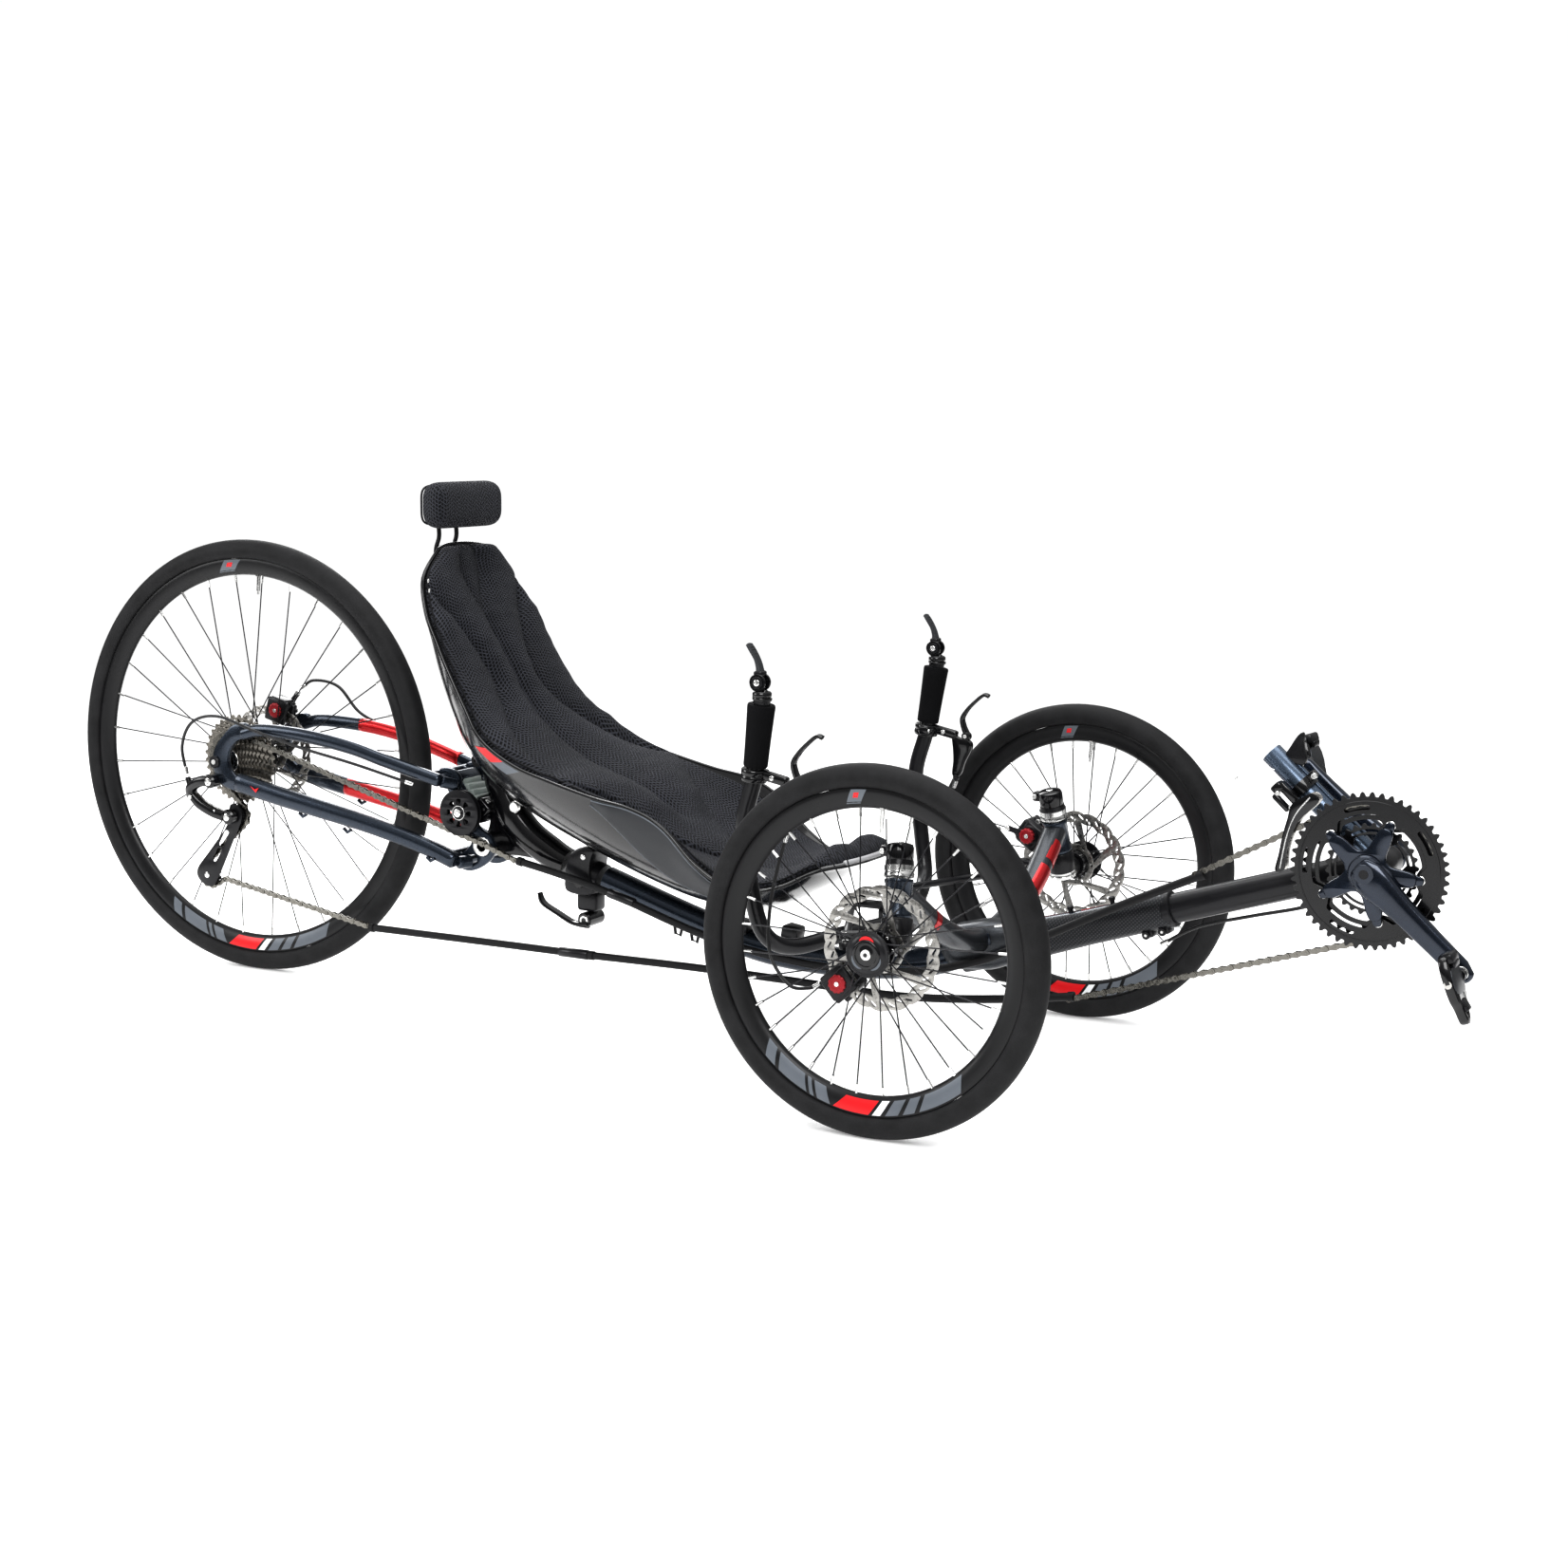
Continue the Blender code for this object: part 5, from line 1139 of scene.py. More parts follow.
def drive_line():
    front = belt([(towards(TUBE_FRONT_UP, BB, -0.012), 0, 1), (BB, CHAIN_RING_RADIUS, -1),
                  (towards(TUBE_FRONT_LOW, BB, -0.012), 0, 1)])
    shape = Shape()
    chain(shape, front)
    piece("look_chain_front", shape, "frame", "chain_front", sharp=50)
    shape = Shape()
    chain_tube(shape, [TUBE_FRONT_UP, (0.215, 0.264), (0.109, 0.211), (0.05, 0.182),
                       (0.0, 0.161), (-0.1, 0.137), (-0.25, 0.131), (-0.41, 0.153),
                       (-0.568, 0.198), (-0.655, 0.218), TUBE_REAR_UP])
    joint = [side_point((-0.53, 0.1885), CHAIN_Y), side_point((-0.575, 0.2), CHAIN_Y)]
    sweep(shape, joint, 0.0068, "satin_black", 24, round_end=0.0015)
    chain(shape, [Vector(TUBE_REAR_UP) - Vector((0.006, 0)), Vector(PIVOT_CHAIN)])
    piece("look_upper_tube", shape, "frame", "upper_chain_tube", sharp=50)
    shape = Shape()
    rear = belt([(PIVOT_CHAIN, 0, 1), (IDLER, IDLER_RADIUS, -1),
                 (SPROCKET, CASSETTE_PITCH, 1), (JOCKEY_TOP, JOCKEY_RADIUS, -1),
                 (JOCKEY_LOW, JOCKEY_RADIUS, 1), (towards(JOCKEY_LOW, TUBE_REAR_LOW, 0.03), 0, 1)])
    chain(shape, rear)
    last = rear[-1]
    piece("look_chain_rear", shape, "swingarm", "chain_rear", sharp=50)
    shape = Shape()
    chain_tube(shape, [TUBE_FRONT_LOW, (0.02, 0.113), (-0.11, 0.102), (-0.275, 0.104),
                       (-0.44, 0.105), (TUBE_JOINT_LOW[0] + 0.001, TUBE_JOINT_LOW[1])])
    piece("look_return_front", shape, "frame", "return_tube_front", sharp=50)
    shape = Shape()
    chain_tube(shape, [TUBE_JOINT_LOW, (-0.8, 0.1028), TUBE_REAR_LOW])
    sweep(shape, [side_point(TUBE_JOINT_LOW, CHAIN_Y), side_point((-0.66, 0.103), CHAIN_Y)],
          0.0072, "satin_black", 24, round_end=0.0015)
    chain(shape, [Vector(last), Vector(TUBE_REAR_LOW) + Vector((0.006, 0))])
    piece("look_return_rear", shape, "return_tube_rear", "return_tube_rear", sharp=50)


# ---- frame --------------------------------------------------------------------------------
def king(z, sign, offset=0.0):
    """Point on a kingpin's axis at height z; offset moves it inboard."""
    t = (z - KING_TOP[2]) / KING_DOWN[2]
    return at(KING_TOP[0] + KING_DOWN[0] * t, sign * (KING_TOP[1] + KING_DOWN[1] * t - offset), z)


def boom_point(x):
    slope = (BB[1] - 0.006 - BOOM_ROOT[1]) / (BB[0] - 0.02 - BOOM_ROOT[0])
    return at(x, 0, BOOM_ROOT[1] + slope * (x - BOOM_ROOT[0]))


def weld(shape, centre, axis, radius, look):
    """Raised bead of weld round a joint."""
    turn = basis(axis)
    path = []
    for k in range(41):
        a = 2 * pi * k / 40
        path.append(Vector(centre) + turn @ Vector((radius * cos(a), radius * sin(a), 0)))
    sweep(shape, path, 0.0016, look, 8)


def cable_stop(shape, foot, up, look="satin_black"):
    """Small bored post with a domed cap."""
    profile = [(0.0048, 0.0), (0.004, 0.004), (0.003, 0.007), (0.0034, 0.0115),
               (0.0046, 0.0125), (0.0046, 0.016), (0.003, 0.0175), (0.0, 0.0178)]
    revolve(shape, profile, Vector(foot), up, look, 20, closed=False)


def main_frame():
    shape = Shape()
    socket = [at(-0.03, 0, 0.165), boom_point(0.04), boom_point(0.085), boom_point(0.15),
              boom_point(0.22), boom_point(0.262)]
    names = ["dot_black"] * 36
    for k in range(6, 12):
        names[k] = "gunmetal"
    sweep(shape, socket, [(0.024, 0.029), (0.024, 0.0285), (0.0235, 0.0265), (0.0232, 0.024),
                          (0.023, 0.0234), (0.023, 0.0232)], names, 36, power=2.6)
    axis = boom_point(0.262) - boom_point(0.22)
    ring(shape, boom_point(0.256), axis, 0.02, 0.0246, 0.012, "satin_black", 48, 0.0012)
    for x, z in ((0.234, 0.219), (0.256, 0.226)):
        chunk(shape, at(x, 0, z + 0.002), (0.016, 0.024, 0.015), "satin_black",
              turn_y(-0.3), 0.003)
        bolt(shape, at(x, -0.012, z - 0.001), -Y_AXIS, 0.0056, 0.0045, "satin_black")
        disc(shape, at(x, -0.0164, z - 0.001), -Y_AXIS, 0.0022, 0.0004, "silver", 6)
    top = [boom_point(x) + Vector((0, 0, 0.0236 + lift)) for x, lift in
           ((0.045, 0.003), (0.085, 0.0018), (0.13, 0.0004), (0.19, -0.0002), (0.232, -0.0004))]
    sweep(shape, top, [(0.009, 0.0016), (0.011, 0.0016), (0.009, 0.0014), (0.006, 0.0012),
                       (0.002, 0.001)], "red_paint", 14)
    for x, z in ((0.125, 0.231), (0.183, 0.2495)):
        cable_stop(shape, at(x, 0.0, z - 0.004), Vector((-0.2, 0, 1)))
    spine = smooth([at(-0.604, 0, 0.2085), at(-0.445, 0, 0.16), at(-0.33, 0, 0.133),
                    at(-0.2, 0, 0.129), at(-0.09, 0, 0.143), at(-0.02, 0, 0.169)], 8)
    sweep(shape, spine, [(0.019, 0.02), (0.0188, 0.0205), (0.0188, 0.0205), (0.02, 0.021)],
          "gunmetal", 32, power=2.3)
    casting = [at(-0.06, 0, 0.164), at(-0.03, 0, 0.173), at(0.01, 0, 0.18),
               at(0.056, 0, 0.189)]
    sweep(shape, smooth(casting, 4), [(0.02, 0.019), (0.031, 0.032), (0.0315, 0.034),
                                      (0.0235, 0.027)], "graphite", 40, power=3.4,
          round_end=0.006)
    for y in (-0.0316, 0.0316):
        chunk(shape, at(0.006, y, 0.19), (0.03, 0.0012, 0.016), "gunmetal", turn_y(-0.25), 0.0006)
    for sign in (-1, 1):
        arm = smooth([at(0.0, 0, 0.185), at(0.0, sign * 0.08, 0.199),
                      at(0.0, sign * 0.17, 0.236), king(0.293, sign, 0.006)], 8)
        sweep(shape, arm, [(0.0185, 0.0175), (0.017, 0.016), (0.0165, 0.0158), (0.0168, 0.0165)],
              "graphite", 32, power=2.3)
        count = len(arm)
        for start, end in ((10, 13), (14, 18), (19, 22)) if sign > 0 else ((17, 18),):
            run = [arm[i] for i in range(start, min(end + 1, count - 1))]
            shift = Vector((0.0013, 0, 0.0006))
            sweep(shape, [p + shift for p in run], (0.0162, 0.015), "red_paint", 32, power=2.3)
        low, high = king(0.264, sign), king(0.313, sign)
        line = (high - low).normalized()
        revolve(shape, [(0.013, 0.0), (0.0178, 0.0), (0.0186, 0.0014), (0.0186, 0.0046),
                        (0.0178, 0.006), (0.0176, 0.043), (0.0186, 0.0444), (0.0186, 0.0476),
                        (0.0178, 0.049), (0.013, 0.049)], low, line, "gunmetal", 48)
    for x in (-0.484, -0.456):
        loop_z = 0.153 if x < -0.47 else 0.146
        sweep(shape, [at(x - 0.006, 0.0, loop_z), at(x - 0.004, 0, loop_z - 0.013),
                      at(x + 0.004, 0, loop_z - 0.015), at(x + 0.007, 0, loop_z - 0.003)],
              0.0024, "satin_black", 10)
    chunk(shape, at(STEER_PIVOT_X, 0, 0.152), (0.04, 0.034, 0.0225), "gunmetal", None, 0.004)
    for x in (-0.375, -0.295):
        chunk(shape, at(x, 0, 0.163), (0.026, 0.03, 0.02), "satin_black", turn_y(0.15), 0.004)
    piece("look_main_frame", shape, "frame", "main_frame", sharp=40)


def boom():
    shape = Shape()
    sweep(shape, [boom_point(0.12), boom_point(0.3), boom_point(0.4), boom_point(0.512)],
          0.0199, "satin_black", 40)
    shell = [(0.014, 0.0335), (0.0205, 0.0335), (0.0215, 0.032), (0.0215, -0.032),
             (0.0205, -0.0335), (0.014, -0.0335)]
    revolve(shape, shell, side_point(BB), Y_AXIS, "satin_black", 48)
    for sign in (-1, 1):
        profile = [(0.0125, 0.03), (0.0198, 0.03), (0.0205, 0.0312), (0.0205, 0.038),
                   (0.019, 0.0388), (0.0125, 0.0388)]
        revolve(shape, profile, side_point(BB), Vector((0, sign, 0)), "gloss_black", 48)
    line = Vector((POST_TOP[0] - BB[0], 0, POST_TOP[1] - BB[1]))
    root = side_point(BB) + line.normalized() * 0.018
    post_top = side_point(BB) + line
    length = (post_top - root).length
    profile = [(0.0143, 0.0), (0.0143, length - 0.001), (0.0135, length), (0.0124, length),
               (0.0122, length - 0.001), (0.0122, length - 0.03), (0.0, length - 0.03)]
    revolve(shape, profile, root, line, "steel_blue", 48, closed=False)
    weld(shape, root + line.normalized() * 0.004, line, 0.0148, "satin_black")
    shift = Vector((line.z, 0, -line.x)).normalized() * 0.015
    rail = [root + shift + line.normalized() * d for d in (0.02, 0.06, 0.1, length - 0.02)]
    sweep(shape, rail, (0.0042, 0.0022), "steel_blue", 16, up=shift)
    piece("look_boom", shape, "frame", "boom", sharp=40)


def front_derailleur():
    shape = Shape()
    line = Vector((POST_TOP[0] - BB[0], 0, POST_TOP[1] - BB[1])).normalized()
    spot = side_point(BB) + line * 0.135
    revolve(shape, [(0.0146, -0.0075), (0.0178, -0.007), (0.0184, 0.0), (0.0178, 0.007),
                    (0.0146, 0.0075)], spot, line, "gloss_black", 40)
    chunk(shape, spot + Vector((0.012, -0.006, 0.016)), (0.01, 0.012, 0.012), "gloss_black",
          turn_y(0.75), 0.002)
    bolt(shape, spot + Vector((0.016, -0.013, 0.0165)), -Y_AXIS, 0.0042, 0.0035)
    for offset, size in ((Vector((-0.012, -0.024, -0.006)), (0.034, 0.015, 0.011)),
                         (Vector((-0.02, -0.03, -0.018)), (0.028, 0.01, 0.008)),
                         (Vector((-0.026, -0.024, 0.0)), (0.012, 0.02, 0.015))):
        chunk(shape, spot + offset, size, "gloss_black", turn_y(0.75), 0.0028)
    for offset in (Vector((-0.024, -0.0345, -0.006)), Vector((-0.006, -0.0345, -0.022))):
        bolt(shape, spot + offset, -Y_AXIS, 0.0032, 0.0022)
    outer = soft_loop([(0.433, 0.414), (0.446, 0.424), (0.459, 0.43), (0.467, 0.42),
                       (0.4445, 0.396), (0.434, 0.374), (0.4285, 0.352), (0.427, 0.331),
                       (0.415, 0.329), (0.419, 0.351), (0.423, 0.375), (0.428, 0.395)], 5)
    cutout(shape, [outer], 0.0014, "gloss_black", -0.056, 0.0004)
    cutout(shape, [outer], 0.0012, "steel", -0.039, 0.0003)
    edge = [at(0.456, -0.0568, 0.425), at(0.439, -0.0568, 0.403), at(0.429, -0.0568, 0.376),
            at(0.424, -0.0568, 0.35), at(0.4215, -0.0568, 0.332)]
    sweep(shape, smooth(edge, 5), 0.0011, "silver", 8)
    for x, z in ((0.4195, 0.333), (0.456, 0.424)):
        sweep(shape, [at(x, -0.0566, z), at(x, -0.0386, z)], 0.0022, "silver", 12)
    wire = [at(0.402, -0.03, 0.452), at(0.39, -0.031, 0.454), at(0.372, -0.033, 0.45),
            at(0.356, -0.033, 0.44)]
    sweep(shape, smooth(wire, 5), 0.0007, "silver", 6)
    sweep(shape, [wire[-1], wire[-1] + Vector((-0.004, 0, -0.003))], 0.0012, "silver", 8)
    claw = soft_loop([(-0.014, 0.0), (-0.008, 0.018), (0.0, 0.034), (0.006, 0.036), (0.008, 0.02),
                      (0.014, 0.006), (0.01, -0.004)], 4)
    hold = Matrix.Translation(side_point(BB) + line * 0.168 + Vector((0.012, 0.0, 0.01)))
    cutout(shape, [claw], 0.01, "satin_black", edge=0.002, matrix=hold @ turn_y(0.1) @ XZ_PLANE)
    piece("look_front_derailleur", shape, "frame", "front_derailleur", sharp=38)


def rear_frame():
    shape = Shape()
    mast = smooth([at(-0.672, 0, 0.2285), at(-0.702, 0, 0.24), at(-0.745, 0, 0.266),
                   at(-0.775, 0, 0.3), at(-0.796, 0, 0.338), at(-0.808, 0, 0.362)], 8)
    sweep(shape, mast, [(0.0195, 0.0195), (0.0205, 0.023), (0.02, 0.024), (0.017, 0.021),
                        (0.014, 0.017)], "gloss_black", 36, power=2.4)
    gusset = soft_loop([(-0.69, 0.229), (-0.755, 0.231), (-0.801, 0.229), (-0.818, 0.246),
                        (-0.808, 0.276), (-0.806, 0.31), (-0.811, 0.352), (-0.79, 0.336),
                        (-0.76, 0.3), (-0.73, 0.268)], 5)
    cutout(shape, [gusset], 0.024, "gloss_black", 0, 0.006)
    centre = elastomer_point(0.074)
    chunk(shape, centre, (0.027, 0.044, 0.034), "gloss_black", turn_y(ELASTOMER_TILT), 0.005, 3)
    for y in (-0.013, 0.013):
        bolt(shape, centre + Vector((0.01, y, 0.013)), Vector((0.5, 0, 0.85)), 0.0038, 0.002)
    pivot = side_point(SWING_PIVOT)
    ring(shape, pivot - Y_AXIS * 0.029, Y_AXIS, 0.01, 0.019, 0.058, "gloss_black", 48, 0.002)
    for sign in (-1, 1):
        out = Vector((0, sign, 0))
        ring(shape, pivot + out * 0.028, out, 0.008, 0.0108, 0.0125, "silver", 40, 0.0008)
        ring(shape, pivot + out * 0.0388, out, 0.0082, 0.015, 0.0022, "silver", 44, 0.0008)
    lug = at(-0.824, 0, 0.372)
    disc(shape, lug - Y_AXIS * 0.019, Y_AXIS, 0.01, 0.038, "soft_black", 36, 0.002)
    for sign in (-1, 1):
        bolt(shape, lug + Vector((0, sign * 0.0188, 0)), Vector((0, sign, 0)), 0.005, 0.0025,
             "satin_black")
    sweep(shape, [at(-0.808, 0, 0.362), lug], (0.012, 0.0095), "soft_black", 20)
    sweep(shape, [at(-0.83, 0.0, 0.38), at(-0.837, 0.0, 0.4), at(-0.847, 0, 0.413)],
          0.0028, "soft_black", 12)
    for sign in (-1, 1):
        knob = at(-0.752, sign * 0.02, 0.308)
        disc(shape, knob, Vector((0, sign, 0)), 0.009, 0.007, "silver", 32, 0.002)
    piece("look_rear_frame", shape, "frame", "rear_frame", sharp=40)


def fold_clamp():
    shape = Shape()
    arch = soft_loop([(-0.66, 0.19), (-0.662, 0.22), (-0.656, 0.244), (-0.638, 0.257),
                      (-0.623, 0.259), (-0.613, 0.254), (-0.618, 0.24), (-0.62, 0.22),
                      (-0.615, 0.19)], 5)
    cutout(shape, [arch], 0.052, "satin_black", 0, 0.0035)
    sweep(shape, [at(-0.662, 0, 0.224), at(-0.612, 0, 0.2085)], (0.0235, 0.0225), "satin_black", 40)
    chunk(shape, at(-0.633, 0, 0.175), (0.034, 0.03, 0.03), "satin_black", None, 0.006, 3)
    for sign in (-1, 1):
        spot = at(-0.63, sign * 0.0262, 0.244)
        bolt(shape, spot, Vector((0, sign, 0)), 0.0042, 0.0018)
        disc(shape, at(-0.638, sign * 0.0262, 0.205), Vector((0, sign, 0)), 0.008, 0.0016,
             "gloss_black", 28)
    piece("look_fold_clamp", shape, "frame", "fold_clamp", sharp=40)
    shape = Shape()
    pivot = at(-0.633, 0, 0.148)
    disc(shape, pivot - Y_AXIS * 0.021, Y_AXIS, 0.0115, 0.042, "gloss_black", 40, 0.002)
    ring(shape, pivot - Y_AXIS * 0.0215, Y_AXIS, 0.004, 0.007, 0.0015, "silver", 24)
    lever = smooth([pivot + Vector(p) for p in (
        (0.006, -0.017, -0.006), (-0.018, -0.018, -0.006), (-0.046, -0.018, 0.006),
        (-0.072, -0.018, 0.019), (-0.079, -0.018, 0.034))], 6)
    sweep(shape, lever, [(0.007, 0.006), (0.008, 0.003), (0.0085, 0.0022), (0.008, 0.0022),
                         (0.006, 0.0018)], "gloss_black", 24, power=2.6)
    piece("look_fold_lever", shape, "fold_lever", "fold_lever", sharp=40)


def elastomer_point(distance):
    return at(-0.872, 0, 0.347) + Matrix.Rotation(ELASTOMER_TILT, 3, "Y") @ Vector(
        (distance, 0, 0))


def elastomer():
    """Grey block with deep V grooves across its sides; the thin black zigzag on each side is
    painted shade standing for the dark of the cuts.
    """
    shape = Shape()
    matrix = Matrix.Translation(elastomer_point(0.041)) @ turn_y(ELASTOMER_TILT)
    half = 0.0176
    top = []
    waves = 3
    for k in range(24 * waves + 1):
        t = k / (24 * waves)
        swing = abs((t * waves * 2) % 2 - 1)
        top.append((-half + 2 * half * t, 0.0172 - 0.0052 * (1 - swing) ** 0.8))
    loop = top + [(x, -z) for x, z in top[::-1]]
    cutout(shape, [loop], 0.045, "elastomer", edge=0.0008, matrix=matrix @ XZ_PLANE)
    # thin black zigzag on each side: painted shade, a dark line standing for the shaded cuts
    for sign in (-1, 1):
        zig = []
        for k in range(13):
            zig.append((-0.015 + 0.03 * k / 12, 0.01 if k % 2 else -0.01))
        path = [matrix @ Vector((x, sign * 0.0226, z)) for x, z in zig]
        sweep(shape, path, (0.001, 0.0012), "gloss_black", 8)
    piece("look_elastomer", shape, "frame", "suspension_elastomer", sharp=35)


def swingarm():
    shape = Shape()
    for sign in (-1, 1):
        y = sign * 0.074
        upper = smooth([at(-1.226, y, 0.39), at(-1.19, y, 0.399), at(-1.13, y, 0.3985),
                        at(-1.069, y, 0.393), at(-1.01, sign * 0.072, 0.383),
                        at(-0.96, sign * 0.07, 0.37), at(-0.9, sign * 0.064, 0.354),
                        at(-0.86, sign * 0.058, 0.343)], 6)
        lower = smooth([at(-1.238, y, 0.315), at(-1.16, y, 0.3), at(-1.096, y, 0.289),
                        at(-0.98, sign * 0.072, 0.268), at(-0.89, sign * 0.066, 0.245),
                        at(-0.833, sign * 0.06, 0.224)], 6)
        names = "gunmetal"
        sweep(shape, upper, [(0.0085, 0.0095), (0.0092, 0.0105), (0.0095, 0.01),
                             (0.0098, 0.0098)], names, 28, power=2.3, round_end=0.004)
        sweep(shape, lower, [(0.0105, 0.015), (0.011, 0.0145), (0.0115, 0.013),
                             (0.0118, 0.0125)], names, 28, power=2.5, round_end=0.004)
        if sign > 0:
            for line, (first, last), size in ((upper, (14, 36), (0.0102, 0.0106)),
                                              (lower, (8, 24), (0.0121, 0.014))):
                run = line[first:last]
                sweep(shape, [p - Vector((0, 0.0006, -0.0003)) for p in run], size,
                      "red_paint", 28, power=2.4, round_end=0.003)
        fork = soft_loop([(-1.215, 0.408), (-1.24, 0.405), (-1.26, 0.388),
                          (-1.278, 0.366), (-1.283, 0.343), (-1.277, 0.32),
                          (-1.258, 0.305), (-1.225, 0.298), (-1.195, 0.295),
                          (-1.195, 0.317), (-1.225, 0.321), (-1.242, 0.328),
                          (-1.252, 0.344), (-1.248, 0.364), (-1.232, 0.38),
                          (-1.208, 0.388)], 5)
        cutout(shape, [fork], 0.011, "gunmetal", y, 0.0036)
        out = Vector((0, sign, 0))
        hub = side_point(SPROCKET, sign * 0.078)
        disc(shape, hub + polar(radians(180), 0.01), out, 0.0095, 0.005, "satin_black", 36, 0.001)
        disc(shape, hub + polar(radians(180), 0.01, sign * 0.005), out, 0.0045, 0.0008,
             "silver", 6)
        web = soft_loop([(-0.878, 0.356), (-0.858, 0.36), (-0.842, 0.35),
                         (-0.836, 0.325), (-0.808, 0.276), (-0.786, 0.262),
                         (-0.779, 0.244), (-0.79, 0.224), (-0.818, 0.208),
                         (-0.842, 0.21), (-0.846, 0.226), (-0.822, 0.248),
                         (-0.83, 0.272), (-0.862, 0.325)], 5)
        hole = soft_loop([(-0.83, 0.22), (-0.812, 0.222), (-0.814, 0.232), (-0.83, 0.23)], 4)
        oval = soft_loop([(-0.848, 0.334), (-0.838, 0.316), (-0.83, 0.314), (-0.842, 0.338)], 4)
        cutout(shape, [web, hole, oval, round_loop(SWING_PIVOT[0], SWING_PIVOT[1], 0.012, 32)],
               0.0088, "gunmetal", sign * 0.0345, 0.0022)
        for x1, z1, x2, z2 in ((-0.862, 0.343, -0.846, 0.336), (-0.833, 0.222, -0.822, 0.222)):
            stub = [at(x1, sign * 0.058, z1), at((x1 + x2) / 2, sign * 0.047, (z1 + z2) / 2),
                    at(x2, sign * 0.037, z2)]
            sweep(shape, smooth(stub, 5), (0.01, 0.0095), "gunmetal", 24, power=2.4,
                  round_end=0.003)
        for x, z in ((-1.11, 0.276), (-1.025, 0.259), (-0.87, 0.229)):
            sweep(shape, [at(x - 0.007, sign * 0.073, z), at(x, sign * 0.0735, z - 0.0055),
                          at(x + 0.007, sign * 0.073, z - 0.001)], 0.0028, "gunmetal", 10)
    for x, z, r in ((-0.889, 0.35, 0.0062), (-0.869, 0.346, 0.0075),
                    (-0.856, 0.232, 0.006), (-0.838, 0.222, 0.0072)):
        path = [at(x, -0.064, z), at(x + 0.004, -0.03, z), at(x + 0.004, 0.03, z), at(x, 0.064, z)]
        sweep(shape, smooth(path, 4), (r, r * 0.85), "gunmetal", 20, power=2.6)
    for y in (-0.03, 0.03):
        chunk(shape, at(-0.88, y, 0.348), (0.02, 0.008, 0.012), "gunmetal", turn_y(0.2), 0.003)
        chunk(shape, at(-0.847, y, 0.227), (0.02, 0.008, 0.012), "gunmetal", turn_y(0.3), 0.003)
    chunk(shape, elastomer_point(0.0135), (0.017, 0.05, 0.036), "gunmetal",
          turn_y(ELASTOMER_TILT), 0.004, 3)
    sweep(shape, [side_point(IDLER, -0.053), side_point(IDLER, -0.032)], 0.0036, "silver", 20)
    bolt(shape, side_point(IDLER, -0.0524), -Y_AXIS, 0.0062, 0.0025)
    mark = [(-1.202, 0.313), (-1.193, 0.308), (-1.185, 0.311), (-1.191, 0.303)]
    cutout(shape, [mark], 0.0006, "decal_red", -0.0864, 0.0001)
    piece("look_swingarm", shape, "swingarm", "swingarm", sharp=42)


# ---- steering -----------------------------------------------------------------------------
BAR_LINE = [(-0.13, 0.0, 0.198), (-0.16, 0.12, 0.196), (-0.19, 0.2, 0.192),
            (-0.205, 0.25, 0.215), (-0.218, 0.264, 0.27), (-0.23, 0.266, 0.36),
            (-0.212, 0.2675, 0.435), (-0.201, 0.272, 0.53)]


def rod(shape, start, end, radius, look, steps=24, edge=0.0006):
    """Round bar between two points."""
    disc(shape, start, Vector(end) - Vector(start), radius, (Vector(end) - Vector(start)).length,
         look, steps, edge)


def handlebar():
    shape = Shape()
    left = [at(*p) for p in BAR_LINE]
    path = smooth([Vector((p.x, -p.y, p.z)) for p in left[:0:-1]] + left, 8)
    sweep(shape, path, 0.0111, "satin_black", 24)
    pivot = at(STEER_PIVOT_X, 0, 0.2)
    chunk(shape, pivot, (0.044, 0.05, 0.036), "satin_black", edge=0.006, segments=4)
    chunk(shape, pivot + Vector((0, 0, 0.001)), (0.045, 0.003, 0.035), "soft_black")
    for x in (-0.014, 0.014):
        for y in (-0.016, 0.016):
            bolt(shape, pivot + Vector((x, y, 0.0165)), (0, 0, 1), 0.0042, 0.0036)
    arm = [(-0.209, 0.213), (-0.13, 0.213), (-0.13, 0.219), (-0.209, 0.219)]
    cutout(shape, [arm], 0.03, "satin_black", edge=0.001)
    for y in (TIE_ARM[1], -TIE_ARM[1]):
        stud_x = STEER_PIVOT_X + TIE_ARM[0]
        rod(shape, at(stud_x, y, 0.22), at(stud_x, y, 0.208), 0.006, "silver", 12)
    rod(shape, at(STEER_PIVOT_X, 0, 0.1645), at(STEER_PIVOT_X, 0, 0.19), 0.014, "satin_black", 28)
    ring(shape, at(STEER_PIVOT_X, 0, 0.176), (0, 0, 1), 0.012, 0.0152, 0.005, "silver")
    for sign in (-1, 1):
        top = at(-0.201, sign * 0.272, 0.527)
        ring(shape, top, (0.1, 0, 1), 0.01, 0.0128, 0.004, "gloss_black")
        rod(shape, top + Vector((0, 0, 0.003)), top + Vector((0.0, 0, 0.0115)), 0.0124,
            "gloss_black", 28, 0.002)
        pod = at(-0.204, sign * 0.272, 0.5395)
        chunk(shape, pod, (0.012, 0.01, 0.029), "gloss_black", edge=0.0035, segments=3)
        chunk(shape, pod + Vector((0.007, 0, -0.006)), (0.008, 0.0092, 0.015), "gloss_black",
              edge=0.003, segments=3)
    piece("look_handlebar", shape, "handlebar", "handlebar", sharp=45)


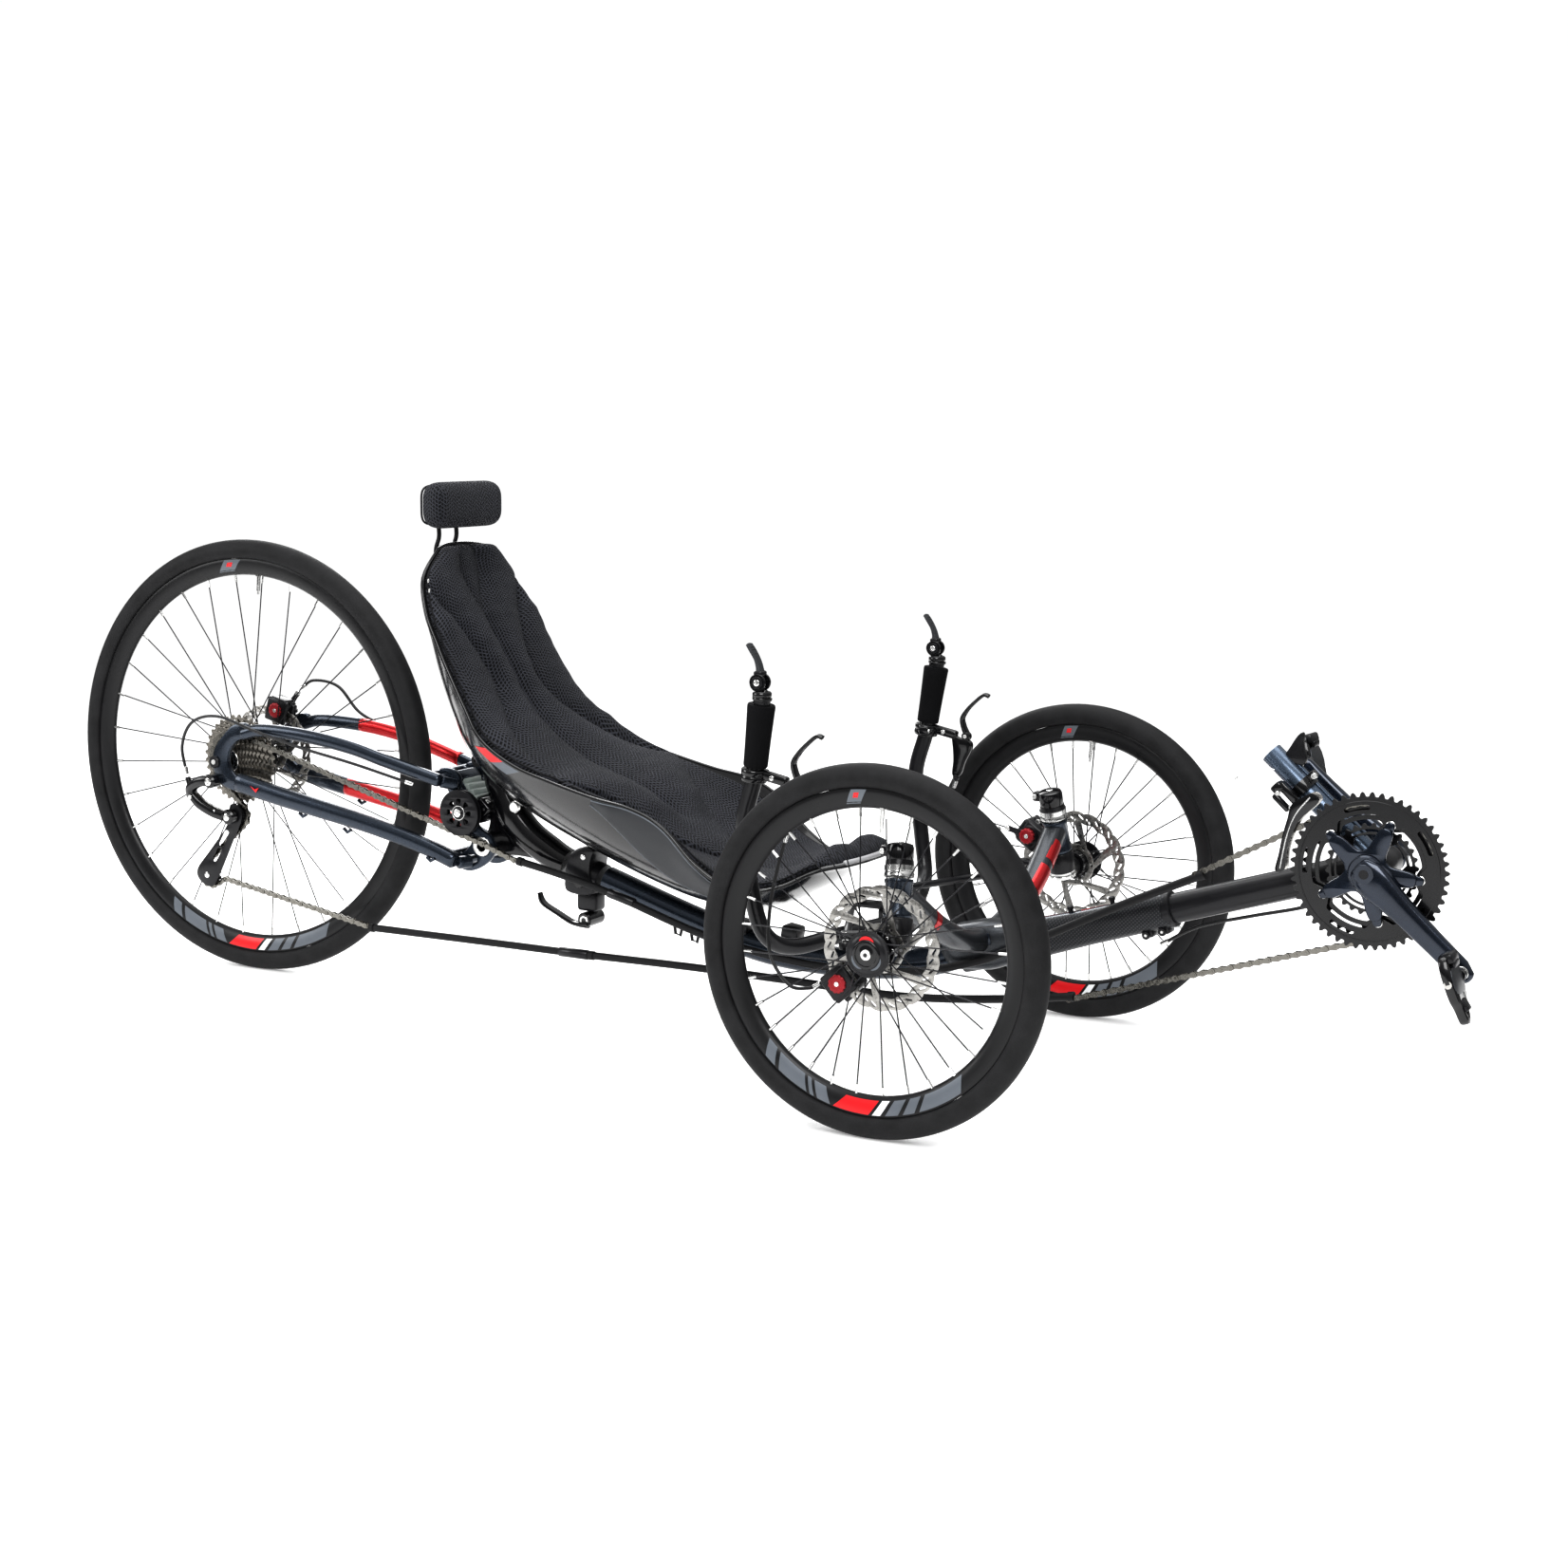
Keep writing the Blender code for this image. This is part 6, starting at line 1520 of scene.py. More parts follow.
def grip(side, sign):
    low = at(-0.2125, sign * 0.2675, 0.44)
    high = at(-0.2018, sign * 0.2716, 0.522)
    length = (high - low).length
    shape = Shape()
    outer = [(0.0148, 0.0), (0.0158, 0.0016), (0.016, 0.004)]
    for k in range(1, 12):
        share = k / 12
        outer.append((0.016 + 0.0022 * share ** 1.4, 0.004 + (length - 0.008) * share))
    outer += [(0.0183, length - 0.003), (0.0176, length - 0.0006), (0.016, length)]
    profile = [(0.0114, 0.0)] + outer + [(0.0114, length)]
    revolve(shape, profile, low, high - low, "foam", 40)
    for spot in (0.0004, length - 0.0012):
        ring(shape, low + (high - low).normalized() * spot, high - low, 0.0114, 0.014, 0.0012,
             "soft_black")
    piece(f"look_grip_{side}", shape, "handlebar", f"grip_{side}", sharp=50)


def lever_mount(side, sign):
    y = sign * 0.268
    shape = Shape()
    low = at(-0.2153, sign * 0.2673, 0.421)
    high = at(-0.2131, sign * 0.2675, 0.437)
    axis = (high - low).normalized()
    profile = [(0.0114, 0), (0.0165, 0), (0.0175, 0.001), (0.0175, 0.0065), (0.0169, 0.0072),
               (0.0169, 0.0088), (0.0175, 0.0095), (0.0175, 0.015), (0.0165, 0.016),
               (0.0114, 0.016)]
    revolve(shape, profile, low, axis, "gloss_black", 36)
    middle = (low + high) / 2
    chunk(shape, middle + Vector((0.004, -sign * 0.0165, 0)), (0.016, 0.008, 0.012),
          "gloss_black", edge=0.0025, segments=3)
    bolt(shape, middle + Vector((0.01, -sign * 0.017, 0)), (1, 0, 0), 0.0032, 0.0034)
    chunk(shape, at(-0.1845, y, 0.427), (0.041, 0.012, 0.013), "gloss_black", turn_y(0.2),
          0.0035, 3)
    body = soft_loop([(-0.1715, 0.4235), (-0.16, 0.42), (-0.144, 0.417), (-0.14, 0.406),
                      (-0.15, 0.385), (-0.158, 0.364), (-0.17, 0.364), (-0.169, 0.386),
                      (-0.17, 0.404)])
    cutout(shape, [body], 0.0096, "gloss_black", y, 0.0018)
    rod(shape, at(-0.164, y, 0.37), at(-0.1655, y, 0.357), 0.0046, "satin_black", 18)
    for k in range(3):
        spot = at(-0.1644 - 0.0004 * k, y, 0.367 - 0.0036 * k)
        ring(shape, spot, (0.115, 0, 1), 0.003, 0.0054, 0.0018, "satin_black", 20)
    for way in (-1, 1):
        bolt(shape, at(-0.185, y + way * 0.0058, 0.4275), (0, way, 0), 0.0034, 0.002)
    piece(f"look_lever_mount_{side}", shape, "handlebar", f"lever_mount_{side}", sharp=45)


def brake_lever(side, sign):
    y = sign * 0.268
    shape = Shape()
    hinge = at(-0.1495, y, 0.423)
    path = smooth([hinge + Vector((0.0006, 0, 0.002)), at(-0.1545, y, 0.438), at(-0.156, y, 0.45),
                   at(-0.147, y, 0.464), at(-0.134, y, 0.477), at(-0.1225, y, 0.4855),
                   at(-0.114, y, 0.4835)], 6)
    sizes = [(0.0046, 0.005), (0.0052, 0.0042), (0.0062, 0.0032), (0.0068, 0.0027),
             (0.0066, 0.0026), (0.006, 0.0028), (0.0048, 0.003)]
    sweep(shape, path, sizes, "gloss_black", 20, power=2.6, round_end=0.004)
    disc(shape, hinge - Vector((0, 0.0052, 0)), (0, 1, 0), 0.0066, 0.0104, "gloss_black", 28, 0.001)
    for way in (-1, 1):
        disc(shape, hinge + Vector((0, way * 0.005, 0)), (0, way, 0), 0.0042, 0.0016, "satin_black",
             20, 0.0005)
        bolt(shape, hinge + Vector((0, way * 0.006, 0)), (0, way, 0), 0.003, 0.0018)
    piece(f"look_brake_lever_{side}", shape, f"brake_lever_{side}", f"brake_lever_{side}", sharp=45)


def shift_lever(side, sign):
    y = sign * 0.272
    spot = at(-0.204, y, 0.55)
    shape = Shape()
    for way in (-1, 1):
        disc(shape, spot + Vector((0, way * 0.0056, 0)), (0, way, 0), 0.0116, 0.003,
             "gloss_black", 36, 0.0009)
        disc(shape, spot + Vector((0, way * 0.0084, 0)), (0, way, 0), 0.0082, 0.0014, "satin_black",
             32, 0.0005)
        bolt(shape, spot + Vector((0, way * 0.0092, 0)), (0, way, 0), 0.0042, 0.0018)
    chunk(shape, at(-0.204, y, 0.561), (0.012, 0.0165, 0.008), "satin_black", edge=0.0025,
          segments=3)
    path = smooth([at(-0.2036, y, 0.56), at(-0.205, y, 0.57), at(-0.2085, y, 0.58),
                   at(-0.215, y, 0.5905), at(-0.2215, y, 0.5995)], 6)
    sizes = [(0.007, 0.005), (0.0062, 0.0036), (0.0068, 0.0026), (0.008, 0.0023),
             (0.0074, 0.0021)]
    sweep(shape, path, sizes, "pad_grey", 22, power=3.2, round_end=0.003)
    for k in range(5):
        share = 0.48 + 0.09 * k
        place_on = path[int(share * (len(path) - 1))]
        chunk(shape, place_on + Vector((0.0016, 0, 0.001)), (0.0016, 0.01, 0.0012), "soft_black",
              turn_y(0.95), 0.0004, 1)
    piece(f"look_shift_lever_{side}", shape, f"shift_lever_{side}", f"shift_lever_{side}", sharp=45)


def knuckle(side, sign):
    shape = Shape()
    foot = king(0.236, sign)
    down = (king(0.224, sign) - king(0.2636, sign)).normalized()
    rod(shape, king(0.25, sign), king(0.345, sign), 0.012, "silver", 28)
    top = king(0.2636, sign)
    profile = [(0, 0), (0.0188, 0), (0.02, 0.0012), (0.02, 0.027), (0.0186, 0.03),
               (0.0186, 0.034), (0.0196, 0.0352), (0.019, 0.0395), (0.012, 0.0405), (0, 0.0405)]
    looks = ["satin_black"] * 4 + ["silver"] * 3 + ["satin_black"] * 2
    revolve(shape, profile, top, down, looks, 44, closed=False)
    bolt(shape, top + down * 0.0395, down, 0.007, 0.003)
    centre = at(0, sign * TRACK_HALF, FRONT_RADIUS)
    hub = Vector((centre.x, foot.y, FRONT_RADIUS))
    rod(shape, hub, centre + Vector((0, sign * 0.012, 0)), 0.0082, "silver", 24)
    reach = TRACK_HALF - 0.037 - abs(foot.y)
    profile = [(0, 0), (0.018, 0), (0.0172, 0.008), (0.015, reach * 0.6), (0.0146, reach - 0.001),
               (0.0136, reach), (0, reach)]
    revolve(shape, profile, hub, (0, sign, 0), "satin_black", 36, closed=False)
    ball = tie_outer(sign)
    arm_z = TIE_Z + 0.013
    path = smooth([Vector((foot.x - 0.004, foot.y, arm_z)),
                   Vector(((foot.x + ball.x) / 2, foot.y + sign * 0.002, arm_z + 0.001)),
                   Vector((ball.x - 0.009, ball.y, arm_z))], 8)
    sweep(shape, path, [(0.0095, 0.006), (0.0075, 0.0052), (0.009, 0.005)], "satin_black", 20,
          power=3.5, round_end=0.004)
    rod(shape, Vector((ball.x, ball.y, arm_z + 0.005)), Vector((ball.x, ball.y, arm_z - 0.008)),
        0.0046, "silver", 6, 0.0002)
    crown = king(0.3134, sign)
    up = -down
    stack = [(0.0115, 0), (0.0182, 0), (0.0193, 0.001), (0.0193, 0.0055), (0.0184, 0.0064),
             (0.0184, 0.0078), (0.0195, 0.0086), (0.0195, 0.015), (0.0182, 0.016),
             (0.0178, 0.0215), (0.0115, 0.0215)]
    looks = ["silver"] * 7 + ["satin_black"] * 4
    revolve(shape, stack, crown, up, looks, 44)
    cap = king(0.334, sign)
    lid = [(0.0115, 0), (0.0168, 0), (0.0174, 0.0012), (0.0174, 0.0165), (0.016, 0.0205),
           (0.011, 0.0222), (0.0, 0.0222)]
    revolve(shape, lid, cap, up, "gloss_black", 44, closed=False)
    bolt(shape, cap + up * 0.0215, up, 0.005, 0.0022)
    chunk(shape, king(0.345, sign) + Vector((-0.019, 0, 0)), (0.014, 0.016, 0.014),
          "gloss_black", edge=0.0035, segments=3)
    for way in (-1, 1):
        bolt(shape, king(0.345, sign) + Vector((-0.0215, way * 0.0075, 0)), (0, way, 0), 0.0038,
             0.0024)
    piece(f"look_knuckle_{side}", shape, f"knuckle_{side}", f"knuckle_{side}", sharp=45)


def tie_outer(sign):
    return king(TIE_Z, sign) + Vector((TIE_ARM[0], sign * TIE_ARM[1], 0))


def tie_rod(side, sign):
    shape = Shape()
    inner = at(STEER_PIVOT_X + TIE_ARM[0], sign * TIE_ARM[1], TIE_Z)
    outer = tie_outer(sign)
    line = (outer - inner).normalized()
    rod(shape, inner + line * 0.02, outer - line * 0.02, 0.0052, "satin_black", 20, 0.002)
    for spot, way in ((inner, line), (outer, -line)):
        rod(shape, spot + way * 0.006, spot + way * 0.03, 0.0031, "silver", 14)
        rod(shape, spot + way * 0.0185, spot + way * 0.0225, 0.0058, "silver", 6, 0.0003)
        ring(shape, spot - Vector((0, 0, 0.0045)), (0, 0, 1), 0.0048, 0.0086, 0.009,
             "satin_black", 28, 0.001)
        disc(shape, spot - Vector((0, 0, 0.005)), (0, 0, 1), 0.0052, 0.01, "silver", 20, 0.001)
    piece(f"look_tie_rod_{side}", shape, f"tie_rod_{side}", f"tie_rod_{side}", sharp=45)


def steering():
    handlebar()
    for side, sign in (("right", -1), ("left", 1)):
        grip(side, sign)
        lever_mount(side, sign)
        brake_lever(side, sign)
        shift_lever(side, sign)
        knuckle(side, sign)
        tie_rod(side, sign)


# ---- brakes -------------------------------------------------------------------------------
def knob(shape, face, side, radius, height, look="knob_red"):
    """Notched hand knob: a scalloped rim round a smooth cap."""
    turn = basis(side)
    points = []
    for k in range(60):
        angle = 2 * pi * k / 60
        r = radius * (1.0 - 0.1 * max(0.0, cos(12 * angle)))
        points.append((r * cos(angle), r * sin(angle)))
    rows = [(0.94, 0.0), (1.0, 0.12), (1.0, 0.72), (0.93, 0.92), (0.8, 1.0), (0.62, 1.0),
            (0.58, 0.86), (0.3, 0.86)]
    verts = [face + turn @ Vector((x * s, y * s, height * h)) for s, h in rows for x, y in points]
    faces = []
    for j in range(len(rows) - 1):
        for k in range(60):
            n = (k + 1) % 60
            faces.append((j * 60 + k, j * 60 + n, (j + 1) * 60 + n, (j + 1) * 60 + k))
    last = (len(rows) - 1) * 60
    faces.append(tuple(last + k for k in range(60)))
    faces.append(tuple(range(60))[::-1])
    shape.add(verts, faces, look)


def caliper(name, arm_name, hub, spin, inboard, reach, arm_angle, body, arm_body, wheel_knob):
    out = Vector((cos(spin), 0, sin(spin)))
    along = Vector((-sin(spin), 0, cos(spin)))
    middle = hub + out * 0.074
    side = Vector((0, inboard, 0))
    turn = turn_y(-spin)
    shape = Shape()
    deep = reach - 0.0034
    inner = middle + side * (0.0034 + deep / 2)
    chunk(shape, inner - out * 0.001, (0.038, deep, 0.04), "satin_black", turn, 0.007, 4)
    chunk(shape, middle - side * 0.0069 - out * 0.001, (0.038, 0.007, 0.04), "satin_black", turn,
          0.003, 3)
    chunk(shape, middle + out * 0.0165 + side * (reach - 0.0105) / 2,
          (0.007, reach + 0.009, 0.03), "satin_black", turn, 0.0028, 3)
    for way in (-1, 1):
        ear = middle + along * way * 0.0195 + side * 0.0085 + out * 0.004
        chunk(shape, ear, (0.02, 0.01, 0.009), "satin_black", turn, 0.0032, 3)
        bolt(shape, ear + side * 0.0045 + along * way * 0.0005, side, 0.004, 0.0034)
    for way in (-1, 1):
        chunk(shape, middle - out * 0.011 + along * way * 0.0 + side * way * 0.0022,
              (0.016, 0.001, 0.024), "steel", turn, 0.0002, 1)
    face = middle + side * reach
    rod(shape, face - side * 0.004, face + side * 0.001, 0.015, "satin_black", 36, 0.001)
    rod(shape, face - side * 0.002, face + side * 0.006, 0.0055, "silver", 24)
    knob(shape, face + side * 0.005, side, 0.0118, 0.0064)
    disc(shape, face + side * 0.0104, side, 0.0034, 0.0011, "silver", 18, 0.0003)
    if wheel_knob:
        rear = middle - side * 0.0102
        rod(shape, rear + side * 0.002, rear - side * 0.0006, 0.0105, "satin_black", 28)
        knob(shape, rear, -side, 0.0122, 0.0036)
        disc(shape, rear - side * 0.003, -side, 0.0032, 0.0008, "silver", 18, 0.0003)
    piece(f"look_{name}", shape, body, name, sharp=42)
    arm = Shape()
    pivot = face + side * 0.001
    ring(arm, pivot, side, 0.0066, 0.0142, 0.0034, "satin_black", 40, 0.0006)
    away = Vector((cos(arm_angle), 0, sin(arm_angle)))
    sweep(arm, [pivot + side * 0.0017 + away * d for d in (0.0095, 0.018, 0.027, 0.0365)],
          [(0.006, 0.0017), (0.0046, 0.0017), (0.004, 0.0017), (0.0046, 0.0017)], "satin_black",
          18, up=side, power=3.0, round_end=0.003)
    tip = pivot + away * 0.0335
    rod(arm, tip, tip + side * 0.0046, 0.004, "silver", 20)
    bolt(arm, tip + side * 0.004, side, 0.003, 0.0016)
    piece(f"look_{arm_name}", arm, arm_body, arm_name, sharp=42)


def calipers():
    disc_y = TRACK_HALF - ROTOR_INSET
    caliper("caliper_right", "caliper_arm_right", at(0, -disc_y, FRONT_RADIUS),
            radians(222), 1, 0.029, radians(190), "knuckle_right", "caliper_arm_right",
            True)
    caliper("caliper_left", "caliper_arm_left", at(0, disc_y, FRONT_RADIUS),
            radians(145), -1, 0.029, radians(165), "knuckle_left", "caliper_arm_left",
            True)
    caliper("rear_caliper", "rear_caliper_arm", side_point(SPROCKET, 0.044),
            radians(75), 1, 0.0165, radians(50), "swingarm", "rear_caliper_arm", True)


# ---- rear derailleur ----------------------------------------------------------------------
def rear_derailleur():
    shape = Shape()
    outline = soft_loop([(-1.27, 0.273), (-1.252, 0.27), (-1.248, 0.252), (-1.264, 0.22),
                         (-1.302, 0.148), (-1.318, 0.138), (-1.337, 0.147), (-1.34, 0.165),
                         (-1.312, 0.198), (-1.276, 0.242)], 4)
    windows = [slot_loop((-1.279, 0.227), (-1.29, 0.208), 0.005),
               slot_loop((-1.295, 0.198), (-1.305, 0.183), 0.0045)]
    cutout(shape, [outline, *windows], 0.0016, "satin_black", CHAIN_Y - 0.009, 0.0003)
    inside = soft_loop([(-1.268, 0.27), (-1.254, 0.268), (-1.252, 0.25), (-1.272, 0.216),
                        (-1.308, 0.148), (-1.32, 0.14), (-1.335, 0.15), (-1.337, 0.164),
                        (-1.306, 0.2), (-1.274, 0.242)], 4)
    cutout(shape, [inside, windows[0]], 0.0016, "graphite", CHAIN_Y + 0.0055, 0.0003)
    for spot in (JOCKEY_TOP, JOCKEY_LOW):
        rod(shape, side_point(spot, CHAIN_Y - 0.012), side_point(spot, CHAIN_Y + 0.0066), 0.0028,
            "silver", 16)
        bolt(shape, side_point(spot, CHAIN_Y - 0.0098), (0, -1, 0), 0.0048, 0.002, "silver")
    hanger = at(-1.279, -0.084, 0.314)
    rod(shape, hanger + Vector((0, 0.011, 0)), hanger - Vector((0, 0.01, 0)), 0.0105,
        "gloss_black", 32, 0.0025)
    bolt(shape, hanger - Vector((0, 0.0095, 0)), (0, -1, 0), 0.0062, 0.0026, "silver")
    arm = smooth([at(-1.28, -0.084, 0.314), at(-1.302, -0.085, 0.312),
                  at(-1.323, -0.082, 0.3), at(-1.327, -0.077, 0.283)], 6)
    sweep(shape, arm, [(0.0085, 0.009), (0.009, 0.0085), (0.0092, 0.008), (0.0085, 0.0075)],
          "gloss_black", 22, power=2.8, round_end=0.004)
    link = smooth([at(-1.327, -0.078, 0.29), at(-1.312, -0.074, 0.274),
                   at(-1.29, -0.069, 0.262), at(-1.27, -0.065, 0.256)], 6)
    sweep(shape, link, [(0.01, 0.0065), (0.0105, 0.0078), (0.01, 0.008), (0.0088, 0.008)],
          "gloss_black", 22, power=3.4, round_end=0.004)
    for spot in (at(-1.322, -0.09, 0.286), at(-1.286, -0.0775, 0.264)):
        rod(shape, spot + Vector((0, 0.012, 0)), spot, 0.0036, "silver", 18)
    foot = at(-1.264, -0.056, 0.256)
    rod(shape, foot, foot - Vector((0, 0.015, 0)), 0.012, "gloss_black", 32, 0.0025)
    bolt(shape, foot - Vector((0, 0.0145, 0)), (0, -1, 0), 0.006, 0.0024, "silver")
    rod(shape, at(-1.329, -0.0775, 0.296), at(-1.336, -0.0765, 0.315), 0.0042, "satin_black", 18)
    piece("look_rear_derailleur", shape, "swingarm", "rear_derailleur", sharp=42)


# ---- seat ---------------------------------------------------------------------------------
# rim line: forward, up, half width; and the shell's middle line below or behind it
SEAT_STATIONS = [
    ((-0.86, 0.69, 0.06), (-0.87, 0.695)),
    ((-0.852, 0.65, 0.11), (-0.878, 0.65)),
    ((-0.834, 0.6, 0.129), (-0.876, 0.6)),
    ((-0.81, 0.558, 0.137), (-0.869, 0.548)),
    ((-0.787, 0.52, 0.143), (-0.858, 0.498)),
    ((-0.753, 0.468, 0.15), (-0.838, 0.44)),
    ((-0.72, 0.425, 0.158), (-0.807, 0.385)),
    ((-0.66, 0.393, 0.165), (-0.75, 0.33)),
    ((-0.59, 0.374, 0.17), (-0.675, 0.29)),
    ((-0.52, 0.358, 0.172), (-0.585, 0.252)),
    ((-0.46, 0.348, 0.172), (-0.5, 0.221)),
    ((-0.41, 0.325, 0.17), (-0.42, 0.2)),
    ((-0.36, 0.278, 0.168), (-0.345, 0.196)),
    ((-0.305, 0.248, 0.16), (-0.285, 0.21)),
    ((-0.25, 0.252, 0.14), (-0.23, 0.24)),
    ((-0.205, 0.274, 0.11), (-0.188, 0.272)),
    ((-0.176, 0.28, 0.08), (-0.162, 0.282)),
]


# middle of the cushion's upper side (x, z) at each seat station
PAD_LINE = [(-0.855, 0.688), (-0.846, 0.652), (-0.828, 0.603), (-0.805, 0.56),
            (-0.781, 0.516), (-0.752, 0.469), (-0.712, 0.43), (-0.655, 0.392),
            (-0.59, 0.362), (-0.53, 0.332), (-0.475, 0.296), (-0.412, 0.264),
            (-0.352, 0.248), (-0.298, 0.249), (-0.246, 0.263), (-0.203, 0.292),
            (-0.174, 0.302)]


def between(rows, v):
    """Smooth values at a place between rows of numbers."""
    last = len(rows) - 1
    k = min(max(int(v), 0), last - 1)
    f = v - k
    a, b, c, d = (rows[min(max(k + j, 0), last)] for j in (-1, 0, 1, 2))
    return [0.5 * (2 * q + (r - p) * f + (2 * p - 5 * q + 4 * r - s) * f * f
                   + (3 * q - p - 3 * r + s) * f ** 3) for p, q, r, s in zip(a, b, c, d)]


def station(v):
    """Rim and middle values of the shell at a place down the seat."""
    return between([(*edge, *mid) for edge, mid in SEAT_STATIONS], v)


def seat_point(t, v):
    edge_x, edge_z, half, mid_x, mid_z = station(v)
    rise = abs(t) ** 2.4
    return at(mid_x + (edge_x - mid_x) * rise, half * t, mid_z + (edge_z - mid_z) * rise)


def pad_point(t, v):
    edge_x, edge_z, half = station(v)[:3]
    mid_x, mid_z = between(PAD_LINE, v)
    rise = abs(t) ** 3
    return at(mid_x + (edge_x - mid_x) * rise, half * t, mid_z + (edge_z - mid_z) * rise)


def lifted(surface, t, v, lift):
    """Point over a surface of the seat; lift goes towards the rider."""
    step = 0.02
    across = surface(t + step, v) - surface(t - step, v)
    down = surface(t, min(v + step, 16.0)) - surface(t, max(v - step, 0.0))
    return surface(t, v) + down.cross(across).normalized() * lift


def seat_at(t, v, lift):
    return lifted(seat_point, t, v, lift)


def grid_faces(rows, columns):
    return [(r * columns + c, r * columns + c + 1, (r + 1) * columns + c + 1, (r + 1) * columns + c)
            for r in range(rows - 1) for c in range(columns - 1)]


def grid_border(rows, columns):
    """Corner numbers round the outside of a grid."""
    return (list(range(columns)) + [r * columns + columns - 1 for r in range(1, rows)]
            + [(rows - 1) * columns + c for c in range(columns - 2, -1, -1)]
            + [r * columns for r in range(rows - 2, 0, -1)])


def sheet(shape, t_values, v_values, low, high, look):
    """Closed slab over the seat's back face; low and high are lifts, or functions of t and v."""
    columns = len(t_values)
    rows = len(v_values)
    lower, upper = [], []
    for v in v_values:
        for t in t_values:
            lower.append(seat_at(t, v, low(t, v) if callable(low) else low))
            upper.append(seat_at(t, v, high(t, v) if callable(high) else high))
    count = rows * columns
    faces = grid_faces(rows, columns)
    shape.add(upper, [], look)
    base = len(shape.verts) - count
    shape.add(lower, [], look)
    index = shape.slots.index(look)
    for order, offset in ((1, base), (-1, base + count)):
        for face in faces:
            shape.faces.append(tuple(offset + i for i in face[::order]))
            shape.index.append(index)
    rim = grid_border(rows, columns)
    for a, b in zip(rim, rim[1:] + rim[:1]):
        shape.faces.append((base + a, base + b, base + count + b, base + count + a))
        shape.index.append(index)


def spread(low, high, count):
    return [low + (high - low) * k / (count - 1) for k in range(count)]


def seat_shell():
    shape = Shape()
    sheet(shape, spread(-1.0, 1.0, 49), spread(0.0, 16.0, 113), 0.0, 0.004, "gloss_black")
    loop = [seat_at(-1.0, v, 0.002) for v in spread(0.0, 16.0, 81)]
    loop += [seat_at(t, 16.0, 0.002) for t in spread(-1.0, 1.0, 25)[1:]]
    loop += [seat_at(1.0, v, 0.002) for v in spread(16.0, 0.0, 81)[1:]]
    loop += [seat_at(t, 0.0, 0.002) for t in spread(1.0, -1.0, 25)[1:]]
    sweep(shape, loop, 0.0028, "gloss_black", 10)
    for sign in (-1, 1):
        flank_t = [sign * t for t in spread(0.9, 0.995, 7)]
        for v0, v1, look in ((6.02, 6.55, "decal_red"), (6.55, 7.0, "decal_grey")):
            rows = spread(v0, v1, 9)
            verts = [seat_at(t, v + (abs(t) - 0.9) * 2.2, -0.0004) for v in rows for t in flank_t]
            shape.add(verts, grid_faces(len(rows), len(flank_t)), look)
        for v in (10.2, 12.6):
            spot = seat_at(sign * 0.5, v, 0.004)
            inward = (seat_at(sign * 0.5, v, 0.01) - spot).normalized()
            bolt(shape, spot, inward, 0.007, 0.0022, "satin_black")
    piece("look_seat_shell", shape, "frame", "seat_shell", sharp=50)
    lip = Shape()
    rows = spread(15.15, 16.0, 9)
    cols = spread(-0.99, 0.99, 33)
    sheet(lip, cols, rows, 0.0042, 0.0062, "lip_grey")
    roll = [seat_at(t, 16.0, 0.0052) for t in cols]
    sweep(lip, roll, 0.0042, "lip_grey", 14, round_end=0.003)
    obj = piece("look_seat_lip", lip, "frame", sharp=50)


# seams and edges of the two pads, as shares of the seat's half width, down the seat
TOP_SEAM = [(0, 0.38), (2.2, 0.0)]
BACK_SEAM = [(0, 1.1), (1.2, 0.97), (2.2, 0.7), (3.4, 0.45), (4.4, 0.34), (5.4, 0.44),
             (6.5, 0.68), (8.2, 0.96)]
BACK_EDGE = [(0, 0.95), (8.2, 0.95), (8.8, 0.7), (10.0, 0.45), (11.2, 0.22), (12.0, 0.04)]
BASE_EDGE = [(7.6, 0.93), (10.0, 0.93), (12.0, 0.9), (13.5, 0.9), (15.2, 0.94)]
PAD_FOOT = 0.0045       # height of a pad's underside over the shell
WALL = 0.045            # rounding of a pad's sides, as a share of the half width


def line_at(line, v):
    """Value at v on straight lines between points, softened over half a station."""
    total = 0.0
    for shift in (-0.3, -0.15, 0.0, 0.15, 0.3):
        place = min(max(v + shift, line[0][0]), line[-1][0])
        for (v0, t0), (v1, t1) in zip(line, line[1:]):
            if place <= v1:
                total += t0 + (t1 - t0) * (place - v0) / (v1 - v0)
                break
    return total / 5


def channels(t, stops, crowns):
    """Height of stuffed channels between sewn seams."""
    for a, b, crown in zip(stops, stops[1:], crowns):
        if b - a > 0.001 and a <= t <= b:
            full = min(1.0, (b - a) / 0.3)
            return crown * full * (1 - abs(2 * (t - a) / (b - a) - 1) ** 2.0)
    return 0.0


def back_height(t, v):
    edge = line_at(BACK_EDGE, v)
    seam = min(line_at(BACK_SEAM, v), edge)
    top = line_at(TOP_SEAM, v) if v < 2.2 else 0.0
    sewn = channels(t, (-edge, -seam, -top, top, seam, edge), (0.021, 0.022, 0.007, 0.022, 0.021))
    whole = channels(t, (-edge, edge), (0.014,))
    tongue = min(max((v - 9.3) / 1.0, 0.0), 1.0)
    tongue = tongue * tongue * (3 - 2 * tongue)
    return sewn + (whole - sewn) * tongue + 0.008 * min(max(v - 7.6, 0.0), 1.0)


def base_height(t, v):
    edge = line_at(BASE_EDGE, v)
    fade = min(max((v - 10.5) / 1.5, 0.0), 1.0)
    return channels(t, (-edge, 0.0, edge), (0.01, 0.01)) * fade + 0.004


